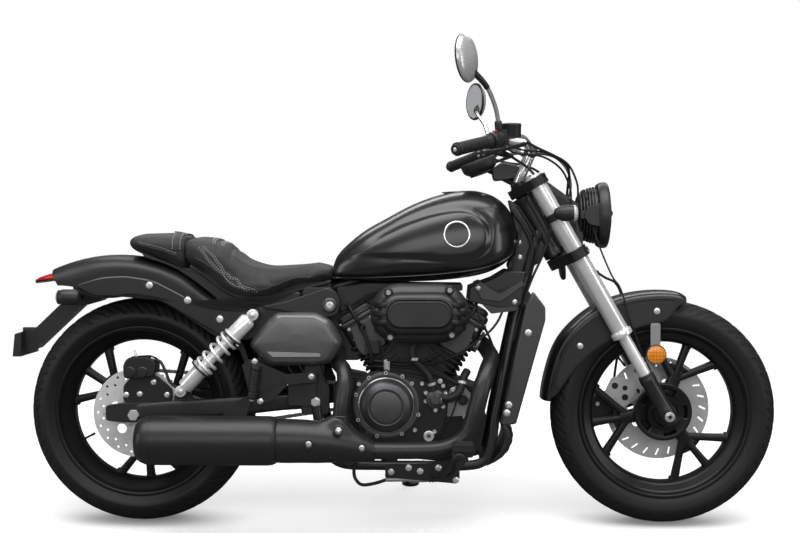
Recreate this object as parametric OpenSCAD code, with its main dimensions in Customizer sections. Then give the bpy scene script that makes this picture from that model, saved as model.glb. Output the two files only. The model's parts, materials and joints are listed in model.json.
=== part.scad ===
// Cruiser motorcycle with a V-twin engine, parked on its side stand.
// Millimetres. Bike frame: X forward, Y to the rider's left, Z up, drawn upright and then leaned.

/* [Overall] */
// Distance between the two axles
wheelbase = 1420; // [1180:5:1704]
// Lean to the left on the side stand, in degrees
lean = 10; // [2:0.5:14]
// Rake of the steering axis from the vertical, in degrees
rake = 29.5; // [22:0.5:36]
// Width across the ends of the handlebar grips
bar_w = 790; // [640:5:950]

/* [Front wheel] */
// Outer radius of the front tyre
front_tyre_r = 304; // [290:1:320]
// Width of the front tyre
front_tyre_w = 110; // [90:1:118]
// Radius of the front brake disc
front_disc_r = 142; // [110:1:160]

/* [Rear wheel] */
// Outer radius of the rear tyre
rear_tyre_r = 306; // [290:1:310]
// Width of the rear tyre
rear_tyre_w = 150; // [120:1:158]
// Radius of the rear brake disc
rear_disc_r = 120; // [95:1:140]
// Radius of the rear sprocket
sprocket_r = 84; // [60:1:100]

/* [Fork] */
// Distance between the centre lines of the two fork legs
fork_spread = 188; // [184:1:230]
// Offset of the fork legs ahead of the steering axis
yoke_off = 45; // [30:1:60]
// Radius of the bright fork sleeve
sleeve_r = 23; // [16:0.5:25]
// Diameter of the handlebar tube
bar_d = 22; // [18:0.5:28]

/* [Body] */
// Half width of the fuel tank at its widest
tank_half_w = 150; // [120:1:180]
// Half width of the rider's seat at its widest
seat_half_w = 150; // [120:1:180]
// Half width across the rear fender's skirts
fender_half_w = 100; // [90:1:101]

/* [Exhaust] */
// Radius of the muffler
muffler_r = 64; // [50:1:70]
// Radius of the header pipes
pipe_r = 22; // [16:0.5:24]

/* [Fit] */
// Gap left between two pieces that are bolted together
seat_gap = 0.3; // [0.1:0.05:0.6]
// Radial clearance of an axle or pin in its bore
pin_gap = 0.05; // [0.01:0.01:0.1]

/* [Hidden] */
dwb = (wheelbase - 1420) / 2;
axle_rx = -wheelbase / 2;
axle_fx = wheelbase / 2;
axle_rz = rear_tyre_r;
// Depth of the rounded part of each tyre's section, and how far it sinks as it leans
front_crown = 42;
rear_crown = 52;
function sink(a, b) = sqrt(pow(a * sin(lean), 2) + pow(b * cos(lean), 2)) - b * cos(lean);
lift = sink(rear_tyre_w / 2, rear_crown);
axle_fz = front_tyre_r - (lift - sink(front_tyre_w / 2, front_crown)) / cos(lean);
fork_y = fork_spread / 2;
axle_r = 8.5;
// Centre of the parked outline on the ground
mid_x = -19;
mid_y = 164.4;
frame_in = 101;
frame_out = 113;
stand_elev = 13.6;
stand_azim = 104;
rake0 = 29.5;

// ---------- points and placing ----------

// X of a chassis point: it moves with the nearer axle, and stretches in between.
function X(x) = x + dwb * max(-1, min(1, x / 300));
function xs(pts) = [for (p = pts) [X(p[0]), p[1]]];
function xs3(pts) = [for (p = pts) [X(p[0]), p[1], p[2]]];
// A point given in the bike frame, in the frame of the steering axis.
function L(p) = [(p[0] - 710) * cos(rake0) + (p[2] - 304) * sin(rake0) + 45, p[1],
    -(p[0] - 710) * sin(rake0) + (p[2] - 304) * cos(rake0)];
function Ls(pts) = [for (p = pts) L(p)];
function flip(pts) = [for (p = pts) [p[0], -p[1], p[2]]];

// Catmull-Rom curve through points, k steps a span.
function cr(a, b, c, d, t) = 0.5 * ((2 * b) + (c - a) * t + (2 * a - 5 * b + 4 * c - d) * t * t
    + (3 * b - a - 3 * c + d) * t * t * t);
function curve(p, k = 4) = let (n = len(p)) concat([for (i = [0:n - 2], j = [0:k - 1])
    cr(p[max(0, i - 1)], p[i], p[i + 1], p[min(n - 1, i + 2)], j / k)], [p[n - 1]]);
function unit(v) = v / norm(v);
// A smooth value through [position, value] pairs.
function at(tab, x, i = 0) = i >= len(tab) - 2 || x <= tab[i + 1][0]
    ? let (t = max(0, min(1, (x - tab[i][0]) / (tab[i + 1][0] - tab[i][0]))),
        a = tab[max(0, i - 1)][1], b = tab[i][1], c = tab[i + 1][1],
        d = tab[min(len(tab) - 1, i + 2)][1]) cr(a, b, c, d, t)
    : at(tab, x, i + 1);

module parked() translate([-mid_x, -mid_y, lift]) rotate([-lean, 0, 0]) children();
module steer() translate([axle_fx, 0, axle_fz]) rotate([0, -rake, 0])
    translate([-yoke_off, 0, 0]) children();
module at_steer(p) translate(L(p)) rotate([0, rake0, 0]) children();
module both() {
    children();
    mirror([0, 1, 0]) children();
}
// Round bar across the bike.
module ycyl(r, y0, y1, x = 0, z = 0) translate([x, y0, z]) rotate([-90, 0, 0])
    cylinder(r = r, h = y1 - y0, $fn = 48);
// Ring across the bike.
module yring(ro, ri, y0, y1, x = 0, z = 0) difference() {
    ycyl(ro, y0, y1, x, z);
    ycyl(ri, y0 - 1, y1 + 1, x, z);
}
// Flat plate in the side view, between two Y values.
module plate(pts, y0, y1) translate([0, y1, 0]) rotate([90, 0, 0])
    linear_extrude(height = y1 - y0) polygon(pts);
// Body turned about a Y axis from a [radius, y] outline.
module yturn(pts) rotate([-90, 0, 0]) rotate_extrude($fn = 96) polygon(pts);
// Round bar between two points.
module bar(a, b, r) translate(a) let (d = b - a)
    rotate([0, acos(d[2] / norm(d)), atan2(d[1], d[0])]) cylinder(r = r, h = norm(d), $fn = 32);
// Closed skin over rings of points, capped at both ends.
// A U-shaped ring has its end faces split into strips.
module loft(rings, strips = false) {
    n = len(rings[0]);
    m = len(rings);
    k = strips ? n / 2 - 2 : 0;
    caps = strips ? concat([for (j = [0:k]) [j, j + 1, n - 2 - j, n - 1 - j]],
        [for (j = [0:k]) [for (v = [n - 1 - j, n - 2 - j, j + 1, j]) (m - 1) * n + v]])
        : [[for (j = [0:n - 1]) j], [for (j = [0:n - 1]) (m - 1) * n + (n - 1 - j)]];
    polyhedron([for (r = rings) each r], concat(caps,
        [for (i = [0:m - 2], j = [0:n - 1]) each [
            [i * n + j, (i + 1) * n + j, (i + 1) * n + (j + 1) % n],
            [i * n + j, (i + 1) * n + (j + 1) % n, i * n + (j + 1) % n]]]), convexity = 8);
}
// Tube swept along a path; the reference direction must not lie along it.
module tube(path, r, n = 12, ref = [0, 1, 0]) loft([for (i = [0:len(path) - 1])
    let (t = unit(path[min(i + 1, len(path) - 1)] - path[max(i - 1, 0)]),
        u = unit(cross(t, ref)), v = cross(t, u))
    [for (j = [0:n - 1]) path[i] + r * (cos(360 * j / n) * u + sin(360 * j / n) * v)]]);
// Plate with a bevelled outer edge: outline, inner and outer Y, and bevel.
function area2(p) = let (n = len(p)) [for (i = 0, a = 0; i <= n; a = a + (i < n
    ? p[i][0] * p[(i + 1) % n][1] - p[(i + 1) % n][0] * p[i][1] : 0), i = i + 1) a][n];
module panel(outline, y0, y1, bevel) {
    pts = (area2(outline) > 0) == (y1 < y0) ? outline
        : [for (i = [len(outline) - 1:-1:0]) outline[i]];
    c = [for (k = [0:1]) let (s = [for (p = pts) p[k]]) (min(s) + max(s)) / 2];
    h = [for (k = [0:1]) let (s = [for (p = pts) p[k]]) (max(s) - min(s)) / 2];
    function ring(y, e) = [for (p = pts) [c[0] + (p[0] - c[0]) * (1 - e / h[0]), y,
        c[1] + (p[1] - c[1]) * (1 - e / h[1])]];
    loft([ring(y0, 0), ring(y1 - sign(y1 - y0) * bevel, 0), ring(y1, bevel)]);
}

// ---------- wheels ----------

// Section of a tyre: outer radius, width, depth of the round part and rim half width.
function tyre_out(R, w, b, hw) = concat(
    [[226.3, hw - 15.5], [226.3, hw - 5.5], [231.6, hw - 4.8]],
    [for (a = [0:10:180]) [R - b + b * sin(a), w / 2 * cos(a)]],
    [[231.6, -hw + 4.8], [226.3, -hw + 5.5], [226.3, -hw + 15.5]]);
function tyre_in(R, w, b, hw) = [for (a = [180:-12:0])
    [R - b + (b - 11) * sin(a), (w / 2 - 9) * cos(a)]];
module tyre_body(R, w, b, hw) yturn(concat(tyre_out(R, w, b, hw), tyre_in(R, w, b, hw)));
function rim_section(hw) = [[231, -hw], [231, -hw + 4], [226, -hw + 5], [226, -hw + 16],
    [207, -18], [207, 18], [226, hw - 16], [226, hw - 5], [231, hw - 4], [231, hw],
    [224, hw], [218, hw - 13], [197, 24], [190, 13], [190, -13], [197, -24],
    [218, -hw + 13], [224, -hw]];
function polar(r, a) = [r * cos(a), r * sin(a)];
// Flat bar in the side view from one point to another, its width running from w0 to w1.
module limb(p, q, w0, w1, t) {
    d = unit(q - p);
    k = [-d[1], d[0]];
    plate([p + k * w0 / 2, p - k * w0 / 2, q - k * w1 / 2, q + k * w1 / 2], -t / 2, t / 2);
}
// Three forks of three arms each, between hub and rim.
module tridents(forks, t) for (f = forks) {
    limb(polar(30, f[1]), polar(112, f[1]), 46, 34, t);
    for (a = f) limb(polar(98, f[1] + (a - f[1]) * 0.12), polar(198, a), 19, 24, t);
}
module wheel_body(hw, forks, hub_r, y0, y1, t) difference() {
    union() {
        yturn(rim_section(hw));
        tridents(forks, t);
        ycyl(hub_r, y0, y1);
    }
    ycyl(axle_r + pin_gap, y0 - 5, y1 + 5);
    yring(206, 190.5, -60, -t / 2 + 0.2 - 30);
}
module rear_at() translate([axle_rx, 0, axle_rz]) children();
module front_at() translate([axle_fx, 0, axle_fz]) children();

module rear_tyre() color([0.05, 0.05, 0.055]) parked() rear_at()
    tyre_body(rear_tyre_r, rear_tyre_w, rear_crown, 59);
module rear_rim() color([0.07, 0.07, 0.075]) parked() rear_at()
    wheel_body(59, [[121, 147, 174], [249, 275, 301], [1, 27.5, 54]], 44, -78, 70, 30);
module rear_brake_disc() color([0.6, 0.61, 0.62]) parked() rear_at() difference() {
    ycyl(rear_disc_r, -84, -78 - seat_gap);
    ycyl(22, -90, -70);
    for (i = [0:17], k = [0:1]) rotate([0, i * 20 + k * 10, 0])
        ycyl(3.5, -90, -70, rear_disc_r - 12 - 13 * k, 0);
    for (i = [0:5]) rotate([0, i * 60 + 15, 0]) ycyl(13, -90, -70, 62, 0);
}
module rear_sprocket() color([0.3, 0.3, 0.31]) parked() rear_at() difference() {
    union() {
        ycyl(sprocket_r, 88, 94);
        ycyl(38, 70 + seat_gap, 88);
    }
    ycyl(14, 60, 100);
    for (i = [0:5]) rotate([0, i * 60, 0]) ycyl(9, 80, 100, 62, 0);
}
module front_tyre() color([0.05, 0.05, 0.055]) parked() front_at()
    tyre_body(front_tyre_r, front_tyre_w, front_crown, 47);
module front_rim() color([0.07, 0.07, 0.075]) parked() front_at() difference() {
    union() {
        wheel_body(47, [[98, 69, 41], [-22, -50, -80], [-142, -170, 161]], 34, -62, 57 - seat_gap, 28);
        yring(77, 30, 30, 42);
    }
    for (i = [0:9]) rotate([0, i * 36, 0]) ycyl(7, 20, 50, 60, 0);
}
module front_brake_disc() color([0.62, 0.63, 0.64]) parked() front_at() difference() {
    union() {
        ycyl(front_disc_r, 57.5, 62);
        ycyl(30, 57, 62);
    }
    ycyl(15, 50, 70);
    for (i = [0:9]) rotate([0, i * 36, 0]) ycyl(11, 50, 70, 72, 0);
    for (i = [0:23]) rotate([0, i * 15, 0]) translate([front_disc_r - 18, 60, 0])
        rotate([0, 25, 0]) cube([20, 10, 5], center = true);
}

// ---------- frame ----------

spine_a = [X(366), 0, 812 + axle_fz - 304];
spine_b = [X(-222), 0, 628];
spine_dir = unit(spine_b - spine_a);
function cradle(s) = [[X(-226), s * 112, 330], [X(-214), s * 113, 262], [X(-190), s * 108, 200],
    [X(-150), s * 98, 172], [X(-60), s * 95, 168], [X(60), s * 95, 168], [X(170), s * 95, 168],
    [X(222), s * 94, 182], [X(243), s * 92, 235], [X(252), s * 88, 300], [X(281), s * 74, 440],
    [X(313), s * 58, 590], [X(340), s * 45, 690], [X(356), s * 34, 748]];

module steering_head() color([0.06, 0.06, 0.065]) parked() difference() {
    union() {
        steer() translate([0, 0, 512]) cylinder(r = 27, h = 185, $fn = 48);
        bar(spine_a, spine_b, 22);
    }
    steer() translate([0, 0, 500]) cylinder(r = 17, h = 210, $fn = 48);
}
module frame() color([0.06, 0.06, 0.065]) parked() {
    both() difference() {
        union() {
            tube(curve(cradle(1), 3), 13, 14);
            plate(xs([[-266, 306], [-266, 384], [-248, 470], [-256, 560], [-262, 645],
                [-178, 645], [-190, 575], [-206, 540], [-206, 400], [-190, 384], [-190, 306]]),
                frame_in, frame_out);
            for (x = [-40, 150]) translate([X(x), 70, 176]) cube([30, 30, 11.6]);
            translate([X(346), 12, 735]) cube([22, 26, 36]);
        }
        ycyl(axle_r, 60, 130, X(-228), 340);
        steer() translate([0, 0, 500]) cylinder(r = 27 + seat_gap, h = 210, $fn = 48);
    }
    difference() {
        ycyl(14, -frame_in - 1, frame_in + 1, X(-222), 628);
        bar(spine_a, spine_b + 63 * spine_dir, 22 + seat_gap);
    }
    ycyl(axle_r - 0.3, -frame_out - 6, frame_out + 6, X(-228), 340);
    for (s = [-1, 1]) ycyl(13, s > 0 ? frame_out + seat_gap : -frame_out - 9,
        s > 0 ? frame_out + 9 : -frame_out - seat_gap, X(-228), 340);
    ycyl(12, -92, 92, X(222), 182);
    ycyl(12, -96, 96, X(-190), 196);
    // Lug and pin that carry the side stand
    difference() {
        translate([X(-98), 100, 152]) cube([36, 17, 26]);
        stand_frame() translate([0, 0, -5]) cylinder(r = 17, h = 30, $fn = 48);
    }
    stand_frame() translate([0, 0, -24]) cylinder(r = 6, h = 38, $fn = 48);
}

// ---------- side stand ----------

stand_p = [-80, 130, 165];
function foot_y() = 262;
foot_p = [X(stand_p[0]) + 100, foot_y(), foot_y() * tan(lean) - lift / cos(lean)];
module stand_frame() translate([X(stand_p[0]), stand_p[1], stand_p[2]])
    rotate([0, 90 - stand_elev, stand_azim]) children();
module side_stand() color([0.07, 0.07, 0.07]) parked() difference() {
    union() {
        stand_frame() translate([0, 0, -3]) cylinder(r = 15, h = 14, $fn = 48);
        bar([X(stand_p[0]), stand_p[1], stand_p[2]] + [3, 5, -2], foot_p + [0, 0, 8.6], 9.5);
        translate(foot_p) rotate([lean, 0, 0]) cylinder(r = 25, h = 8, $fn = 48);
    }
    stand_frame() translate([0, 0, -30]) cylinder(r = 6 + pin_gap, h = 80, $fn = 48);
    stand_frame() translate([0, 0, -23]) cylinder(r = 30, h = 20, $fn = 48);
}

// ---------- engine ----------

crank = [30, 0, 300];
module vee(a) translate([X(crank[0]), 0, crank[2]]) rotate([0, a, 0]) children();
module block(x, y, z0, z1) translate([-x, -y, z0]) cube([2 * x, 2 * y, z1 - z0]);
module crankcase() color([0.1, 0.1, 0.105]) parked() {
    plate(concat(xs([[-105, 187.9], [190, 187.9], [216, 226], [228, 300], [208, 370]]),
        [for (q = [[122, 391], [0, 461.6], [-122, 391]]) [X(crank[0]) + q[0], q[1]]],
        xs([[-105, 380]])), -88, 88);
    plate(xs([[-182, 250], [-150, 200], [-100, 187.9], [-100, 400], [-150, 410], [-182, 380]]),
        -88, 70);
    ycyl(12, 70, 84, X(-158), 330);
    ycyl(26, 84, 96, X(-158), 330);
}
module cylinder_unit(a) vee(a) {
    block(43, 49, 140.3, 240);
    for (i = [0:6]) block(53, 59, 146 + i * 11.5, 150 + i * 11.5);
    block(57, 63, 226, 240);
    block(50, 56, 240, 296);
    for (i = [0:3]) block(57, 63, 248 + i * 12, 252 + i * 12);
    block(55, 60, 294, 306);
    block(47, 50, 306, 340);
}
module front_cylinder() color([0.13, 0.13, 0.135]) parked() cylinder_unit(30);
module rear_cylinder() color([0.13, 0.13, 0.135]) parked() cylinder_unit(-30);
module right_engine_cover() color([0.09, 0.09, 0.095]) parked() panel(xs([[-124, 270],
    [-112, 236], [-84, 216], [40, 212], [86, 226], [118, 262], [132, 320], [128, 372], [96, 398],
    [40, 412], [-30, 424], [-92, 418], [-120, 392]]), -88 - seat_gap, -112, 6);
module clutch_cover() color([0.12, 0.12, 0.125]) parked() translate([X(-37), 0, 340])
    mirror([0, 1, 0]) yturn([[0, 112 + seat_gap], [72, 112 + seat_gap], [72, 134], [66, 146],
        [50, 150], [47, 147], [44, 147], [44, 152], [0, 152]]);
module left_engine_cover() color([0.09, 0.09, 0.095]) parked() union() {
    plate(xs([[-104, 200], [170, 200], [206, 240], [206, 330], [150, 378], [-20, 396],
        [-104, 388]]), 88 + seat_gap, 114);
    plate(xs([[-187, 280], [-160, 268], [-100, 262], [-100, 388], [-160, 390], [-187, 378]]),
        101, 114);
    translate([X(46), 0, 306]) yturn([[0, 110], [70, 110], [70, 126], [64, 136], [0, 140]]);
}
module water_pump() color([0.16, 0.16, 0.165]) parked() {
    difference() {
        union() {
            ycyl(26, -128, -112 - seat_gap, X(92), 350);
            ycyl(14, -140, -128, X(92), 350);
            tube(xs3(curve([[100, -126, 350], [130, -127, 352], [156, -120, 366], [166, -100, 396],
                [168, -80, 420]], 4)), 11, 12, [0, 0, 1]);
        }
        vee(30) block(58, 64, 140, 300);
        plate(concat(xs([[-105, 187], [190, 187], [232, 230], [240, 300], [214, 372]]),
            [[X(crank[0]) + 122, 393]]), -88 - seat_gap, 88);
    }
}
function stadium(cx, cz, w, r, n = 12) = [for (s = [1, -1], i = [0:n])
    [cx + s * w + r * cos(-90 * s + 180 * i / n * 1 + (s > 0 ? 0 : 0)) * 1,
     cz + r * sin(-90 * s + 180 * i / n)]];
module air_cleaner() color([0.08, 0.08, 0.085]) parked() union() {
    panel(stadium(X(50), 583, 52, 78), -138, -208, 14);
    panel(stadium(X(50), 583, 58, 32), -206, -216, 3);
    for (x = [-60, 120]) ycyl(11, -139, -63 - seat_gap, X(30) + (x - 30), 535);
    ycyl(30, -139, -20, X(30), 590);
}

// ---------- exhaust ----------

// Centre of a cylinder head's port, on the face of its fins
function port(s) = [X(30) + s * (255 * sin(30) + 57 * cos(30)), 0,
    300 + 255 * cos(30) - 57 * sin(30)];
module head_cut(a) vee(a) block(57 + seat_gap, 63 + seat_gap, 200, 345);
module front_header() color([0.11, 0.11, 0.115]) parked() difference() {
    front_run();
    head_cut(30);
}
module front_run() tube(curve([port(1) + [-8, 3, 4.5], port(1) + [16, -6, -9],
    [X(243), -50, 472], [X(246), -100, 462], [X(232), -150, 440],
    [X(218), -180, 400], [X(202), -190, 340], [X(180), -190, 280], [X(150), -190, 246],
    [X(105), -190, 229], [X(40), -190, 225], [X(-68), -190, 224]], 4), pipe_r, 16, [0.1, 1, 1]);
module rear_header() color([0.11, 0.11, 0.115]) parked() difference() {
    rear_run();
    head_cut(-30);
    translate([X(-157) - 40, -233, 300]) cube([80, 80, 18 + seat_gap]);
}
module rear_run() tube(curve([port(-1) + [10.5, 6, 6], port(-1) + [-14, -8, -8],
    [X(-172), -50, 466], [X(-168), -100, 444], [X(-150), -146, 428],
    [X(-146), -176, 396], [X(-152), -190, 350], [X(-157), -193, 310]], 4), pipe_r - 1.5, 16,
    [0.1, 1, 1]);
function ring_x(x, y, z, r, n = 24) = [for (i = [0:n - 1])
    [x, y + r * cos(360 * i / n), z - r * sin(360 * i / n)]];
module exhaust_collector() color([0.1, 0.1, 0.105]) parked() union() {
    loft([ring_x(X(-68) - seat_gap, -190, 224, 26), ring_x(X(-76), -190, 225, 31),
        ring_x(X(-120), -192, 235, 41), ring_x(X(-183), -195, 246, 52),
        ring_x(X(-250), -198, 250, 56), ring_x(X(-318), -200, 251, 57)]);
    translate([X(-157), -193, 250]) cylinder(r = 25, h = 68, $fn = 48);
}
module muffler() color([0.09, 0.09, 0.095]) parked() translate([X(-318) - seat_gap, -200, 251])
    rotate([0, -90, 0]) rotate_extrude($fn = 96) polygon([[30, 6], [0, 6], [0, 0], [57, 0],
        [muffler_r - 2, 10], [muffler_r, 24], [muffler_r, 326], [muffler_r - 3, 344],
        [muffler_r - 12, 360], [muffler_r - 26, 368], [26, 368], [24, 362], [24, 240], [30, 240]]);

// ---------- cooling ----------

function rad_line(d0, d1, z0, z1) = [[285 + d0, z0], [285 + d1, z0], [350 + d1, z1], [350 + d0, z1]];
module radiator() color([0.12, 0.12, 0.12]) parked() difference() {
    plate(xs(rad_line(-21, 14, 296, 596)), -112, 112);
    both() tube(curve(cradle(1), 3), 13 + seat_gap, 14);
}
module radiator_shroud() color([0.09, 0.09, 0.095]) parked() both()
    plate(xs([[262, 288], [270, 282], [304, 286], [380, 560], [380, 594], [348, 636], [330, 600]]),
        112 + seat_gap, 138);
module lower_cowl() color([0.08, 0.08, 0.085]) parked() {
    plate(xs([[267, 281.7], [296, 281.7], [300, 232], [284, 200], [262, 180], [240, 167],
        [235.5, 172], [240, 181], [260, 233]]), -98, 98);
    both() translate([X(222) + 12 + seat_gap, 20, 176]) cube([24, 20, 11]);
}

// ---------- tank, seats and body ----------

// Stations along the tank: x, bottom, top, half width as a share of the widest.
tank_s = [[-186, 670, 704, 0.42], [-176, 664, 728, 0.52], [-150, 660, 757, 0.62],
    [-100, 657, 797, 0.75], [-40, 656, 831, 0.86], [20, 656, 863, 0.94], [80, 658, 887, 0.99],
    [140, 663, 902, 1], [190, 670, 905.5, 0.98], [230, 680, 898, 0.92], [260, 693, 884, 0.83],
    [283, 708, 864, 0.7], [298, 726, 842, 0.56], [307, 748, 818, 0.4], [311, 766, 802, 0.24]];
function lobe(v, e) = sign(v) * pow(abs(v), e);
function tank_ring(s, n = 36) = let (zc = s[1] + (s[2] - s[1]) * 0.36, w = tank_half_w * s[3])
    [for (i = [0:n - 1]) let (a = 360 * i / n, c = cos(a), q = sin(a))
        [X(s[0]), w * lobe(c, 0.72), q > 0 ? zc + (s[2] - zc) * lobe(q, 0.9)
            : zc + (zc - s[1]) * lobe(q, 0.55)]];
module fuel_tank() color([0.03, 0.03, 0.035]) parked() difference() {
    loft([for (s = tank_s) tank_ring(s)]);
    bar(spine_a - 63 * spine_dir, spine_b + 63 * spine_dir, 22 + seat_gap);
    tunnel_end = spine_b + 10.5 * spine_dir;
    plate([[tunnel_end[0], 580], [tunnel_end[0], tunnel_end[2]], [spine_a[0], spine_a[2]],
        [spine_a[0], 600]], -22 - seat_gap, 22 + seat_gap);
    translate([X(150), 0, 880]) cylinder(r = 36, h = 60, $fn = 64);
}
module filler_cap() color([0.75, 0.76, 0.77]) parked() translate([X(150), 0, 880.3])
    rotate_extrude($fn = 64) polygon([[0, 0], [35.5, 0], [35.5, 29], [32, 32], [0, 34]]);

seat_s = [[-187, 0.48, 661, 700], [-200, 0.55, 659, 713], [-250, 0.76, 646, 704],
    [-300, 0.92, 630, 699], [-363, 1, 611, 697], [-416, 0.99, 611, 712], [-450, 0.95, 624, 736],
    [-490, 0.9, 648, 768], [-530, 0.84, 680, 783], [-560, 0.78, 700, 786], [-577, 0.7, 712, 780]];
function pad_ring(x, w, z0, z1, n = 28) = let (zc = (z0 + z1) / 2, h = (z1 - z0) / 2)
    [for (i = [0:n - 1]) let (a = 360 * i / n)
        [x, w * lobe(cos(a), 0.55), zc + h * lobe(sin(a), 0.7)]];
module rider_seat() color([0.06, 0.06, 0.06]) parked() difference() {
    loft([for (i = [0:len(seat_s) - 1]) let (s = seat_s[len(seat_s) - 1 - i])
        pad_ring(X(s[0]), seat_half_w * s[1], s[2], s[3])]);
    loft([for (i = [0:len(tank_s) - 1]) tank_ring([tank_s[i][0] - 0.5, tank_s[i][1] - 1,
        tank_s[i][2] + 0.6, tank_s[i][3]])]);
    bar(spine_a, spine_b + 63 * spine_dir, 22 + seat_gap);
}
module pillion_seat() color([0.06, 0.06, 0.06]) parked()
    loft([for (s = [[-752, 0.66, 750.4, 771], [-744, 0.8, 742.4, 780], [-720, 0.94, 733.4, 785],
        [-680, 1, 722.4, 785], [-640, 1.05, 709.4, 785], [-605, 1.1, 697.4, 785], [-585, 1.08, 696.4, 779]])
        pad_ring(X(s[0]), 100 * s[1], s[2], s[3])]);

// Rear fender: polar angle about the rear axle against radius, for 306 mm tyres.
crown_t = [[22, 336], [25, 340], [50, 376], [61, 382], [74, 403], [88, 416], [106, 437],
    [125, 457], [127, 457]];
crease_t = [[22, 330], [25, 334], [50, 352], [60, 353], [70, 362], [84, 379], [94, 388],
    [104, 393], [114, 395], [127, 432]];
hem_t = [[22, 326], [30, 327], [44, 298], [60, 292], [77, 307], [90, 314], [102, 316],
    [111, 336], [116, 376], [127, 425]];
grow = rear_tyre_r - 306;
// Ring of a U-shaped shell: lateral offset and radius, outside then inside.
function shell_ring(a, rc, re, rb, w, t) = let (o = [[w, rb], [w, re], [w * 0.93, re + (rc - re) * 0.45],
        [w * 0.72, re + (rc - re) * 0.78], [w * 0.4, re + (rc - re) * 0.95], [0, rc]],
        outer = concat(o, [for (i = [4:-1:0]) [-o[i][0], o[i][1]]]),
        inner = [for (i = [10:-1:0]) let (p = outer[i]) [p[0] * (1 - t / w),
            i == 0 || i == 10 ? p[1] : p[1] - t]])
    [for (p = concat(outer, inner)) [p[1] * cos(a), p[0], p[1] * sin(a)]];
module rear_fender() color([0.03, 0.03, 0.035]) parked() union() {
    rear_at() loft([for (a = [127:-3:22]) shell_ring(a, at(crown_t, a) + grow,
        at(crease_t, a) + grow, min(at(hem_t, a), at(crease_t, a) - 12) + grow, fender_half_w, 4)], true);
}
module fender_rails() color([0.04, 0.04, 0.045]) parked() both() {
    ycyl(14, frame_out - 1, 130, X(shock_b[0]), shock_b[1]);
    ycyl(shock_pin, frame_out - 1, 163, X(shock_b[0]), shock_b[1]);
    plate(xs([[-266.3, 560], [-266.3, 640], [-330, 610], [-420, 582], [-520, 590], [-590, 628],
        [-660, 664], [-735, 676], [-800, 672], [-866, 652], [-866, 644], [-820, 620], [-770, 620],
        [-700, 626], [-640, 608], [-560, 562], [-490, 520], [-420, 500], [-350, 520]]),
        fender_half_w + seat_gap, frame_out);
}
module tail_lamp() color([0.6, 0.03, 0.03]) parked() difference() {
    loft([for (s = [[-930, 70, 668, 690], [-960, 66, 660, 685], [-990, 52, 656, 672],
        [-1003, 34, 657, 664]]) [for (q = [[1, 0], [1, 1], [-1, 1], [-1, 0]])
        [X(s[0]), -q[0] * s[1], q[1] ? s[3] : s[2]]]]);
    rear_at() loft([for (a = [133:-3:100]) shell_ring(a, at(crown_t, a) + grow + 40,
        at(crease_t, a) + grow + 40, at(crease_t, a) - 30 + grow, fender_half_w + 20, 44 + seat_gap)], true);
}
module rear_turn_signals() color([0.1, 0.1, 0.1]) parked() both() {
    translate([X(-877), 150, 620]) rotate([0, -90, 0]) rotate_extrude($fn = 48)
        polygon([[0, -30], [14, -27], [21, -14], [21, 22], [15, 30], [0, 31]]);
    ycyl(7, 40 + seat_gap, 140, X(-877), 616);
}
module plate_bracket() color([0.06, 0.06, 0.06]) parked() difference() {
    union() {
        plate(xs([[-816, 612], [-850, 640], [-852, 650], [-896, 650], [-896, 625], [-926, 600],
            [-1006, 524], [-1030, 520], [-1030, 462], [-1006, 470], [-926, 545], [-880, 588],
            [-830, 602]]), -40, 40);
        plate(xs([[-852, 645], [-852, 722], [-876, 716], [-876, 645]]), -20, 20);
        plate(xs([[-1028, 522], [-1046, 516], [-1052, 455], [-1030, 455]]), -75, 75);
    }
    for (s = [-1, 1]) translate([X(-1060), s * 55, 486]) rotate([0, 90, 0])
        cylinder(r = 3.2, h = 50, $fn = 32);
    rear_at() loft([for (a = [133:-3:97]) shell_ring(a, at(crown_t, a) + grow + 20,
        at(crease_t, a) + grow + 20, at(crease_t, a) - 30 + grow, fender_half_w + 20, 24 + seat_gap)], true);
}
module side_covers() color([0.13, 0.13, 0.135]) parked() both() {
    panel(xs([[-400, 488], [-366, 545], [-332, 583], [-185, 562], [-148, 500], [-185, 456],
        [-362, 453]]), frame_out + seat_gap, 158, 14);
}
module frame_covers() color([0.08, 0.08, 0.085]) parked() both() {
    panel(xs([[-364, 600], [-340, 616], [-262, 636], [-198, 646], [-166, 640], [-158, 604],
        [-180, 568], [-330, 588]]), frame_out + seat_gap, 128, 4);
    ycyl(16, 127, 138, X(-190), 602);
}
module neck_covers() color([0.08, 0.08, 0.085]) parked() difference() {
    both() panel(xs([[178, 606], [182, 644], [246, 668], [282, 690], [332, 686], [322, 600],
        [304, 580], [190, 604]]), 66, 88, 4);
    both() tube(curve(cradle(1), 3), 13 + seat_gap, 14);
}
module battery_box() color([0.06, 0.06, 0.06]) parked()
    plate(xs([[-386, 430], [-386, 610.7], [-322, 610.7], [-262, 606], [-252, 470], [-300, 430]]),
        -92, 92);

// ---------- rear suspension and drive ----------

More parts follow.
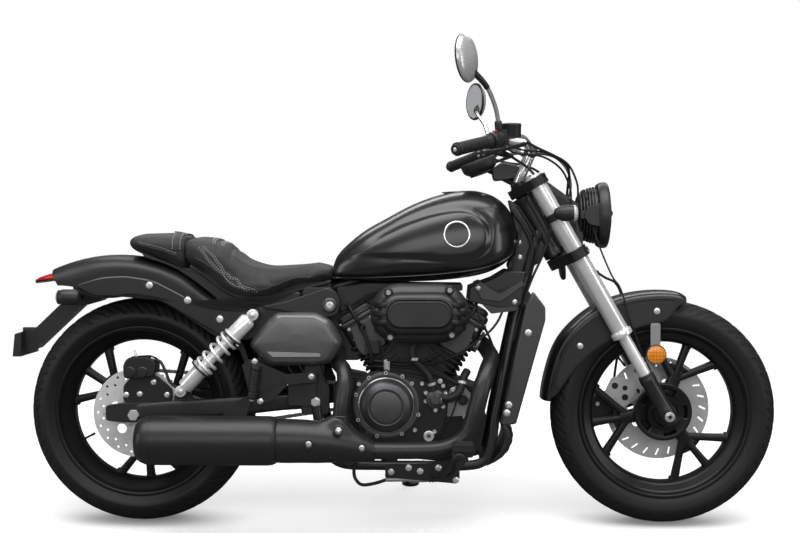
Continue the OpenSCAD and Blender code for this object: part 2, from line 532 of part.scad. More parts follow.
// Lower and upper eyes of the shock absorbers, and the pins through them
shock_a = [-579, 373];
shock_b = [-389, 574];
shock_pin = 6;
arm_path = [[-228, 82, 340, 16], [-320, 86, 336, 22], [-420, 117, 330, 24], [-560, 117, 322, 24],
    [-690, 117, 312, 24]];
function arm_ring(p) = [for (q = [[-1, -1], [-1, 1], [1, 1], [1, -1]])
    [X(p[0]), p[1] + q[0] * 12.5, p[2] + q[1] * p[3] + (axle_rz - 306)]];
module swingarm() color([0.06, 0.06, 0.065]) parked() difference() {
    union() {
        both() {
            loft([for (p = arm_path) arm_ring(p)]);
            plate(xs([[-668, 288], [-668, 338], [-740, 336], [-786, 330], [-786, 290], [-740, 286]]),
                107, 127);
            ycyl(14, 120, 130, X(shock_a[0]), shock_a[1]);
            ycyl(shock_pin, 120, 163, X(shock_a[0]), shock_a[1]);
            plate(xs([[-600, 330], [-600, 373], [-579, 389], [-560, 373], [-552, 330]]), 112, 127);
        }
        ycyl(24, -90, 82, X(-228), 340);
        translate([X(-372), -88, 314]) cube([40, 176, 40]);
    }
    ycyl(axle_r, -140, 140, X(-228), 340);
    ycyl(axle_r + seat_gap, -140, 140, axle_rx, axle_rz);
    for (s = [-1, 1]) ycyl(4, s > 0 ? 115 : -130, s > 0 ? 130 : -115, X(-766), 310);
}
module rear_axle() color([0.55, 0.56, 0.57]) parked() rear_at() {
    ycyl(axle_r, -136, 136);
    for (s = [-1, 1]) translate([0, s > 0 ? 127 + seat_gap : -138, 0]) rotate([-90, 0, 0])
        cylinder(r = 15, h = 10.7, $fn = 6);
    for (s = [-1, 1]) yring(14, axle_r - 1, s > 0 ? 96 : -106, s > 0 ? 106 : -86);
}
module shock_frame() translate([X(shock_a[0]), 150, shock_a[1]])
    rotate([0, atan2(X(shock_b[0]) - X(shock_a[0]), shock_b[1] - shock_a[1]), 0]) children();
shock_len = norm([X(shock_b[0]) - X(shock_a[0]), shock_b[1] - shock_a[1]]);
module shock_absorbers() color([0.75, 0.76, 0.77]) parked() both() difference() {
    union() {
        shock_frame() {
            translate([0, 0, 12]) cylinder(r = 19, h = 96, $fn = 48);
            translate([0, 0, 36]) cylinder(r = 33, h = 5, $fn = 48);
            translate([0, 0, 100]) cylinder(r = 8, h = shock_len - 112, $fn = 32);
            translate([0, 0, shock_len - 52]) cylinder(r = 33, h = 6, $fn = 48);
            translate([0, 0, shock_len - 47]) cylinder(r = 17, h = 38, $fn = 48);
            ycyl(15, -12, 12);
            translate([0, 0, shock_len]) ycyl(15, -12, 12);
        }
    }
    shock_frame() {
        ycyl(shock_pin + seat_gap, -20, 20);
        translate([0, 0, shock_len]) ycyl(shock_pin + seat_gap, -20, 20);
    }
}
module shock_springs() color([0.8, 0.81, 0.82]) parked() both() shock_frame()
    let (z0 = 45.4, z1 = shock_len - 56.4, turns = 8, k = 14)
    tube([for (i = [0:turns * k]) [25.5 * cos(360 * i / k), 25.5 * sin(360 * i / k),
        z0 + (z1 - z0) * i / (turns * k)]], 4, 6, [0, 0, 1]);
module rear_caliper() color([0.08, 0.08, 0.085]) parked() rear_at() difference() {
    union() {
        plate([[-52, 96], [-52, 156], [30, 160], [34, 96]], -104, -60);
        plate([[-60, 24], [-60, 100], [34, 100], [70, 60], [70, 34], [30, 22]], -104, -96);
        plate([[44, 28], [44, 60], [96, 56], [96, 36]], -104.2, -96);
    }
    plate([[-80, 60], [-80, rear_disc_r + 6], [60, rear_disc_r + 6], [60, 60]], -86, -76);
    translate([0, 0, 0]) ycyl(20, -120, -50);
}
function chain_loop(r0, r1, n = 14) = let (c0 = [axle_rx, axle_rz], c1 = [X(-158), 330],
    d = norm(c1 - c0), b = atan2(c1[1] - c0[1], c1[0] - c0[0]), g = acos((r0 - r1) / d))
    concat([for (i = [0:n]) c1 + r1 * [cos(b + g - 2 * g * i / n), sin(b + g - 2 * g * i / n)]],
        [for (i = [0:n * 2]) c0 + r0 * [cos(b - g - (360 - 2 * g) * i / n / 2),
            sin(b - g - (360 - 2 * g) * i / n / 2)]]);
module drive_chain() color([0.35, 0.34, 0.32]) parked() difference() {
    plate(chain_loop(sprocket_r + 15, 41), 85, 97);
    plate(chain_loop(sprocket_r + 5, 27), 80, 100);
    ycyl(26.3, 80, 100, X(-158), 330);
}

// ---------- foot controls ----------

module foot_side() {
    plate(xs([[-41, 179], [76, 184], [142, 196], [155, 188], [155, 145], [144, 131], [-41, 147]]),
        144, 150);
    for (x = [-10, 110]) ycyl(9, 108 + seat_gap, 145, X(x), 166);
    tube(curve(xs3([[118, 146, 158], [136, 190, 166], [148, 226, 196], [150, 232, 214]]), 4), 8, 12,
        [1, 0, 0]);
    ycyl(15, 224, 316, X(150), 222);
    tube(curve(xs3([[84, 148, 150], [104, 196, 158], [132, 238, 200], [150, 258, 242]]), 4), 6, 12,
        [1, 0, 0]);
    translate([X(160) - 27, 238, 241]) cube([54, 60, 14]);
}
module foot_controls() color([0.09, 0.09, 0.095]) parked() both() foot_side();
module passenger_pegs() color([0.08, 0.08, 0.085]) parked() both() {
    plate(xs([[-420, 440], [-404, 455], [-384, 455], [-366, 445], [-300, 416], [-222, 424], [-222, 396],
        [-300, 388], [-340, 346], [-388, 332], [-396, 346]]), 131, 137);
    ycyl(14, frame_out + seat_gap, 132, X(-236), 410);
    bar([X(-392), 149, 352], [X(-380), 149, 440], 12.2);
}

// ---------- steering ----------

function leg_pts(r) = [for (a = [0:30:180]) [yoke_off + r * cos(a), fork_y + r * sin(a)]];
module yoke_plate(z, h, r, tail) translate([0, 0, z]) linear_extrude(height = h)
    polygon(concat([for (a = [-60:30:120]) [yoke_off + r * cos(a), fork_y + r * sin(a)]],
        [for (a = [150:30:210]) [tail * cos(a) * 0.8, tail * sin(a)]],
        [for (a = [-120:30:60]) [yoke_off + r * cos(a), -fork_y + r * sin(a)]]));
module yokes() color([0.07, 0.07, 0.075]) parked() steer() difference() {
    union() {
        yoke_plate(480, 28, 31, 36);
        yoke_plate(701, 25, 31, 36);
        translate([0, 0, 490]) cylinder(r = 17 - pin_gap, h = 240, $fn = 48);
        translate([0, 0, 726]) cylinder(r = 14, h = 12, $fn = 6);
        for (s = [-1, 1]) translate([6, s * 52, 726]) cylinder(r = 15, h = 10, $fn = 48);
        for (s = [-1, 1]) translate([60, s * 40, 488]) rotate([0, 90, 0]) cylinder(r = 8, h = 24, $fn = 32);
    }
    for (s = [-1, 1]) translate([yoke_off, s * fork_y, 470]) cylinder(r = sleeve_r + seat_gap, h = 270, $fn = 48);
}
module fork_tubes() color([0.8, 0.81, 0.82]) parked() steer() for (s = [-1, 1])
    translate([yoke_off, s * fork_y, 0]) {
        translate([0, 0, 258]) cylinder(r = sleeve_r, h = 474, $fn = 64);
        translate([0, 0, 244]) cylinder(r = sleeve_r + 5.5, h = 16, $fn = 64);
        translate([0, 0, 118 + seat_gap]) cylinder(r = 16, h = 130, $fn = 64);
    }
module fork_lowers() color([0.06, 0.06, 0.065]) parked() steer() difference() {
    for (s = [-1, 1]) translate([yoke_off, s * fork_y, 0]) {
        translate([0, 0, -24]) cylinder(r = 22.5, h = 142, $fn = 64);
    }
    ycyl(axle_r + seat_gap, -140, 140, yoke_off, 0);
}
bar_half = [[352, 0, 1004], [350, -50, 1004], [342, -95, 1012], [318, -150, 1034],
    [286, -195, 1036], [232, -265, 1021], [139, -390, 991]];
function wide(p) = [p[0], p[1] * bar_w / 790, p[2]];
module handlebar() color([0.78, 0.79, 0.8]) parked() steer() {
    tube(curve(Ls([for (p = concat([for (i = [6:-1:1]) bar_half[i]],
        [for (i = [0:6]) [bar_half[i][0], -bar_half[i][1], bar_half[i][2]]])) wide(p)]), 4),
        bar_d / 2, 14, [1, 0, 0]);
    for (s = [-1, 1]) difference() {
        bar([-4, s * 52, 729], L([350, s * 50, 1006]), 13);
        translate([-60, s * 52 - 30, 680]) cube([120, 60, 56 + seat_gap]);
    }
}
module grips() color([0.05, 0.05, 0.05]) parked() steer() for (s = [-1, 1]) {
    difference() {
        union() {
            bar(L(wide([139, s * 391, 991])), L(wide([226, s * 274, 1019.4])), 17);
            bar(L(wide([228, s * 271, 1020])), L(wide([262, s * 226, 1029])), 22);
            at_steer(wide([s < 0 ? 283 : 276, s * 218, 1042])) translate([0, 0, -10])
                cylinder(r = s < 0 ? 26 : 14, h = s < 0 ? 36 : 22, $fn = 48);
            // Lever and its pivot block
            bar(L(wide([282, s * 226, 1024])), L(wide([318, s * 232, 1016])), 9);
            bar(L(wide([318, s * 234, 1016])), L(wide([206, s * 378, 984])), 5.5);
        }
        tube(curve(Ls([for (p = concat([for (i = [6:-1:1]) bar_half[i]],
            [for (i = [0:6]) [bar_half[i][0], -bar_half[i][1], bar_half[i][2]]])) wide(p)]), 4),
            bar_d / 2 + seat_gap, 14, [1, 0, 0]);
    }
}
module mirror_head(r, yaw, tilt) rotate([0, 0, yaw]) rotate([0, tilt - 90, 0])
    rotate_extrude($fn = 64) polygon([[0, -4], [r - 6, -4], [r, 0], [r - 2, 6], [r * 0.7, 15],
        [r * 0.35, 20], [0, 22]]);
module mirrors() color([0.8, 0.81, 0.82]) parked() steer() for (s = [-1, 1]) difference() {
    mirror_arm(s);
    bar(L(wide([228, s * 271, 1020])), L(wide([262, s * 226, 1029])), 22 + seat_gap);
}
module mirror_arm(s) {
    at_steer(wide([s < 0 ? 163 : 214, s * 352, s < 0 ? 1216 : 1186]))
        mirror_head(s < 0 ? 60 : 56, s * 25 + 180, s < 0 ? 4 : 0);
    tube(curve(Ls([for (p = [[250, s * 244, 1050], [248, s * 250, 1072], [238, s * 272, 1110],
        [215, s * 312, 1152], [s < 0 ? 176 : 228, s * 346, s < 0 ? 1190 : 1176]]) wide(p)]), 4), 6, 10,
        [1, 0, 0]);
    bar(L(wide([251, s * 243, 1038])), L(wide([248, s * 250, 1072])), 9);
}
module headlamp() color([0.07, 0.07, 0.075]) parked() steer() difference() {
    lamp();
    for (s = [-1, 1]) translate([56, s * 40, 488]) rotate([0, 90, 0]) cylinder(r = 8 + seat_gap, h = 30, $fn = 32);
}
module lamp() {
    at_steer([544, 0, 838]) rotate([0, 90, 0]) rotate_extrude($fn = 96) polygon([[0, -72],
        [46, -70], [66, -58], [74, -36], [78, -34], [78, -8], [88, -6], [90, 6], [86, 14],
        [60, 21], [0, 24]]);
    // Plates back to the lower and upper yokes
    for (t = [-1, 1]) plate([[60.5 + seat_gap, 486], [66, 486], [107, 555], [125, 594], [66, 722],
        [60.5 + seat_gap, 722], [60.5 + seat_gap, 704], [100, 612], [84, 560],
        [60.5 + seat_gap, 506]], t > 0 ? 34 : -42, t > 0 ? 42 : -34);
}
module instrument() color([0.07, 0.07, 0.075]) parked() steer() union() {
    at_steer([212, 0, 972]) rotate([0, -20, 0]) translate([0, 0, -20]) rotate_extrude($fn = 64)
        polygon([[0, 0], [36, 0], [48, 14], [50, 30], [47, 36], [0, 36]]);
    difference() {
        bar(L([236, 0, 966]), [4, 0, 731], 9);
        translate([-60, -30, 680]) cube([120, 60, 58 + seat_gap]);
    }
}
module front_turn_signals() color([0.1, 0.1, 0.1]) parked() steer() for (s = [-1, 1]) difference() {
    signal(s);
    translate([yoke_off, s * fork_y, 300]) cylinder(r = sleeve_r + seat_gap, h = 500, $fn = 64);
}
module signal(s) {
    at_steer([428, s * 172, 841]) rotate([0, 90, 0]) rotate_extrude($fn = 48)
        polygon([[0, -32], [12, -28], [21, -8], [22, 22], [16, 30], [0, 32]]);
    at_steer([440, 0, 841]) ycyl(7, s > 0 ? fork_y + 20 : -160, s > 0 ? 160 : -fork_y - 20);
    at_steer([440, 0, 841]) bar([0, s * (fork_y + 22), 0], [-14, s * (fork_y + 25), -8], 8);
}

// Front fender: polar angle about the front axle against radius.
fcrown_t = [[80, 322], [84, 329], [96, 332], [107, 336], [120, 343], [133, 346], [146, 346],
    [161, 337], [174, 333]];
fhem_t = [[80, 306], [84, 290], [87, 266], [94, 246], [113, 245], [131, 251], [154, 271],
    [169, 294], [174, 324]];
fgrow = front_tyre_r - 304;
module front_fender() color([0.03, 0.03, 0.035]) parked() steer() difference() {
    at_steer([710, 0, 304]) translate([yoke_off - 45, 0, 0]) {
        loft([for (a = [174:-2.9375:80]) shell_ring(a, at(fcrown_t, a) + fgrow, at(fcrown_t, a) + fgrow - 14,
            min(at(fhem_t, a), at(fcrown_t, a) - 20) + fgrow, 63.3, 3.2)], true);
        // Stays down to the fork
        for (s = [-1, 1]) rotate([0, -rake0, 0]) {
            translate([-12, s > 0 ? 62 : -65, 92]) cube([24, 3, 190]);
            ycyl(10, s > 0 ? 62 : -fork_y + 22.5 + seat_gap, s > 0 ? fork_y - 22.5 - seat_gap : -62, 0, 102);
        }
    }
}
module front_axle() color([0.55, 0.56, 0.57]) parked() front_at() difference() {
    union() {
        ycyl(axle_r, -fork_y - 24, fork_y + 24);
        for (s = [-1, 1]) ycyl(13, s > 0 ? fork_y + 22.5 + seat_gap : -fork_y - 26,
            s > 0 ? fork_y + 26 : -fork_y - 22.5 - seat_gap);
        yring(14, axle_r - 1, 64, fork_y - 22.5 - seat_gap);
        yring(14, axle_r - 1, -fork_y + 22.5 + seat_gap, -63);
    }
    ycyl(5, -fork_y - 40, fork_y + 40);
}
module front_caliper() color([0.5, 0.5, 0.51]) parked() front_at() difference() {
    union() {
        plate([[-180, -30], [-184, 10], [-166, 44], [-118, 36], [-104, 6], [-110, -26]], 46, 80);
        plate([[-120, -16], [-120, 24], [-30, 60], [-18, 44], [-60, 6]], 64, 71);
        ycyl(10, 66, fork_y, -28, 48);
    }
    difference() {
        ycyl(front_disc_r + 6, 55.4, 64.4);
        ycyl(60, 50, 70);
    }
    front_leg_cut();
}
module front_leg_cut() rotate([0, -rake, 0]) translate([0, fork_y, -30])
    cylinder(r = 22.5 + seat_gap, h = 160, $fn = 48);
module front_brake_hose() color([0.05, 0.05, 0.05]) parked() steer() difference() {
    tube(curve(Ls([wide([300, -214, 1036]), wide([350, -170, 1012]), wide([405, -115, 992]),
        wide([442, -55, 972]),
        [456, 0, 952], [458, 42, 925], [456, 57, 880], [458, 58, 830], [470, 58, 770], [520, 57, 700],
        [560, 56, 668], [592, 63, 652], [611, 70, 618], [628, 70.5, 560], [623, 70.5, 534],
        [600, 70.5, 440], [588, 70, 350]]), 3), 3.5, 8, [0, 0.3, 0.9]);
    at_steer(wide([283, -218, 1042])) translate([0, 0, -12]) cylinder(r = 26 + seat_gap, h = 40, $fn = 48);
}

// ---------- nodes ----------

steering_head();
frame();
crankcase();
front_cylinder();
rear_cylinder();
right_engine_cover();
clutch_cover();
left_engine_cover();
water_pump();
air_cleaner();
front_header();
rear_header();
exhaust_collector();
muffler();
radiator();
radiator_shroud();
lower_cowl();
fuel_tank();
filler_cap();
rider_seat();
pillion_seat();
side_covers();
frame_covers();
neck_covers();
battery_box();
rear_fender();
fender_rails();
tail_lamp();
rear_turn_signals();
plate_bracket();
swingarm();
rear_axle();
shock_absorbers();
shock_springs();
rear_caliper();
drive_chain();
foot_controls();
passenger_pegs();
side_stand();
rear_tyre();
rear_rim();
rear_brake_disc();
rear_sprocket();
yokes();
fork_tubes();
fork_lowers();
handlebar();
grips();
mirrors();
headlamp();
instrument();
front_turn_signals();
front_fender();
front_axle();
front_caliper();
front_brake_hose();
front_tyre();
front_rim();
front_brake_disc();
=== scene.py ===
"""Looks of a cruiser motorcycle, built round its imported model.

Every piece is worked out in the upright bike frame, in millimetres (X forward, Y to the
rider's left, Z up), and parked() leans it onto its side stand in the row frame, in metres.
"""

import json
import logging
import math
from dataclasses import dataclass, field
from enum import Enum
from typing import Any, Iterable, Optional, Sequence, Union

import bmesh
import bpy
import numpy as np
from mathutils import Matrix, Vector
from mathutils.bvhtree import BVHTree

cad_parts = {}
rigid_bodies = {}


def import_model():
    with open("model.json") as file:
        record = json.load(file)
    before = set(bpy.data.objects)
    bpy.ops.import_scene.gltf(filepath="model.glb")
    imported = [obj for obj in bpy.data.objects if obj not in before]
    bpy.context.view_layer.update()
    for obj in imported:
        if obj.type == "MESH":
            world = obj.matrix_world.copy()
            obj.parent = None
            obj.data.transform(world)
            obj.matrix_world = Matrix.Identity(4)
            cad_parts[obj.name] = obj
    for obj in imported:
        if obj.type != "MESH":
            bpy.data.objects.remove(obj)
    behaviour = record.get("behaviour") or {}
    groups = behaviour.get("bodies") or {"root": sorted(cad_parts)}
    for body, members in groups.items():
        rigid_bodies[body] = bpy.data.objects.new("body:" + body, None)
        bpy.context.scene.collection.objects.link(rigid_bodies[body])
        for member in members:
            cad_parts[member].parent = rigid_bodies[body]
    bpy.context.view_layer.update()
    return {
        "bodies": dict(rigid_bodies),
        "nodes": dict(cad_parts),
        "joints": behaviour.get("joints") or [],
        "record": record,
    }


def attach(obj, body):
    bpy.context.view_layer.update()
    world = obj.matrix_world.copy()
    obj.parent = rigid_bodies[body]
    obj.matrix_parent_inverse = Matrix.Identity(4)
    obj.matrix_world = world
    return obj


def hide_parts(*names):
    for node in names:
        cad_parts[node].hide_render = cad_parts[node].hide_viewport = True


log = logging.getLogger("cruiser")
Array = np.ndarray

LEAN = math.radians(10.0)
MIDDLE = (-19.0, 164.4)
REAR_AXLE = np.array([-710.0, 0.0, 306.0])
RAKE = math.radians(29.5)
YOKE = 45.0
FORK_HALF = 94.0
SWING_PIVOT = np.array([-228.0, 0.0, 340.0])
SHOCK_LOW = np.array([-579.0, 150.0, 373.0])
SHOCK_TOP = np.array([-389.0, 150.0, 574.0])


def sink(half_width: float, depth: float) -> float:
    """How far a tyre of elliptical crown drops when leaned: support height less the leaned height."""
    return math.hypot(half_width * math.sin(LEAN), depth * math.cos(LEAN)) - depth * math.cos(LEAN)


LIFT = sink(75.0, 52.0)
DROP = -(LIFT - sink(55.0, 42.0)) / math.cos(LEAN)
FRONT_AXLE = np.array([710.0, 0.0, 304.0 + DROP])


def parked(points: Array) -> Array:
    """Turns upright bike points into the row frame: a lean about X, a shift and millimetres to metres.

    Args:
        points: any array whose last axis holds x, y and z in millimetres.
    Returns:
        The same array in metres, leaned.
    """
    p = np.asarray(points, float)
    c, s = math.cos(LEAN), math.sin(LEAN)
    return np.stack([p[..., 0] - MIDDLE[0], p[..., 1] * c + p[..., 2] * s - MIDDLE[1],
                     -p[..., 1] * s + p[..., 2] * c + LIFT], axis=-1) / 1000.0


def turned(vectors: Array) -> Array:
    """Leans directions without moving or scaling them.

    Args:
        vectors: directions, one a row.
    Returns:
        The leaned directions.
    """
    v = np.asarray(vectors, float)
    c, s = math.cos(LEAN), math.sin(LEAN)
    return np.stack([v[..., 0], v[..., 1] * c + v[..., 2] * s, -v[..., 1] * s + v[..., 2] * c], axis=-1)


def steer(points: Array) -> Array:
    """Carries points from the steering axis's frame (x ahead, z up the axis) into the bike frame.

    Args:
        points: points, one a row.
    Returns:
        The points in the bike frame.
    """
    p = np.asarray(points, float)
    c, s = math.cos(RAKE), math.sin(RAKE)
    x = p[..., 0] - YOKE
    return np.stack([x * c - p[..., 2] * s, p[..., 1], x * s + p[..., 2] * c], axis=-1) + FRONT_AXLE


# ---------------------------------------------------------------- shader maths


class Sock:
    """A shader socket that takes part in arithmetic; each operation adds one Math node."""

    def __init__(self, graph: "Graph", socket: bpy.types.NodeSocket) -> None:
        """Keeps the graph and the socket."""
        self.graph = graph
        self.socket = socket

    def _math(self, operation: str, *values: Any) -> "Sock":
        """Adds a Math node.

        Args:
            operation: the node's operation.
            values: its inputs in order, sockets or numbers.
        Returns:
            The node's value.
        """
        node = self.graph.add("ShaderNodeMath", {"operation": operation}, dict(enumerate(values)))
        return Sock(self.graph, node.outputs[0])

    def __add__(self, other: Any) -> "Sock":
        """Sum."""
        return self._math("ADD", self, other)

    __radd__ = __add__

    def __sub__(self, other: Any) -> "Sock":
        """Difference."""
        return self._math("SUBTRACT", self, other)

    def __rsub__(self, other: Any) -> "Sock":
        """Reflected difference."""
        return self._math("SUBTRACT", other, self)

    def __mul__(self, other: Any) -> "Sock":
        """Product."""
        return self._math("MULTIPLY", self, other)

    __rmul__ = __mul__

    def __truediv__(self, other: Any) -> "Sock":
        """Quotient."""
        return self._math("DIVIDE", self, other)

    def __pow__(self, other: Any) -> "Sock":
        """Power."""
        return self._math("POWER", self, other)

    def abs(self) -> "Sock":
        """Absolute value."""
        return self._math("ABSOLUTE", self)

    def sin(self) -> "Sock":
        """Sine."""
        return self._math("SINE", self)

    def clamp(self) -> "Sock":
        """Held between 0 and 1."""
        return self._math("MINIMUM", self._math("MAXIMUM", self, 0.0), 1.0)

    def step(self, low: float, high: float) -> "Sock":
        """Smooth step from 0 at low to 1 at high."""
        node = self.graph.add("ShaderNodeMapRange", {"interpolation_type": "SMOOTHSTEP"},
                              {0: self, 1: low, 2: high, 3: 0.0, 4: 1.0})
        return Sock(self.graph, node.outputs[0])


class Graph:
    """One material's node tree, with its Principled shader at hand."""

    def __init__(self, name: str) -> None:
        """Makes an empty material of that name."""
        self.material = bpy.data.materials.new(name)
        self.material.use_nodes = True
        self.tree = self.material.node_tree
        self.tree.nodes.clear()
        self.out = self.tree.nodes.new("ShaderNodeOutputMaterial")
        self.shader = self.tree.nodes.new("ShaderNodeBsdfPrincipled")
        self.tree.links.new(self.shader.outputs[0], self.out.inputs[0])
        self._coords: Optional[Sock] = None

    def add(self, kind: str, settings: Optional[dict] = None,
            inputs: Optional[dict] = None) -> bpy.types.Node:
        """Adds any node.

        Args:
            kind: the node's type.
            settings: its properties, and "ramp" for the stops of a colour ramp; these are set first.
            inputs: values, sockets or Socks by input name or number.
        Returns:
            The new node.
        """
        node = self.tree.nodes.new(kind)
        for key, value in (settings or {}).items():
            if key == "ramp":
                while len(node.color_ramp.elements) < len(value):
                    node.color_ramp.elements.new(0.5)
                for element, (place, colour) in zip(node.color_ramp.elements, value):
                    element.position = place
                    element.color = colour
            else:
                setattr(node, key, value)
        for key, value in (inputs or {}).items():
            socket = node.inputs[key]
            if isinstance(value, Sock):
                self.tree.links.new(value.socket, socket)
            elif isinstance(value, bpy.types.NodeSocket):
                self.tree.links.new(value, socket)
            else:
                socket.default_value = value
        return node

    def coords(self) -> Sock:
        """Object coordinates.

        Returns:
            The coordinates' socket.
        """
        if self._coords is None:
            self._coords = Sock(self, self.add("ShaderNodeTexCoord").outputs["Object"])
        return self._coords

    def split(self, vector: Sock) -> tuple:
        """The three parts of a vector."""
        node = self.add("ShaderNodeSeparateXYZ", None, {0: vector})
        return tuple(Sock(self, o) for o in node.outputs)

    def noise(self, scale: float, detail: float = 3.0, rough: float = 0.5,
              vector: Optional[Sock] = None) -> Sock:
        """Noise between 0 and 1 at so many waves a metre.

        Args:
            scale: waves or cells a metre.
            detail: octaves of the noise.
            rough: weight of each finer octave.
            vector: coordinates, or the object's own when missing.
        Returns:
            The noise's socket.
        """
        node = self.add("ShaderNodeTexNoise", None, {"Vector": vector or self.coords(), "Scale": scale,
                                                      "Detail": detail, "Roughness": rough})
        return Sock(self, node.outputs[0])

    def cells(self, scale: float, feature: str = "F1", vector: Optional[Sock] = None) -> Sock:
        """Distance in a Voronoi pattern at so many cells a metre."""
        node = self.add("ShaderNodeTexVoronoi", {"feature": feature}, {"Vector": vector or self.coords(),
                                                                       "Scale": scale})
        return Sock(self, node.outputs["Distance"])

    def mix(self, factor: Union[Sock, float], one: Any, two: Any) -> Sock:
        """Mixes two colours by a factor."""
        node = self.add("ShaderNodeMix", {"data_type": "RGBA"}, {0: factor, 6: one, 7: two})
        return Sock(self, node.outputs[2])

    def set(self, **values: Any) -> None:
        """Sets the Principled shader's sockets; underscores stand for spaces."""
        for key, value in values.items():
            socket = self.shader.inputs[key.replace("_", " ")]
            if isinstance(value, Sock):
                self.tree.links.new(value.socket, socket)
            else:
                socket.default_value = value

    def bump(self, height: Sock, strength: float, distance: float = 0.001) -> None:
        """Feeds a height, in units of distance metres, to the normal."""
        node = self.add("ShaderNodeBump", None, {"Height": height, "Strength": strength,
                                                 "Distance": distance})
        self.tree.links.new(node.outputs[0], self.shader.inputs["Normal"])


def rgb(red: float, green: float, blue: float) -> tuple:
    """An opaque colour."""
    return (red, green, blue, 1.0)


def shade(colour: Sequence[float], factor: float) -> tuple:
    """A colour made lighter or darker."""
    return tuple(min(1.0, c * factor) for c in colour[:3]) + (1.0,)


@dataclass(frozen=True)
class Finish:
    """A surface finish: a name, the record's material slot and a base colour."""

    name: str
    slot: str
    colour: tuple

    def material(self) -> bpy.types.Material:
        """The material, made once.

        Returns:
            The material.
        """
        found = bpy.data.materials.get(self.name)
        if found is not None:
            return found
        graph = Graph(self.name)
        self.build(graph)
        return graph.material

    def build(self, g: Graph) -> None:
        """Fills the graph; each finish has its own."""
        g.set(Base_Color=self.colour)


@dataclass(frozen=True)
class Paint(Finish):
    """Gloss or satin paint under a clear coat: slight orange peel, dust and colour drift."""

    rough: float = 0.3
    coat: float = 1.0
    coat_rough: float = 0.04
    peel: float = 0.05
    metallic: float = 0.0

    def build(self, g: Graph) -> None:
        """Wide noise drifts the colour and roughness, fine noise makes the peel.

        Args:
            g: the material's node graph.
        """
        drift = g.noise(6.0, 4.0)
        dust = g.noise(90.0, 5.0, 0.6)
        g.set(Base_Color=g.mix(drift * 0.6 + dust * 0.4, shade(self.colour, 0.8), shade(self.colour, 1.3)),
              Roughness=(self.rough + (dust - 0.5) * 0.12 + (drift - 0.5) * 0.08).clamp(),
              Metallic=self.metallic, Coat_Weight=self.coat, Coat_Roughness=self.coat_rough)
        g.bump(g.noise(260.0, 2.0) + g.noise(1400.0, 2.0) * 0.15, self.peel, 0.0006)


@dataclass(frozen=True)
class Cast(Finish):
    """Coated cast metal: fine grain, cloudy sheen and slightly rubbed high spots."""

    rough: float = 0.42
    metallic: float = 0.6
    grain: float = 900.0
    depth: float = 0.25

    def build(self, g: Graph) -> None:
        """Two sizes of noise make the grain, and wide noise the cloudiness.

        Args:
            g: the material's node graph.
        """
        cloud = g.noise(14.0, 4.0, 0.6)
        grain = g.noise(self.grain, 4.0, 0.6)
        rub = g.noise(45.0, 5.0, 0.7).step(0.55, 0.8)
        g.set(Base_Color=g.mix((cloud * 0.6 + grain * 0.3 + rub * 0.25).clamp(), shade(self.colour, 0.7),
                               shade(self.colour, 1.45)),
              Roughness=(self.rough + (cloud - 0.5) * 0.16 + (grain - 0.5) * 0.1).clamp(),
              Metallic=self.metallic)
        g.bump(grain + g.cells(self.grain * 0.5) * 0.4, self.depth, 0.0004)


@dataclass(frozen=True)
class Plated(Finish):
    """Bright plating with faint smudges and hairlines."""

    rough: float = 0.09
    smudge: float = 0.07
    metallic: float = 1.0

    def build(self, g: Graph) -> None:
        """Noise smudges the roughness, a finer one ripples the surface.

        Args:
            g: the material's node graph.
        """
        cloud = g.noise(18.0, 5.0, 0.65)
        fine = g.noise(700.0, 3.0)
        g.set(Base_Color=g.mix(cloud, shade(self.colour, 0.95), shade(self.colour, 1.04)),
              Metallic=self.metallic,
              Roughness=(self.rough + cloud * self.smudge + (fine - 0.5) * 0.03).clamp())
        g.bump(fine, 0.01, 0.0002)


@dataclass(frozen=True)
class Machined(Finish):
    """Turned or ground metal: rings round an axle, from the distance to it."""

    axle: tuple = (0.0, 0.0, 0.0)
    rough: float = 0.28
    rings: float = 2600.0
    metallic: float = 1.0

    def build(self, g: Graph) -> None:
        """Waves in the distance from the axle make the lay of the grinding.

        Args:
            g: the material's node graph.
        """
        centre = tuple(float(v) for v in parked(np.array(self.axle)))
        across = tuple(float(v) for v in turned(np.array([0.0, 1.0, 0.0])))
        local = Sock(g, g.add("ShaderNodeVectorMath", {"operation": "SUBTRACT"},
                              {0: g.coords(), 1: centre}).outputs[0])
        side = Sock(g, g.add("ShaderNodeVectorMath", {"operation": "CROSS_PRODUCT"},
                             {0: local, 1: across}).outputs[0])
        reach = Sock(g, g.add("ShaderNodeVectorMath", {"operation": "LENGTH"}, {0: side}).outputs["Value"])
        lay = (reach * self.rings + g.noise(30.0, 2.0) * 6.0).sin()
        heat = g.noise(40.0, 3.0)
        g.set(Base_Color=g.mix((heat * 0.6 + lay * 0.2 + 0.2).clamp(), shade(self.colour, 0.75),
                               shade(self.colour, 1.2)), Metallic=self.metallic,
              Roughness=(self.rough + lay * 0.06 + (heat - 0.5) * 0.14).clamp())
        g.bump(lay, 0.12, 0.0002)


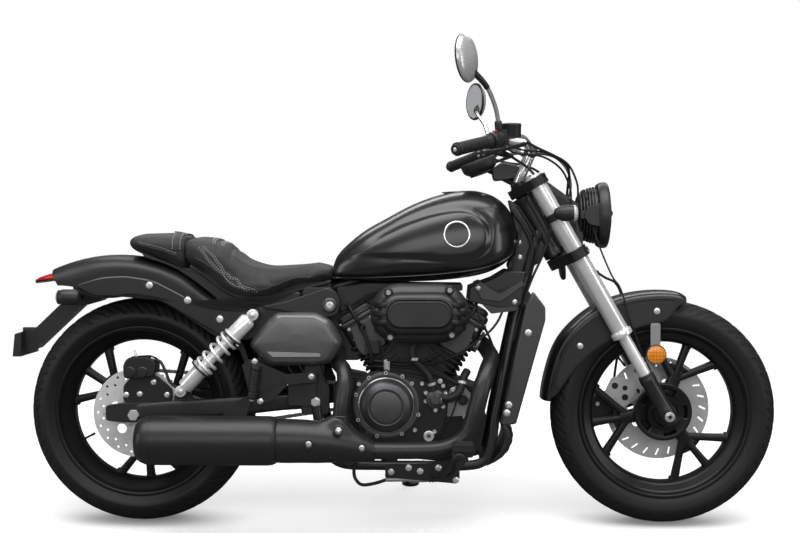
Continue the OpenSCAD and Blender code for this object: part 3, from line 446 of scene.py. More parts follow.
@dataclass(frozen=True)
class Moulded(Finish):
    """Moulded plastic or rubber: fine spark texture, faint flow marks and dust."""

    rough: float = 0.5
    grain: float = 1300.0
    depth: float = 0.2
    sheen: float = 0.0

    def build(self, g: Graph) -> None:
        """Noise and cells make the texture, wide noise the flow marks.

        Args:
            g: the material's node graph.
        """
        flow = g.noise(9.0, 4.0, 0.6)
        grain = g.noise(self.grain, 3.0, 0.6)
        pits = g.cells(self.grain * 0.7)
        g.set(Base_Color=g.mix((flow * 0.5 + grain * 0.35 + pits * 0.15).clamp(), shade(self.colour, 0.78),
                               shade(self.colour, 1.3)),
              Roughness=(self.rough + (flow - 0.5) * 0.14 + (grain - 0.5) * 0.12).clamp(),
              Sheen_Weight=self.sheen)
        g.bump(grain + pits * 0.5, self.depth, 0.0003)


@dataclass(frozen=True)
class Tread(Finish):
    """Tyre rubber: dull, a little browner and dustier on the tread, mould lines on the wall."""

    axle: tuple = (0.0, 0.0, 0.0)

    def build(self, g: Graph) -> None:
        """Distance from the axle tells tread from wall; rings on the wall, dust on the tread.

        Args:
            g: the material's node graph.
        """
        centre = tuple(float(v) for v in parked(np.array(self.axle)))
        across = tuple(float(v) for v in turned(np.array([0.0, 1.0, 0.0])))
        local = Sock(g, g.add("ShaderNodeVectorMath", {"operation": "SUBTRACT"},
                              {0: g.coords(), 1: centre}).outputs[0])
        side = Sock(g, g.add("ShaderNodeVectorMath", {"operation": "CROSS_PRODUCT"},
                             {0: local, 1: across}).outputs[0])
        reach = Sock(g, g.add("ShaderNodeVectorMath", {"operation": "LENGTH"}, {0: side}).outputs["Value"])
        top = reach.step(0.262, 0.296)
        wall = (reach * 1900.0).sin() * (1.0 - top)
        dust = g.noise(120.0, 5.0, 0.65)
        fine = g.noise(1500.0, 3.0)
        g.set(Base_Color=g.mix((top * 0.5 + dust * 0.5).clamp(), self.colour, shade(self.colour, 1.9)),
              Roughness=(0.52 + top * 0.16 + (dust - 0.5) * 0.16).clamp(), Specular_IOR_Level=0.4)
        g.bump(fine * 0.5 + wall * 0.3 + dust * 0.2, 0.3, 0.0005)


@dataclass(frozen=True)
class Hide(Finish):
    """Leather-like seat cover: pebbled grain with creases and a soft sheen."""

    pebble: float = 620.0

    def build(self, g: Graph) -> None:
        """Cell borders warped by noise make the grain; wide noise the polish of use.

        Args:
            g: the material's node graph.
        """
        warp = Sock(g, g.add("ShaderNodeVectorMath", {"operation": "ADD"},
                             {0: g.coords(), 1: Sock(g, g.add("ShaderNodeVectorMath", {"operation": "SCALE"},
                                                              {0: Sock(g, g.add("ShaderNodeTexNoise", None,
                {"Vector": g.coords(), "Scale": 300.0}).outputs[1]),
                                                               "Scale": 0.0012}).outputs[0])}).outputs[0])
        pebble = g.cells(self.pebble, "DISTANCE_TO_EDGE", warp).step(0.0, 0.22)
        small = g.cells(self.pebble * 2.3, "DISTANCE_TO_EDGE", warp).step(0.0, 0.3)
        use = g.noise(7.0, 3.0)
        g.set(Base_Color=g.mix((pebble * 0.6 + use * 0.4).clamp(), shade(self.colour, 0.6),
                               shade(self.colour, 1.25)),
              Roughness=(0.62 - pebble * 0.12 + (use - 0.5) * 0.2).clamp(), Specular_IOR_Level=0.45,
              Sheen_Weight=0.08, Sheen_Roughness=0.5)
        g.bump(pebble + small * 0.35 + g.noise(60.0, 3.0) * 0.8, 0.32, 0.0005)


@dataclass(frozen=True)
class Lens(Finish):
    """Clear or coloured lens plastic with moulded flutes behind a smooth face."""

    clear: float = 0.0
    flute: float = 700.0
    glow: float = 0.0

    def build(self, g: Graph) -> None:
        """Crossed waves make the prisms that show in the lens.

        Args:
            g: the material's node graph.
        """
        x, y, z = g.split(g.coords())
        prism = (x * self.flute).sin() * 0.5 + (z * self.flute).sin() * 0.5
        tint = g.noise(30.0, 2.0)
        g.set(Base_Color=g.mix((prism * 0.35 + 0.4 + tint * 0.2).clamp(), shade(self.colour, 0.55),
                               shade(self.colour, 1.25)), Roughness=(0.1 + prism.abs() * 0.06).clamp(),
              Coat_Weight=0.6, Coat_Roughness=0.03, Transmission_Weight=self.clear, IOR=1.49)
        g.bump(prism + y * 0.0, 0.25, 0.0006)


@dataclass(frozen=True)
class Pane(Finish):
    """Flat clear glass or a mirror's face."""

    mirror: bool = False

    def build(self, g: Graph) -> None:
        """A mirror is bright metal with a trace of dust; glass lets light through.

        Args:
            g: the material's node graph.
        """
        dust = g.noise(160.0, 4.0, 0.7)
        g.set(Base_Color=g.mix(dust, shade(self.colour, 0.97), self.colour),
              Roughness=(0.03 + dust * 0.012).clamp(), Metallic=0.4 if self.mirror else 0.0,
              Transmission_Weight=0.0 if self.mirror else 1.0, IOR=1.5, Coat_Weight=0.5, Coat_Roughness=0.02)


@dataclass(frozen=True)
class Thread(Finish):
    """Twisted sewing thread."""

    def build(self, g: Graph) -> None:
        """Fine noise stands for the twist.

        Args:
            g: the material's node graph.
        """
        twist = g.noise(2500.0, 2.0)
        g.set(Base_Color=g.mix(twist, shade(self.colour, 0.7), shade(self.colour, 1.15)),
              Roughness=(0.7 + twist * 0.15).clamp(), Sheen_Weight=0.2)
        g.bump(twist, 0.4, 0.0003)


GLOSS = Paint("gloss_black_paint", "gloss_black", rgb(0.005, 0.005, 0.0054), rough=0.34, coat=0.6,
              coat_rough=0.17, peel=0.02)
FENDER_PAINT = Paint("fender_paint", "gloss_black", rgb(0.006, 0.006, 0.0064), rough=0.36, coat=0.4,
                     coat_rough=0.2, peel=0.03)
TAIL_PAINT = Paint("tail_paint", "gloss_black", rgb(0.004, 0.004, 0.0043), rough=0.5, coat=0.12,
                   coat_rough=0.26, peel=0.03)
SATIN_FRAME = Paint("satin_frame_paint", "frame_black", rgb(0.011, 0.011, 0.0115), rough=0.4, coat=0.25,
                    coat_rough=0.25, peel=0.12)
PIPE_BLACK = Paint("heat_proof_black", "exhaust_black", rgb(0.02, 0.02, 0.021), rough=0.42, coat=0.2,
                   coat_rough=0.3, peel=0.12, metallic=0.35)
COVER_METAL = Paint("cover_paint", "grey_plastic", rgb(0.12, 0.12, 0.122), rough=0.36, coat=0.3,
                    coat_rough=0.22, peel=0.04, metallic=0.6)
ENGINE_BLACK = Cast("coated_casting", "engine_black", rgb(0.026, 0.026, 0.0275), rough=0.4, metallic=0.5)
ENGINE_GREY = Cast("grey_casting", "engine_black", rgb(0.1, 0.1, 0.104), rough=0.4, metallic=0.7)
RIM_BLACK = Cast("coated_wheel", "cast_wheel", rgb(0.014, 0.014, 0.0148), rough=0.33, metallic=0.4,
                 depth=0.12)
CHROME = Plated("bright_plate", "chrome", rgb(0.86, 0.87, 0.88), rough=0.13, metallic=0.8)
MIRROR_SHELL = Plated("mirror_plate", "chrome", rgb(0.6, 0.6, 0.6), rough=0.26, smudge=0.03, metallic=0.45)
FORK_CHROME = Plated("fork_plate", "chrome", rgb(0.93, 0.93, 0.93), rough=0.27, smudge=0.02, metallic=0.5)
BOLT = Plated("zinc_bolt", "steel", rgb(0.76, 0.76, 0.76), rough=0.28, smudge=0.1, metallic=0.7)
STEEL = Plated("bare_steel", "steel", rgb(0.5, 0.5, 0.51), rough=0.32, smudge=0.12, metallic=0.8)
SATIN = Moulded("satin_black_moulding", "satin_plastic", rgb(0.016, 0.016, 0.0168), rough=0.42)
DARK_GREY = Moulded("dark_grey_moulding", "grey_plastic", rgb(0.05, 0.05, 0.052), rough=0.36, depth=0.12)
TRIM_GREY = Moulded("pale_trim", "grey_plastic", rgb(0.25, 0.25, 0.25), rough=0.42, depth=0.1)
RUBBER = Moulded("black_rubber", "rubber", rgb(0.01, 0.01, 0.01), rough=0.6, grain=900.0, depth=0.3)
HIDE = Hide("seat_cover", "leather", rgb(0.015, 0.015, 0.0154))
THREAD = Thread("seat_thread", "leather", rgb(0.42, 0.42, 0.41))
RED_LENS = Lens("red_lens", "red_lens", rgb(0.55, 0.012, 0.012))
AMBER = Lens("amber_reflector", "red_lens", rgb(0.9, 0.26, 0.02))
SMOKE_LENS = Lens("smoked_lens", "satin_plastic", rgb(0.09, 0.09, 0.09), flute=900.0)
GREY_LENS = Lens("grey_lens", "satin_plastic", rgb(0.3, 0.3, 0.3), flute=900.0)
PALE_LENS = Lens("pale_lens", "satin_plastic", rgb(0.62, 0.62, 0.6), flute=900.0)
LAMP_GLASS = Pane("lamp_glass", "satin_plastic", rgb(0.95, 0.96, 0.97))
MIRROR = Pane("mirror_face", "chrome", rgb(0.85, 0.87, 0.88), mirror=True)
RED_SWITCH = Moulded("red_switch", "red_lens", rgb(0.6, 0.03, 0.02), rough=0.4)


# ---------------------------------------------------------------- surfaces


@dataclass
class Surf:
    """A mesh in the making: vertices in the bike frame and faces, with optional UVs per vertex."""

    verts: Array
    quads: Array = field(default_factory=lambda: np.zeros((0, 4), int))
    tris: Array = field(default_factory=lambda: np.zeros((0, 3), int))

    def __add__(self, other: "Surf") -> "Surf":
        """Two surfaces as one.

        Args:
            other: the second surface.
        Returns:
            The joined surface.
        """
        n = len(self.verts)
        return Surf(np.vstack([self.verts, other.verts]), np.vstack([self.quads, other.quads + n]),
                    np.vstack([self.tris, other.tris + n]))

    def moved(self, matrix: Array, offset: Array = np.zeros(3)) -> "Surf":
        """The surface under a linear map and a shift.

        Args:
            matrix: a 3 by 3 linear map.
            offset: the shift.
        Returns:
            The moved surface.
        """
        flip = np.linalg.det(matrix) < 0
        return Surf(self.verts @ np.asarray(matrix).T + offset, self.quads[:, ::-1] if flip else self.quads,
                    self.tris[:, ::-1] if flip else self.tris)

    def shifted(self, offset: Sequence[float]) -> "Surf":
        """The same surface moved by an offset."""
        return Surf(self.verts + np.asarray(offset, float), self.quads, self.tris)

    def mirrored(self) -> "Surf":
        """The surface on the other side of the bike."""
        return self.moved(np.diag([1.0, -1.0, 1.0]))

    def both(self) -> "Surf":
        """The surface and its mirror image."""
        return self + self.mirrored()

    def steered(self) -> "Surf":
        """From the steering axis's frame into the bike frame."""
        return Surf(steer(self.verts), self.quads, self.tris)


def union(parts: Iterable[Surf]) -> Surf:
    """Many surfaces as one, in one pass.

    Args:
        parts: the surfaces to join.
    Returns:
        One surface.
    """
    parts = list(parts)
    starts = np.cumsum([0] + [len(p.verts) for p in parts[:-1]])
    return Surf(np.vstack([p.verts for p in parts]),
                np.vstack([p.quads + s for p, s in zip(parts, starts)]),
                np.vstack([p.tris + s for p, s in zip(parts, starts)]))


def unit(vectors: Array) -> Array:
    """Vectors at length one."""
    v = np.asarray(vectors, float)
    return v / np.maximum(np.linalg.norm(v, axis=-1, keepdims=True), 1e-12)


def basis(normal: Sequence[float], hint: Sequence[float] = (0.0, 0.0, 1.0)) -> Array:
    """A right-handed basis in columns whose third is the normal and whose first leans to the hint.

    Args:
        normal: the third direction.
        hint: a direction that the side or first column keeps near.
    Returns:
        A 3 by 3 matrix with the directions in its columns.
    """
    n = unit(np.array(normal, float))
    h = np.array(hint, float)
    if abs(float(n @ unit(h))) > 0.98:
        h = np.array([1.0, 0.0, 0.0]) if abs(n[0]) < 0.9 else np.array([0.0, 1.0, 0.0])
    u = unit(h - n * float(h @ n))
    return np.stack([u, np.cross(n, u), n], axis=1)


def grid_quads(rows: int, cols: int, wrap_rows: bool = False, wrap_cols: bool = False) -> Array:
    """Faces of a rows by cols grid of vertices, joined up where it wraps.

    Args:
        rows: number of rows.
        cols: vertices in a row.
        wrap_rows: whether the last row joins the first.
        wrap_cols: whether each row closes on itself.
    Returns:
        Rows of four vertex numbers.
    """
    i = np.arange(rows if wrap_rows else rows - 1)
    j = np.arange(cols if wrap_cols else cols - 1)
    a, b = np.meshgrid(i, j, indexing="ij")
    a2, b2 = (a + 1) % rows, (b + 1) % cols
    return np.stack([a * cols + b, a * cols + b2, a2 * cols + b2, a2 * cols + b], axis=-1).reshape(-1, 4)


def sheet(points: Array, wrap_rows: bool = False, wrap_cols: bool = False) -> Surf:
    """A grid of points as a surface; (row step) x (column step) points into it."""
    rows, cols = points.shape[:2]
    return Surf(points.reshape(-1, 3), grid_quads(rows, cols, wrap_rows, wrap_cols)[:, ::-1])


def outward(surf: Surf) -> Surf:
    """Turns a closed surface's faces so its volume is positive.

    Args:
        surf: the closed surface.
    Returns:
        The surface with its faces outward.
    """
    t = np.vstack([surf.tris, surf.quads[:, [0, 1, 2]], surf.quads[:, [0, 2, 3]]])
    p = surf.verts - surf.verts.mean(axis=0)
    volume = np.einsum("ij,ij->i", p[t[:, 0]], np.cross(p[t[:, 1]], p[t[:, 2]])).sum()
    return surf if volume > 0 else Surf(surf.verts, surf.quads[:, ::-1], surf.tris[:, ::-1])


def closed(rings: Array) -> Surf:
    """A tube through rings of points with fans over both ends, each from its ring's middle.

    Args:
        rings: rings of points.
    Returns:
        The closed surface.
    """
    k, m = rings.shape[:2]
    verts = np.vstack([rings.reshape(-1, 3), rings[0].mean(0), rings[-1].mean(0)])
    j = np.arange(m)
    a = np.stack([np.full(m, k * m), j, (j + 1) % m], axis=1)
    b = np.stack([np.full(m, k * m + 1), (k - 1) * m + (j + 1) % m, (k - 1) * m + j], axis=1)
    return outward(Surf(verts, grid_quads(k, m, False, True), np.vstack([a, b])))


def frames(path: Array, hint: Sequence[float]) -> tuple:
    """Side and up directions along a path, square to it, kept near a hint direction.

    Args:
        path: points of the middle line.
        hint: a direction that the side or first column keeps near.
    Returns:
        Two arrays of directions, side and up.
    """
    t = unit(np.gradient(path, axis=0))
    h = np.asarray(hint, float)
    u = unit(h - t * (t @ h)[:, None])
    return u, np.cross(t, u)


def sweep(path: Array, radius: Union[float, Array], sides: int = 20, hint: Sequence[float] = (0.13, 1.0,
        0.21), flat: float = 1.0) -> Surf:
    """A round or oval bar along a path: centre + r(cos a side + flat sin a up), closed at both ends.

    Args:
        path: points of the middle line.
        radius: radius of the section.
        sides: vertices in a ring.
        hint: a direction that the side or first column keeps near.
        flat: height of the section over its width.
    Returns:
        The closed surface.
    """
    u, v = frames(path, hint)
    a = np.linspace(0, 2 * np.pi, sides, endpoint=False)
    r = np.broadcast_to(np.asarray(radius, float), (len(path),))[:, None, None]
    ring = np.cos(a)[None, :, None] * u[:, None] + flat * np.sin(a)[None, :, None] * v[:, None]
    return closed(path[:, None] + r * ring)


def smooth(points: Sequence, steps: int = 8) -> Array:
    """Catmull-Rom curve through points of any dimension, ends included.

    Args:
        points: points that the curve passes.
        steps: points on each stretch or corner.
    Returns:
        Points of the curve.
    """
    p = np.asarray(points, float)
    p = np.vstack([2 * p[0] - p[1], p, 2 * p[-1] - p[-2]])
    t = np.linspace(0, 1, steps, endpoint=False)[:, None]
    a, b, c, d = p[:-3, None], p[1:-2, None], p[2:-1, None], p[3:, None]
    q = 0.5 * (2 * b + (c - a) * t + (2 * a - 5 * b + 4 * c - d) * t ** 2 + (3 * b - a - 3 * c + d) * t ** 3)
    return np.vstack([q.reshape(-1, p.shape[1]), p[-2]])


def even(path: Array, count: int) -> Array:
    """A path sampled anew at even arc length.

    Args:
        path: points of the middle line.
        count: how many points.
    Returns:
        The new points.
    """
    s = np.concatenate([[0], np.cumsum(np.linalg.norm(np.diff(path, axis=0), axis=1))])
    t = np.linspace(0, s[-1], count)
    return np.stack([np.interp(t, s, path[:, i]) for i in range(path.shape[1])], axis=1)


def hose(points: Sequence, radius: float, sides: int = 14, steps: int = 8) -> Surf:
    """A round hose or cable through points."""
    return sweep(smooth(points, steps), radius, sides)


def lathe(profile: Sequence, centre: Sequence[float], axis: Sequence[float], sides: int = 48) -> Surf:
    """A solid of revolution: profile rows are (radius, height along the axis), poles closed.

    Args:
        profile: rows of (radius, height along the axis).
        centre: where the height is 0.
        axis: direction of the axis.
        sides: vertices in a ring.
    Returns:
        The closed surface.
    """
    pr = np.asarray(profile, float)
    b = basis(axis)
    a = np.linspace(0, 2 * np.pi, sides, endpoint=False)
    r = np.maximum(pr[:, 0], 0.01)[:, None, None]
    ring = np.cos(a)[None, :, None] * b[:, 0] + np.sin(a)[None, :, None] * b[:, 1]
    return closed(np.asarray(centre, float) + r * ring + pr[:, 1][:, None, None] * b[:, 2])


def ringed(profile: Sequence, centre: Sequence[float], axis: Sequence[float], sides: int = 72) -> Surf:
    """A ring turned about an axis: the closed profile of (radius, height) never reaches the axis.

    Args:
        profile: rows of (radius, height along the axis).
        centre: where the height is 0.
        axis: direction of the axis.
        sides: vertices in a ring.
    Returns:
        The closed ring.
    """
    pr = np.asarray(profile, float)
    b = basis(axis)
    a = np.linspace(0, 2 * np.pi, sides, endpoint=False)
    ring = np.cos(a)[:, None, None] * b[:, 0] + np.sin(a)[:, None, None] * b[:, 1]
    pts = np.asarray(centre, float) + pr[None, :, 0, None] * ring + pr[None, :, 1, None] * b[:, 2]
    return outward(sheet(pts, True, True))


def area(outline: Array) -> float:
    """Signed area of a flat outline."""
    x, y = outline[:, 0], outline[:, 1]
    return 0.5 * float(np.sum(x * np.roll(y, -1) - np.roll(x, -1) * y))


def inset(outline: Array, amount: float) -> Array:
    """An outline moved inward by an amount, along the mean of the neighbouring edge normals.

    Args:
        outline: points of the closed outline.
        amount: distance inward.
    Returns:
        The moved outline.
    """
    e = unit(np.roll(outline, -1, axis=0) - outline)
    n = np.stack([-e[:, 1], e[:, 0]], axis=1) * (1 if area(outline) > 0 else -1)
    m = unit(n + np.roll(n, 1, axis=0))
    k = np.clip(np.einsum("ij,ij->i", m, n), 0.5, 1.0)[:, None]
    return outline + m / k * amount


def slab(outline: Sequence, low: float, high: float, bevel: float = 1.0, place: Optional[Array] = None,
         origin: Sequence[float] = (0.0, 0.0, 0.0), crown: float = 0.0, inner: float = 0.0) -> Surf:
    """A plate with a flat outline, thick from low to high, with rounded edges on both faces.

    Args:
        outline: points (a, b) in the plate's own plane.
        low: height of the lower face along the plate's normal.
        high: height of the upper face.
        bevel: radius of the rounded edges.
        place: columns a, b and normal; the side view (X, Z, -Y) when missing.
        origin: where a = b = height = 0 lies.
        crown: extra height of the upper face's middle.
        inner: inset of a first flat step below the crown.
    Returns:
        The closed surface, its faces fanned from the outline's middle.
    """
    o = np.asarray(outline, float)
    if area(o) < 0:
        o = o[::-1]
    m = np.array([[1, 0, 0], [0, 0, -1], [0, 1, 0]], float) if place is None else place
    cuts = [(bevel, low), (bevel * 0.3, low + bevel * 0.3), (0.0, low + bevel), (0.0, high - bevel),
            (bevel * 0.3, high - bevel * 0.3), (bevel, high)]
    if inner > 0:
        cuts += [(inner, high), (inner + bevel, high + crown)]
    rings = np.stack([np.column_stack([inset(o, d) if d else o, np.full(len(o), h)]) for d, h in cuts])
    return closed(rings @ m.T + np.asarray(origin, float))


def rounded(points: Sequence, radius: float, steps: int = 5) -> Array:
    """A polygon with its corners rounded by quadratic arcs.

    Args:
        points: corners of the polygon, in order.
        radius: radius of the corners.
        steps: points on each stretch or corner.
    Returns:
        The outline with round corners.
    """
    p = np.asarray(points, float)
    a, b = np.roll(p, 1, axis=0), np.roll(p, -1, axis=0)
    da, db = a - p, b - p
    la, lb = np.linalg.norm(da, axis=1, keepdims=True), np.linalg.norm(db, axis=1, keepdims=True)
    r = np.minimum(radius, np.minimum(la, lb) * 0.45)
    s, e = p + da / la * r, p + db / lb * r
    t = np.linspace(0, 1, steps)[None, :, None]
    return ((1 - t) ** 2 * s[:, None] + 2 * t * (1 - t) * p[:, None] + t ** 2 * e[:, None]).reshape(-1,
            p.shape[1])


def stadium(length: float, radius: float, steps: int = 12) -> Array:
    """A flat outline of two half circles joined by straights; length is overall.

    Args:
        length: overall length.
        radius: radius of its ends.
        steps: points on each stretch or corner.
    Returns:
        The outline's points.
    """
    a = np.linspace(-np.pi / 2, np.pi / 2, steps)
    h = length / 2 - radius
    right = np.stack([h + radius * np.cos(a), radius * np.sin(a)], axis=1)
    return np.vstack([right, -right])


def circle(radius: float, steps: int = 32, centre: Sequence[float] = (0.0, 0.0)) -> Array:
    """A flat circle."""
    a = np.linspace(0, 2 * np.pi, steps, endpoint=False)
    return np.stack([np.cos(a), np.sin(a)], axis=1) * radius + np.asarray(centre, float)


class Head(Enum):
    """Kinds of fastener head."""

    HEX = "hex"
    SOCKET = "socket"
    DOME = "dome"


def bolts(places: Sequence, axis: Sequence[float], radius: float = 5.0, height: float = 4.0,
          head: Head = Head.HEX) -> Surf:
    """Fastener heads at places, all facing one way.

    Args:
        places: the middle of each head's seat.
        axis: the way the heads face.
        radius: head radius.
        height: head height.
        head: kind of head.
    Returns:
        All heads as one surface, from one head repeated by broadcasting.
    """
    sides = {Head.HEX: 6, Head.SOCKET: 14, Head.DOME: 14}[head]
    rows = {Head.HEX: [(1.22, 0.0), (1.22, 0.16), (1.0, 0.2), (1.0, 0.86), (0.88, 1.0), (0.01, 1.0)],
            Head.SOCKET: [(1.0, -0.1), (1.0, 0.84), (0.9, 1.0), (0.52, 1.0), (0.5, 0.35), (0.01, 0.35)],
            Head.DOME: [(1.15, -0.1), (1.15, 0.1), (0.9, 0.5), (0.6, 0.72), (0.4, 0.74), (0.36, 0.4),
                        (0.01, 0.4)]}[head]
    pr = np.array(rows) * np.array([radius, height])
    one = lathe(pr, (0, 0, 0), axis, sides)
    where = np.atleast_2d(np.asarray(places, float))
    n, k = len(one.verts), len(where)
    verts = (where[:, None] + one.verts[None]).reshape(-1, 3)
    shift = (np.arange(k) * n)[:, None, None]
    return Surf(verts, (one.quads[None] + shift).reshape(-1, 4), (one.tris[None] + shift).reshape(-1, 3))


def coil(a: Sequence[float], b: Sequence[float], radius: float, wire: float, turns: float,
         sides: int = 12) -> Surf:
    """A spring from a to b: a helix whose end turns close up, with a round wire along it.

    Args:
        a: the first end.
        b: the second end.
        radius: radius of the coil's middle line.
        wire: radius of the wire.
        turns: number of turns.
        sides: vertices in a ring.
    Returns:
        The closed surface.
    """
    a, b = np.asarray(a, float), np.asarray(b, float)
    n = int(turns * 28)
    t = np.linspace(0, 1, n)
    rise = t - 0.42 * np.sin(2 * np.pi * t) / (2 * np.pi)
    m = basis(b - a)
    angle = 2 * np.pi * turns * t
    path = a + rise[:, None] * (b - a) + radius * (np.cos(angle)[:, None] * m[:, 0] + np.sin(angle)[:, None]
                                                   * m[:, 1])
    out = unit(path - (a + rise[:, None] * (b - a)))
    tangent = unit(np.gradient(path, axis=0))
    up = np.cross(tangent, out)
    w = np.linspace(0, 2 * np.pi, sides, endpoint=False)
    ring = np.cos(w)[None, :, None] * out[:, None] + np.sin(w)[None, :, None] * up[:, None]
    return closed(path[:, None] + wire * ring)


def stitches(path: Array, normal: Array, length: float = 5.0, gap: float = 2.2, radius: float = 0.9) -> Surf:
    """Thread stitches along a path: short bent capsules that dip into the cover at both ends.

    Args:
        path: points of the middle line.
        normal: the cover's normals along the path.
        length: length of one stitch.
        gap: space between two stitches.
        radius: radius of the thread.
    Returns:
        All stitches as one surface.
    """
    s = np.concatenate([[0], np.cumsum(np.linalg.norm(np.diff(path, axis=0), axis=1))])
    count = max(1, int(s[-1] / (length + gap)))
    starts = (np.arange(count) + 0.3) * s[-1] / count
    t = starts[:, None] + np.linspace(0, length, 5)[None]
    pts = np.stack([np.interp(t, s, path[:, i]) for i in range(3)], axis=-1)
    nrm = unit(np.stack([np.interp(t, s, normal[:, i]) for i in range(3)], axis=-1))
    lift = np.array([-0.9, 0.3, 0.7, 0.3, -0.9]) * radius
    pts = pts + nrm * lift[None, :, None]
    tangent = unit(np.gradient(pts, axis=1))
    side = unit(np.cross(nrm, tangent))
    up = np.cross(tangent, side)
    r = np.array([0.45, 1.0, 1.0, 1.0, 0.45]) * radius
    a = np.linspace(0, 2 * np.pi, 6, endpoint=False)
    ring = np.cos(a)[None, None, :, None] * side[:, :, None] + np.sin(a)[None, None, :, None] * up[:, :, None]
    verts = pts[:, :, None] + r[None, :, None, None] * ring
    base = grid_quads(5, 6, False, True)
    cap = np.array([[0, 1, 2, 3], [0, 3, 4, 5]])
    faces = np.vstack([base[:, ::-1], cap[:, ::-1], cap + 24])
    quads = (faces[None] + (np.arange(count) * 30)[:, None, None]).reshape(-1, 4)
    return Surf(verts.reshape(-1, 3), quads)


# ---------------------------------------------------------------- objects


class Shop:
    """Turns surfaces into finished objects, gives them their finish and ties them to their body."""

    def __init__(self, frame: Any) -> None:
        """Keeps the loaded frame."""
        self.frame = frame
        self.count = 0

    def make(self, name: str, surf: Surf, finish: Finish, body: str = "chassis", flat: bool = False,
             bevel: float = 0.0, subdivide: int = 0, thick: float = 0.0, angle: float = 34.0,
             replaces: Sequence[str] = ()) -> bpy.types.Object:
        """Builds one object.

        Args:
            name: the piece's name.
            surf: its surface in the bike frame.
            finish: its finish.
            body: the body it moves with.
            flat: leaves the faces flat.
            bevel: width of a bevel modifier in millimetres.
            subdivide: levels of smooth subdivision.
            thick: thickness in millimetres of a solidify modifier, inward.
            angle: edges sharper than this many degrees stay sharp.
            replaces: model nodes that the piece stands for.
        Returns:
            The object, in place and riding its body.
        """
        mesh = bpy.data.meshes.new(name)
        verts = parked(surf.verts)
        loops = np.concatenate([surf.quads.ravel(), surf.tris.ravel()]).astype(np.int32)
        sizes = np.concatenate([np.full(len(surf.quads), 4), np.full(len(surf.tris), 3)]).astype(np.int32)
        mesh.vertices.add(len(verts))
        mesh.vertices.foreach_set("co", verts.ravel())
        mesh.loops.add(len(loops))
        mesh.loops.foreach_set("vertex_index", loops)
        mesh.polygons.add(len(sizes))
        mesh.polygons.foreach_set("loop_start", np.concatenate([[0], np.cumsum(sizes)[:-1]]).astype(np.int32))
        mesh.update(calc_edges=True)
        mesh.validate()
        obj = bpy.data.objects.new(name, mesh)
        bpy.context.scene.collection.objects.link(obj)
        if thick:
            mod = obj.modifiers.new("thickness", "SOLIDIFY")
            mod.thickness = thick / 1000.0
            mod.offset = -1.0
        if bevel:
            mod = obj.modifiers.new("edges", "BEVEL")
            mod.width = bevel / 1000.0
            mod.segments = 2
            mod.limit_method = "ANGLE"
            mod.angle_limit = math.radians(38)
        if subdivide:
            mod = obj.modifiers.new("smooth", "SUBSURF")
            mod.levels = mod.render_levels = subdivide
        return self.finish(obj, finish, body, flat, angle, replaces)

    def finish(self, obj: bpy.types.Object, finish: Finish, body: str, flat: bool = False,
               angle: float = 34.0, replaces: Sequence[str] = ()) -> bpy.types.Object:
        """Material, smooth shading, body and the nodes it stands for."""
        obj.data.materials.clear()
        obj.data.materials.append(finish.material())
        if not flat:
            self.shade(obj.data, angle)
        if replaces:
            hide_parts(*replaces)
        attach(obj, body)
        self.count += 1
        return obj

    @staticmethod
    def shade(mesh: bpy.types.Mesh, angle: float) -> None:
        """Smooth faces with the sharper edges marked.

        Args:
            mesh: the mesh.
            angle: edges sharper than this many degrees stay sharp.
        """
        bm = bmesh.new()
        bm.from_mesh(mesh)
        limit = math.radians(angle)
        for face in bm.faces:
            face.smooth = True
        for edge in bm.edges:
            edge.smooth = not (edge.is_manifold and edge.calc_face_angle(0.0) > limit)
        bm.to_mesh(mesh)
        bm.free()

    def node(self, name: str) -> bpy.types.Object:
        """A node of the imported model."""
        return self.frame["nodes"][name]

    def keep(self, name: str, finish: Finish) -> None:
        """Leaves a model node as it is, under a better material."""
        node = self.node(name)
        for slot in node.material_slots:
            slot.material = finish.material()

    def soften(self, name: str, finish: Finish, body: str = "chassis", bevel: float = 1.2,
               angle: float = 34.0) -> bpy.types.Object:
        """A copy of a model node with its edges rounded, standing for it.

        Args:
            name: the node.
            finish: its finish.
            body: the body it moves with.
            bevel: width of the rounding in millimetres.
            angle: edges sharper than this stay sharp in shading.
        Returns:
            The copy.
        """
        node = self.node(name)
        mesh = node.data.copy()
        mesh.name = name + "_skin"
        mesh.transform(node.matrix_world)
        bm = bmesh.new()
        bm.from_mesh(mesh)
        bmesh.ops.remove_doubles(bm, verts=bm.verts, dist=2e-5)
        bmesh.ops.dissolve_limit(bm, angle_limit=math.radians(1.5), verts=bm.verts, edges=bm.edges)
        bm.to_mesh(mesh)
        bm.free()
        obj = bpy.data.objects.new(name + "_skin", mesh)
        bpy.context.scene.collection.objects.link(obj)
        if bevel:
            mod = obj.modifiers.new("edges", "BEVEL")
            mod.width = bevel / 1000.0
            mod.segments = 2
            mod.limit_method = "ANGLE"
            mod.angle_limit = math.radians(32)
            mod.harden_normals = False
        return self.finish(obj, finish, body, False, angle, (name,))


# ---------------------------------------------------------------- wheels


def polar(radius: float, degrees: float) -> Array:
    """A point (x, z) at a radius and an angle."""
    a = math.radians(degrees)
    return np.array([radius * math.cos(a), radius * math.sin(a)])


def lobe(values: Array, power: float) -> Array:
    """Signed power: rounds or squares the corners of a cosine pair."""
    return np.sign(values) * np.abs(values) ** power


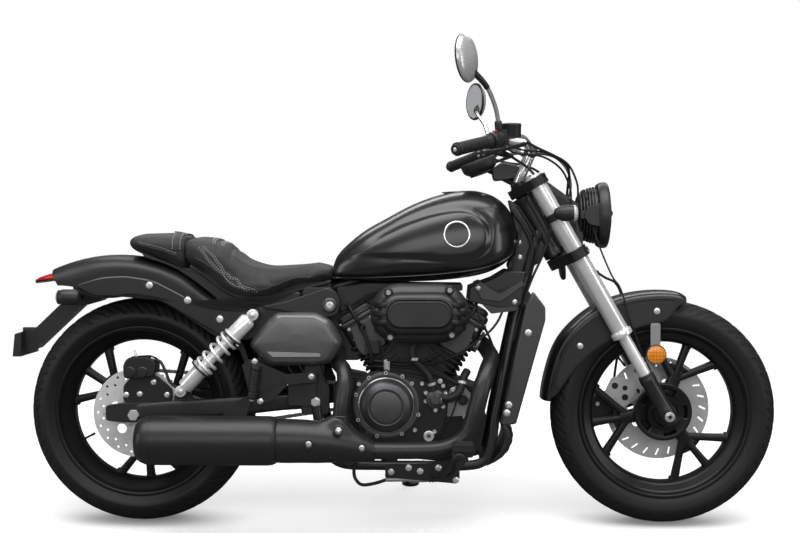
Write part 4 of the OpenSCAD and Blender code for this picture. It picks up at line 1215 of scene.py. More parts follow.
@dataclass
class Wheel:
    """A cast wheel with its tyre: sizes in millimetres, in the bike frame."""

    shop: Shop
    name: str
    body: str
    axle: Array
    radius: float
    width: float
    crown: float
    rim: float
    forks: tuple
    hub: float
    hub_low: float
    hub_high: float
    depth: float
    skew: float = 1.0

    def place(self, surf: Surf) -> Surf:
        """From the wheel's own frame to the axle."""
        return Surf(surf.verts + self.axle, surf.quads, surf.tris)

    def tyre(self) -> Surf:
        """The tyre: a section turned about the axle, with grooves cut in by lowering the crown.

        The groove depth is a smooth step of the distance, along the crown, to slanted lines that
        repeat round the wheel, and fades out before the shoulders.

        Returns:
            The tyre's surface.
        """
        turns, across = 720, 44
        u = np.linspace(0, np.pi, across)
        y = self.width / 2 * np.cos(u)
        r = self.radius - self.crown + self.crown * np.sin(u)
        lip_r = np.array([226.6, 226.6, 229.5, 231.8, 240.0, 247.0])
        lip_y = np.array([self.rim - 15.0, self.rim - 6.2, self.rim - 5.2, self.rim - 4.6, 0.0, 0.0])
        lip_y[4:] = [self.rim + 0.33 * (self.width / 2 - self.rim),
                     self.rim + 0.62 * (self.width / 2 - self.rim)]
        v = np.linspace(np.pi, 0, 14)
        sec_r = np.concatenate([lip_r, r, lip_r[::-1],
                                self.radius - self.crown + (self.crown - 11) * np.sin(v)])
        sec_y = np.concatenate([lip_y, y, -lip_y[::-1], (self.width / 2 - 9) * np.cos(v)])
        t = np.linspace(0, 2 * np.pi, turns, endpoint=False)[:, None]
        side = sec_y / (self.width / 2)
        reach = np.abs(side)[None, :]
        pitch = 36
        phase = t * pitch / (2 * np.pi) + self.skew * reach ** 1.4 * 1.35 + 0.5 * (side[None, :] > 0)
        off = np.abs(phase - np.round(phase)) * (2 * np.pi * self.radius / pitch)
        band = np.clip((reach - 0.1) / 0.06, 0, 1) * np.clip((0.97 - reach) / 0.06, 0, 1)
        slant = np.clip((6.4 - off) / 2.4, 0, 1) * band
        short = phase + 0.5
        off2 = np.abs(short - np.round(short)) * (2 * np.pi * self.radius / pitch)
        shoulder = np.clip((3.4 - off2) / 2.4, 0, 1) * np.clip((reach - 0.42) / 0.08, 0,
                                                               1) * np.clip((0.95 - reach) / 0.06, 0, 1)
        centre = np.clip((3.0 - np.abs(sec_y)) / 1.6, 0, 1)[None, :] * np.ones_like(t)
        outer = np.zeros(len(sec_r))
        outer[len(lip_r):len(lip_r) + across] = 1.0
        cut = np.maximum(np.maximum(slant, shoulder), centre) * outer * 6.0
        rib = np.zeros(len(sec_r))
        rib[[5, len(lip_r) + across]] = 0.9
        rr = sec_r[None, :] - cut + rib
        pts = np.stack([rr * np.cos(t), np.broadcast_to(sec_y, rr.shape), rr * np.sin(t)], axis=-1)
        return self.place(outward(sheet(pts, True, True)))

    def felloe(self) -> Surf:
        """The rim: its section with rounded corners, turned.

        Returns:
            The rim's surface.
        """
        hw = self.rim
        profile = [(231, -hw), (231, -hw + 4), (226.4, -hw + 5), (226.4, -hw + 16), (207, -18), (207, 18),
                   (226.4, hw - 16), (226.4, hw - 5), (231, hw - 4), (231, hw), (224, hw), (218, hw - 13),
                   (197, 24), (190, 13), (190, -13), (197, -24), (218, -hw + 13), (224, -hw)]
        return self.place(ringed(rounded(profile, 5.0, 5), (0, 0, 0), (0, 1, 0), 128))

    def limb(self, a: Array, b: Array, wide: tuple, deep: tuple, power: float = 0.62) -> Surf:
        """A spoke arm from a to b: squared oval rings whose width and depth run evenly along it.

        Args:
            a: the first end.
            b: the second end.
            wide: widths at the two ends.
            deep: depths at the two ends.
            power: how square the section is.
        Returns:
            The closed surface.
        """
        t = np.linspace(0, 1, 14)[:, None]
        line = a + (b - a) * t
        along = unit(np.append(b - a, 0.0)[[0, 2, 1]])
        path = np.stack([line[:, 0], np.zeros(14), line[:, 1]], axis=1)
        side = np.cross(along, [0.0, 1.0, 0.0])
        ang = np.linspace(0, 2 * np.pi, 24, endpoint=False)
        w = (wide[0] + (wide[1] - wide[0]) * t) / 2
        d = (deep[0] + (deep[1] - deep[0]) * t) / 2
        waist = 1.0 - 0.1 * np.sin(np.pi * t)
        ring = (w * waist)[:, :, None] * lobe(np.cos(ang), power)[None, :, None] * side
        ring = ring + d[:, :, None] * lobe(np.sin(ang), power)[None, :, None] * np.array([0.0, 1.0, 0.0])
        return closed(path[:, None] + ring)

    def spokes(self) -> Surf:
        """All forks: a stem from the hub and three arms to the rim, with a web in each crotch.

        Returns:
            All spokes as one surface.
        """
        parts = []
        for fork in self.forks:
            mid = fork[1]
            parts.append(self.limb(polar(30, mid), polar(114, mid), (48, 36), (self.depth + 2, self.depth),
                                   0.5))
            for a in fork:
                foot = polar(96, mid + (a - mid) * 0.12)
                parts.append(self.limb(foot, polar(199, a), (20, 24), (self.depth - 1, self.depth - 3)))
                parts.append(self.limb(polar(182, a), polar(200, a), (22, 38),
                                       (self.depth - 8, self.depth - 2)))
            web = [polar(104, mid - 12), polar(132, (fork[0] + mid) / 2), polar(136, mid),
                   polar(132, (fork[2] + mid) / 2), polar(104, mid + 12)]
            parts.append(slab(rounded(web, 8), -self.depth / 2 + 6, self.depth / 2 - 6, 2.0,
                              np.array([[1, 0, 0], [0, 0, -1], [0, 1, 0]], float)))
        return self.place(union(parts))

    def centre(self) -> Surf:
        """The hub: a stepped barrel with a waist between its bearing seats.

        Returns:
            The hub's surface.
        """
        lo, hi, r = self.hub_low, self.hub_high, self.hub
        profile = [(14, lo), (r - 6, lo), (r - 3, lo + 2), (r, lo + 6), (r, lo + 14), (r - 5, lo + 20),
                   (r - 6, -18), (r + 3, -14), (r + 4, 0), (r + 3, 14), (r - 6, 18), (r - 5, hi - 20),
                   (r, hi - 14), (r, hi - 6), (r - 3, hi - 2), (r - 6, hi), (14, hi), (9.2, hi - 3),
                   (9.2, lo + 3)]
        return self.place(ringed(profile, (0, 0, 0), (0, 1, 0), 72))

    def dress(self) -> None:
        """Tyre, rim, spokes, hub and valve."""
        s = self.shop
        s.make(self.name + "_tyre_skin", self.tyre(), Tread("tyre_" + self.name, "tyre",
                                                            rgb(0.0065, 0.0065, 0.0065),
                                                            axle=tuple(self.axle)), self.body, angle=50,
               replaces=(self.name + "_tyre",))
        s.make(self.name + "_rim_ring", self.felloe(), RIM_BLACK, self.body, angle=40,
               replaces=(self.name + "_rim",))
        s.make(self.name + "_rim_arms", self.spokes(), RIM_BLACK, self.body, angle=50,
               replaces=(self.name + "_rim",))
        s.make(self.name + "_hub", self.centre(), RIM_BLACK, self.body, replaces=(self.name + "_rim",))
        at = polar(191, self.forks[0][1] + 60)
        stem = lathe([(5.5, 0), (5.5, 4), (3.2, 6), (3.0, 24), (3.6, 25), (3.6, 33), (2.6, 35)],
                     (at[0], 0, at[1]), (-at[0], 0, -at[1]), 16)
        s.make(self.name + "_valve", self.place(stem), RUBBER, self.body)


@dataclass
class Running:
    """Both wheels, their discs, the sprocket and the chain."""

    shop: Shop
    sprocket: float = 84.0

    def dress(self) -> None:
        """Builds the running gear."""
        s = self.shop
        rear = Wheel(s, "rear", "rear_wheel", REAR_AXLE, 306, 150, 52, 59,
                     ((121, 147, 174), (249, 275, 301), (1, 27.5, 54)), 44, -78, 70, 30, 1.0)
        front = Wheel(s, "front", "front_wheel", FRONT_AXLE, 304, 110, 42, 47,
                      ((98, 69, 41), (-22, -50, -80), (-142, -170, -199)), 34, -62, 56.7, 28, -1.0)
        rear.dress()
        front.dress()
        s.soften("rear_brake_disc", Machined("rear_disc_steel", "steel", rgb(0.8, 0.8, 0.8),
                                             axle=tuple(REAR_AXLE), rough=0.4, metallic=0.4), "rear_wheel",
                 0.5)
        s.soften("front_brake_disc", Machined("front_disc_steel", "steel", rgb(0.82, 0.82, 0.82),
                                              axle=tuple(FRONT_AXLE), rough=0.4, metallic=0.4), "front_wheel",
                 0.5)
        self.discs()
        self.cog()
        self.chain()

    def discs(self) -> None:
        """Disc bolts, the front wheel's carrier and the slotted wheel-speed ring."""
        s = self.shop
        a = np.arange(5) * 72.0 + 20
        ring = np.stack([polar(38, d) for d in a])
        rear = np.stack([ring[:, 0], np.full(5, -84.0), ring[:, 1]], axis=1) + REAR_AXLE
        s.make("rear_disc_bolts", bolts(rear, (0, -1, 0), 6, 3.6, Head.DOME), BOLT, "rear_wheel")
        a = np.arange(5) * 72.0
        ring = np.stack([polar(44, d) for d in a])
        front = np.stack([ring[:, 0], np.full(5, 62.0), ring[:, 1]], axis=1) + FRONT_AXLE
        s.make("front_disc_bolts", bolts(front, (0, 1, 0), 6, 3.4, Head.DOME), BOLT, "front_wheel")
        ring = [slab(np.array([polar(37, d - 2.4), polar(45, d - 1.9), polar(45, d + 1.9),
                               polar(37, d + 2.4)]), 62.2, 63.4, 0.2) for d in 9.0 * np.arange(40)]
        for low, high in ((35, 38), (44, 47)):
            ring.append(ringed([(low, -63.4), (high, -63.4), (high, -62.2), (low, -62.2)], (0, 0, 0),
                               (0, 1, 0), 96))
        speed = union(ring)
        s.make("speed_ring", speed.shifted(FRONT_AXLE), RIM_BLACK, "front_wheel")
        self.hub_plate()

    def hub_plate(self) -> None:
        """Front hub shoulder: a dished ring with five oblong openings between its webs."""
        n, rows = 240, []
        a = np.linspace(0, 2 * np.pi, n, endpoint=False)
        opening = np.clip((np.cos(a * 5) - 0.1) * 3.0, 0, 1)[:, None]
        deep = {36: -22.0, 44: -25.0, 48: -27.0, 52: -28.0, 62: -28.5, 66: -29.0, 70: -30.0, 75: -30.0,
                78: -27.0}
        for r, y in deep.items():
            sunk = opening[:, 0] * 16.0 * float(50 <= r <= 64)
            rows.append(np.stack([r * np.cos(a), y + sunk, r * np.sin(a)], -1))
        rows += [np.stack([r * np.cos(a), np.full(n, y), r * np.sin(a)], -1) for r, y in ((78, -4), (36, -4))]
        plate = outward(sheet(np.stack(rows), True, True))
        self.shop.make("front_hub_shoulder", plate.shifted(FRONT_AXLE), RIM_BLACK, "front_wheel", angle=40)

    def cog(self) -> None:
        """The rear sprocket: a toothed plate on a carrier, teeth as a rounded wave of the radius."""
        s = self.shop
        teeth = 36
        a = np.linspace(0, 2 * np.pi, teeth * 12, endpoint=False)
        wave = np.clip(np.cos(a * teeth) * 0.9 + 0.1, -0.8, 0.9)
        r = self.sprocket - 0.6 + 4.0 * wave
        rim = np.stack([r * np.cos(a), r * np.sin(a)], axis=1)
        m = np.array([[1, 0, 0], [0, 0, -1], [0, 1, 0]], float)
        hole = np.stack([50 * np.cos(a), 50 * np.sin(a)], axis=1)
        rings = np.stack([np.column_stack([o, np.full(len(o), h)])
                          for o, h in ((hole, -94), (rim * 0.985, -94), (rim, -93.3), (rim, -88.7),
                                       (rim * 0.985, -88), (hole, -88))])
        plate = outward(sheet((rings @ m.T) + REAR_AXLE, True, True))
        s.make("sprocket_teeth", plate, STEEL, "rear_wheel", replaces=("rear_sprocket",))
        hub = ringed([(14.5, 70.4), (38, 70.4), (38, 86), (56, 88.2), (56, 91), (40, 93), (18, 93),
                      (14.5, 90)], REAR_AXLE, (0, 1, 0), 60)
        s.make("sprocket_hub", hub, RIM_BLACK, "rear_wheel", replaces=("rear_sprocket",))
        p = np.stack([polar(47, 60 * k + 30) for k in range(6)])
        at = np.stack([p[:, 0], np.full(6, 92.0), p[:, 1]], axis=1) + REAR_AXLE
        s.make("sprocket_nuts", bolts(at, (0, 1, 0), 6, 2.2), BOLT, "rear_wheel")

    def chain(self) -> None:
        """Roller chain: links placed by broadcasting along two arcs and two straights."""
        s = self.shop
        c0, c1 = REAR_AXLE[[0, 2]], np.array([-158.0, 330.0])
        r0, r1 = self.sprocket + 10.0, 34.0
        d = float(np.linalg.norm(c1 - c0))
        b = math.atan2(c1[1] - c0[1], c1[0] - c0[0])
        g = math.acos((r0 - r1) / d)
        t1 = b + g - 2 * g * np.linspace(0, 1, 40)
        t0 = b - g - (2 * math.pi - 2 * g) * np.linspace(0, 1, 90)
        loop = np.vstack([c1 + r1 * np.stack([np.cos(t1), np.sin(t1)], 1),
                          c0 + r0 * np.stack([np.cos(t0), np.sin(t0)], 1)])
        loop = np.vstack([loop, loop[:1]])
        length = float(np.linalg.norm(np.diff(loop, axis=0), axis=1).sum())
        count = int(round(length / 15.875 / 2)) * 2
        pins = even(loop, count + 1)
        a, e = pins[:-1], pins[1:]
        mid, along = (a + e) / 2, unit(e - a)
        half = float(np.linalg.norm(e - a, axis=1).mean()) / 2
        ang = np.linspace(0, 2 * np.pi, 12, endpoint=False)
        base = np.stack([half * np.sign(np.cos(ang)) * (np.abs(np.cos(ang)) > 0.1) + 5.6 * np.cos(ang),
                         (5.6 - 1.3 * (np.abs(np.cos(ang)) <= 0.1)) * np.sin(ang)], 1)
        parts = []
        for lift in ((3.6, 5.2), (-5.2, -3.6)):
            link = slab(base, lift[0], lift[1], 0.35, np.eye(3))
            out = slab(base, lift[0] + (0.9 if lift[0] > 0 else -0.9),
                       lift[1] + (0.9 if lift[0] > 0 else -0.9), 0.35, np.eye(3))
            parts.append((link, out))
        surfs = []
        for odd in (0, 1):
            for pair in parts:
                one = pair[odd]
                m, t = mid[odd::2], along[odd::2]
                n = np.stack([-t[:, 1], t[:, 0]], 1)
                x = m[:, None, 0] + one.verts[None, :, 0] * t[:, None, 0] + one.verts[None, :, 1] * n[:, None, 0]
                z = m[:, None, 1] + one.verts[None, :, 0] * t[:, None, 1] + one.verts[None, :, 1] * n[:, None, 1]
                y = 91.0 - one.verts[None, :, 2] + 0 * x
                shift = (np.arange(len(m)) * len(one.verts))[:, None, None]
                surfs.append(Surf(np.stack([x, y, z], -1).reshape(-1, 3),
                                  (one.quads[None] + shift).reshape(-1, 4),
                                  (one.tris[None] + shift).reshape(-1, 3)))
        roller = lathe([(4.8, -3.5), (5.0, -3.2), (5.0, 3.2), (4.8, 3.5)], (0, 0, 0), (0, 1, 0), 10)
        pin = lathe([(2.2, -6.4), (2.4, -6.2), (2.4, 6.2), (2.2, 6.4)], (0, 0, 0), (0, 1, 0), 8)
        for one in (roller, pin):
            at = np.stack([pins[:-1, 0], np.full(count, 91.0), pins[:-1, 1]], 1)
            shift = (np.arange(count) * len(one.verts))[:, None, None]
            surfs.append(Surf((at[:, None] + one.verts[None]).reshape(-1, 3),
                              (one.quads[None] + shift).reshape(-1, 4), (one.tris[None] + shift).reshape(-1,
                    3)))
        s.make("chain_links", union(surfs), STEEL, "chassis", replaces=("drive_chain",))


# ---------------------------------------------------------------- frame, engine and exhaust


CRADLE = np.array([(-226, 112, 330), (-214, 113, 262), (-190, 108, 200), (-150, 98, 172), (-60, 95, 168),
                   (60, 95, 168), (170, 95, 168), (222, 94, 182), (243, 92, 235), (252, 88, 300),
                   (281, 74, 440), (313, 58, 590), (340, 45, 690), (356, 34, 748), (371, 24, 792)], float)


@dataclass
class Chassis:
    """Frame tubes and plates, steering head, swingarm, stand and shocks."""

    shop: Shop
    tube: float = 13.0

    def dress(self) -> None:
        """Builds the frame and what hangs on it."""
        self.frame()
        self.head()
        self.swingarm()
        self.shocks()
        self.stand()

    def frame(self) -> None:
        """Down tubes and cradle as round sweeps, pivot plates, cross tubes and weld beads."""
        s = self.shop
        path = smooth(CRADLE, 6)
        tubes = sweep(path, self.tube, 24).both()
        s.make("frame_tubes", tubes, SATIN_FRAME, replaces=("frame",))
        plate = rounded([(-266, 306), (-266, 384), (-248, 470), (-256, 560), (-262, 645), (-178, 645),
                         (-190, 575), (-206, 540), (-206, 400), (-190, 384), (-190, 306)], 14, 6)
        plates = slab(plate, 101, 113, 2.0, np.array([[1, 0, 0], [0, 0, -1], [0, 1, 0]], float))
        parts = [plates]
        s.make("frame_plates", outward(parts[0]).both(), SATIN_FRAME, replaces=("frame",))
        cross = [lathe([(11.5, -92), (12, -91.5), (12, 91.5), (11.5, 92)], (222, 0, 182), (0, 1, 0), 24),
                 lathe([(11.5, -96), (12, -95.5), (12, 95.5), (11.5, 96)], (-190, 0, 196), (0, 1, 0), 24),
                 lathe([(13.5, -101.5), (14, -101), (14, 101), (13.5, 101.5)], (-222, 0, 628), (0, 1, 0), 24)]
        tabs = [slab(rounded([(x, 176), (x + 30, 176), (x + 30, 187.4), (x, 187.4)], 4), 70, 100, 1.0)
                for x in (-40, 150)]
        lug = slab(rounded([(-98, 152), (-62, 152), (-62, 178), (-98, 178)], 6), -117, -101, 1.0)
        s.make("frame_cross", union(cross) + union(tabs).both() + lug, SATIN_FRAME,
               replaces=("frame",))
        pivot = lathe([(8.2, -119), (8.2, 119)], SWING_PIVOT, (0, 1, 0), 24)
        caps = union([bolts([(-228, -113.3, 340)], (0, -1, 0), 12.0, 8.4),
                      bolts([(-228, 113.3, 340)], (0, 1, 0), 12.0, 8.4)])
        s.make("pivot_bolt", pivot + caps, BOLT, replaces=("frame",))
        rings = []
        for q in (5, 30, 52, 70):
            t = unit(path[q + 1] - path[q])
            rings.append(ringed([(13.0, -1.6), (14.2, -1.1), (14.5, 0), (14.2, 1.1), (13.0, 1.6)], path[q], t,
                                24))
        s.make("frame_welds", union(rings).both(), SATIN_FRAME)

    def head(self) -> None:
        """Steering head with its two bearing cups, backbone and gussets."""
        s = self.shop
        cup = [(17.5, 512), (27, 512), (28.6, 514), (28.6, 526), (27, 529), (26, 540), (26, 668), (27, 680),
               (28.6, 684), (28.6, 695), (27, 697), (17.5, 697)]
        neck = ringed(cup, (0, 0, 0), (0, 0, 1), 60)
        s.make("head_tube", neck.steered(), SATIN_FRAME, replaces=("steering_head",))
        fin = rounded([(289, 881), (318, 864), (368, 786), (396, 744), (376, 711), (347, 690), (293, 703),
                       (309, 744), (311, 794), (297, 848)], 8, 5)
        s.make("neck_gusset", slab(fin, -25, 25, 2.0), SATIN_FRAME)
        flats = slab(rounded([(300, 668), (352, 690), (366, 742), (330, 800), (312, 796), (312, 742),
                              (286, 704)], 8, 5), 30, 38, 1.6)
        s.make("neck_flats", flats.both(), SATIN_FRAME)
        s.make("neck_bolts_high", bolts([(318, -38, 763), (320, -38, 723)], (0, -1, 0), 7, 4.4,
                                        Head.DOME).both(), BOLT)
        looms = [hose([(300, -30, 850), (330, -46, 806), (352, -52, 752), (344, -56, 700), (318, -60, 640),
                       (300, -70, 560)], 5.0),
                 hose([(306, -20, 870), (346, -38, 812), (366, -44, 760), (352, -50, 690), (330, -58, 620)],
                      3.4), hose([(392, -40, 850), (400, -50, 800), (384, -56, 740), (352, -62, 670),
                                  (326, -70, 600), (300, -78, 500)], 3.4)]
        s.make("neck_looms", union(looms), RUBBER)
        spine = sweep(np.array([(352, 0, 807.5 + DROP), (180, 0, 754), (0, 0, 698), (-130, 0, 657),
                                (-222, 0, 628)], float), 22, 28, (0.0, 1.0, 0.0))
        s.make("backbone", spine, SATIN_FRAME, replaces=("steering_head",))

    def swingarm(self) -> None:
        """Swingarm: box-section arms with rounded corners, axle plates, shock lugs and bridge."""
        s = self.shop
        arm = np.array([(-228, 82, 340, 20), (-270, 83, 338, 21), (-320, 86, 336, 22), (-370, 100, 333, 23),
                        (-420, 117, 330, 24), (-560, 117, 322, 24), (-690, 117, 312, 24),
                        (-702, 117, 311, 22)], float)
        ang = np.linspace(0, 2 * np.pi, 32, endpoint=False)
        rings = np.stack([np.stack([np.full(32, p[0]), p[1] + 12.4 * lobe(np.cos(ang), 0.35),
                                    p[2] + p[3] * lobe(np.sin(ang), 0.35)], 1) for p in arm])
        parts = [closed(rings)]
        end = rounded([(-668, 286), (-668, 339), (-740, 337), (-786, 330), (-786, 290), (-740, 285)], 8, 5)
        parts.append(slab(end, -127, -107, 1.6))
        lug = rounded([(-604, 332), (-600, 373), (-579, 389), (-560, 373), (-550, 332)], 6, 4)
        parts.append(slab(lug, -127, -112, 1.4))
        parts.append(lathe([(14, 120), (14, 136), (13, 137)], SHOCK_LOW * [1, 0, 1], (0, 1, 0), 28))
        arms = union(parts).both()
        sleeve = lathe([(22, -90), (24, -88), (24, 88), (22, 90)], SWING_PIVOT, (0, 1, 0), 36)
        bridge = slab(rounded([(-372, 314), (-332, 314), (-332, 354), (-372, 354)], 8), -88, 88, 1.0)
        s.make("swingarm_skin", arms + sleeve + bridge, SATIN_FRAME, replaces=("swingarm",))
        adj = [bolts([(-786, 117, 310)], (-1, 0, 0), 6, 9), bolts([(-786, -117, 310)], (-1, 0, 0), 6, 9)]
        s.make("chain_adjusters", union(adj), BOLT)
        guard = rounded([(-640, 352), (-600, 402), (-520, 408), (-400, 396), (-400, 386), (-520, 397),
                         (-594, 392), (-628, 350)], 4, 4)
        s.make("chain_guard", slab(guard, -112, -109.5, 0.6), SATIN)
        s.soften("rear_axle", BOLT, "chassis", 0.5)

    def shocks(self) -> None:
        """Twin shocks: damper body, rod, seats, eyes, and a bright coil round each."""
        s = self.shop
        a, b = SHOCK_LOW, SHOCK_TOP
        n = float(np.linalg.norm(b - a))
        body = [(12, 11), (19.5, 14), (21, 17), (21, 74), (24, 76), (24, 82), (15, 84), (14, 88),
                (14, n - 80), (8, n - 78)]
        top = [(8, n - 84), (26, n - 82), (27, n - 79), (27, n - 75), (21.5, n - 73), (21.5, n - 20),
               (19, n - 16), (12, n - 11)]
        parts = [lathe(body, a, b - a, 40), lathe(top, a, b - a, 40)]
        eye = [(6.6, -12), (15, -12), (15, 12), (6.6, 12)]
        parts += [ringed(rounded(eye, 2), p, (0, 1, 0), 36) for p in (a, b)]
        s.make("shock_bodies", union(parts).both(), FORK_CHROME, replaces=("shock_absorbers",))
        bush = [lathe([(6.3, -11), (6.3, 11)], p, (0, 1, 0), 20) for p in (a, b)]
        s.make("shock_bushes", union(bush).both(), RUBBER)
        nuts = [bolts([p + np.array([0, 12, 0])], (0, 1, 0), 9, 4.5, Head.HEX) for p in (a, b)]
        s.make("shock_nuts", union(nuts).both(), BOLT)
        d = unit(b - a)
        spring = coil(a + d * 82.0, a + d * (n - 84.0), 25.5, 4.2, 5.5, 12)
        s.make("shock_coils", spring.both(), FORK_CHROME, replaces=("shock_springs",))
        rings = [ringed([(28, z - 2), (32.5, z - 2), (32.5, z + 2), (28, z + 2)], a, b - a, 40)
                 for z in (79.0, n - 79.0)]
        s.make("shock_cups", union(rings).both(), SATIN_FRAME)

    def stand(self) -> None:
        """Side stand: the model's stand with its edges softened."""
        s = self.shop
        s.soften("side_stand", SATIN_FRAME, "side_stand", 0.8)


@dataclass
class Engine:
    """V-twin engine with its covers, air cleaner, pump and hoses."""

    shop: Shop
    crank: tuple = (30.0, 0.0, 300.0)

    def vee(self, degrees: float) -> Array:
        """Columns that turn a cylinder's own axes into the bike frame."""
        c, s = math.cos(math.radians(degrees)), math.sin(math.radians(degrees))
        return np.array([[c, 0, s], [0, 1, 0], [-s, 0, c]])

    def dress(self) -> None:
        """Builds the engine."""
        s = self.shop
        s.soften("crankcase", ENGINE_BLACK, "chassis", 3.0)
        for name, angle in (("front", 30.0), ("rear", -30.0)):
            self.cylinder(name, angle)
        self.right_side()
        self.left_side()
        self.air_cleaner()
        self.pump()
        self.sundries()

    def cylinder(self, name: str, angle: float) -> None:
        """One cylinder: barrel, cooling fins, head, cam cover, bolts, plug cap and lead.

        Args:
            name: front or rear.
            angle: lean from the vertical in degrees, forward positive.
        """
        s = self.shop
        m = self.vee(angle)
        at = np.array(self.crank)

        def block(x: float, y: float, low: float, high: float, bevel: float, corner: float) -> Surf:
            """A rounded block about the cylinder's axis."""
            return slab(rounded([(-x, -y), (x, -y), (x, y), (-x, y)], corner, 5), low, high, bevel,
                        np.eye(3)).moved(m, at)

        core = [block(43, 49, 140.3, 232, 1.5, 22), block(52, 57, 236, 298, 3, 14)]
        fins = [block(53, 59, 146 + 15.0 * i, 152.0 + 15.0 * i, 1.8, 24) for i in range(6)]
        s.make(name + "_barrel", union(core), ENGINE_BLACK, replaces=(name + "_cylinder",))
        s.make(name + "_fins", union(fins), ENGINE_BLACK, replaces=(name + "_cylinder",))
        flange = [block(57, 62.5, 228, 236, 2.0, 12)]
        louvres = [slab(rounded([(-40, z), (40, z), (36, z + 7), (-36, z + 7)], 3, 4), 56,
                        60.5 - 0.03 * z / 9, 1.6, np.array([[1, 0, 0], [0, 0, -1], [0, 1, 0]],
                                                           float)).moved(m, at) for z in (241, 253, 265)]
        s.make(name + "_flange", union(flange + louvres), ENGINE_BLACK, replaces=(name + "_cylinder",))
        cover = [block(56, 61, 292, 304, 3.0, 16), block(51, 56, 302, 326, 7.0, 16),
                 block(44, 48, 322, 340, 7.5, 16)]
        ridges = [slab(rounded([(-44, z), (44, z), (42, z + 4), (-42, z + 4)], 2, 4), 54, 58.4, 1.4,
                       np.array([[1, 0, 0], [0, 0, -1], [0, 1, 0]], float)).moved(m, at) for z in (307, 316)]
        s.make(name + "_cam_cover", union(cover + ridges), ENGINE_GREY, replaces=(name + "_cylinder",))
        corners = np.array([(x, y, 303.0) for x in (-49, 49) for y in (-52, 0, 52)])
        s.make(name + "_cover_bolts", bolts(corners @ m.T + at, m[:, 2], 4.2, 5.0, Head.SOCKET), BOLT)
        studs = np.array([(x, -56.0, z) for x in (-34, 34) for z in (252, 284)])
        s.make(name + "_head_bolts", bolts(studs @ m.T + at, (0, -1, 0), 5.0, 4.4, Head.HEX), BOLT)
        boss = lathe([(17, 0), (17, 6), (15, 8), (15, 9), (6, 9.5)], (0, -54, 272), (0, -1, 0), 32).moved(m,
                at)
        flat = np.array([[1, 0, 0], [0, 0, -1], [0, 1, 0]], float)
        side = slab(rounded([(-34, 200), (34, 200), (42, 226), (30, 286), (-30, 286), (-42, 226)], 10, 5), 57,
                    63.5, 2.4, flat).moved(m, at)
        s.make(name + "_plug_boss", boss + side, ENGINE_GREY)
        tip = at + m @ np.array([0.0, -62.0, 272.0])
        up = m @ np.array([0.0, -0.4, 1.0])
        lead = hose([tip + [0, 2, 0], tip + [0, -16, 2], tip + up * 24 + [0, -20, 0],
                     tip + up * 62 + [0, 2, 0], tip + up * 78 + [0, 44, 0]], 3.6)
        cap = lathe([(9, 0), (9, 12), (7.5, 15), (7.5, 24), (5, 27)], tip + [0, 2, 0], (0, -1, 0), 20)
        s.make(name + "_plug_lead", lead + cap, RUBBER)

    def right_side(self) -> None:
        """Clutch side: a stepped cover with a raised machined band, round clutch lid and bolts."""
        s = self.shop
        outline = rounded([(-124, 270), (-112, 236), (-84, 216), (40, 212), (86, 226), (118, 262), (132, 320),
                           (128, 372), (96, 398), (40, 412), (-30, 424), (-92, 418), (-120, 392)], 18, 6)
        base = slab(outline, 88.3, 103, 2.0)
        step = slab(inset(outline, 7.0), 101, 112, 4.0)
        s.make("right_cover", base + step, ENGINE_BLACK, replaces=("right_engine_cover",))
        c = (-38.5, -112.0, 331.0)
        rim = ringed([(90, -4), (90, 0), (87, 4), (82, 5), (76, 4), (75, -4)], c, (0, -1, 0), 96)
        s.make("clutch_rim", rim, ENGINE_GREY)
        collar = ringed([(75, -4), (76, 0), (75, 4), (73, 5.4), (71, 5.4), (70, 0), (70, -4)], c, (0, -1, 0),
                        96)
        s.make("clutch_band", collar, Machined("turned_band", "steel", rgb(0.42, 0.42, 0.43), axle=c,
                                               rough=0.3))
        lid = lathe([(70, -0.3), (70, 14), (69, 19), (66, 26), (60, 31), (52, 35.5), (48, 37.4), (46, 36.8),
                     (44.6, 34.6), (43.2, 34.6), (42.4, 36.8), (41, 38.6), (38, 39.4), (0, 39.8)], c,
                    (0, -1, 0), 96)
        s.make("clutch_lid", lid, ENGINE_GREY, replaces=("clutch_cover",))
        places = [(-85, 405), (-112, 388), (-119, 360), (-114, 293), (-64, 250), (2, 256), (29, 390),
                  (4, 409), (56, 390), (66, 343), (97, 350), (112, 329), (89, 262), (37, 266), (46, 307),
                  (112, 384), (-40, 418)]
        at = np.array([(x, -110.5, z) for x, z in places], float)
        s.make("right_cover_bolts", bolts(at, (0, -1, 0), 5.6, 6.5, Head.SOCKET), BOLT)
        pads = union([lathe([(9, -8), (9, 0.6), (8, 1.8)], (x, -110.5, z), (0, -1, 0), 18)
                      for x, z in places])
        s.make("right_cover_bosses", pads, ENGINE_BLACK)
        filler = lathe([(15, 0), (15, 8), (13, 9), (13, 12), (12, 13)], (-90, -112, 236 + 12), (0, -1, 0), 12)
        window = lathe([(14, 0), (14, 3.5), (11.5, 4.2), (11, 2.0)], (74, -112, 250), (0, -1, 0), 28)
        s.make("oil_window", window, BOLT)
        glass = lathe([(10.6, 1.6), (0, 2.4)], (74, -112, 250), (0, -1, 0), 24)
        s.make("oil_glass", glass, SMOKE_LENS)
        s.make("oil_cap", filler, SATIN)
        arm = slab(rounded([(-46, 418), (-30, 418), (-30, 452), (-46, 452)], 5), 92, 98, 1.0)
        s.make("clutch_arm", arm + lathe([(7, 0), (7, 22), (5, 23)], (-38, -95, 424), (0, 0, 1), 18), BOLT)
        s.make("clutch_cable", hose([(-38, -96, 450), (10, -98, 448), (60, -96, 440), (120, -90, 452),
                                     (190, -84, 490), (262, -80, 560), (300, -70, 700), (320, -60, 800)],
                                    3.2), RUBBER)

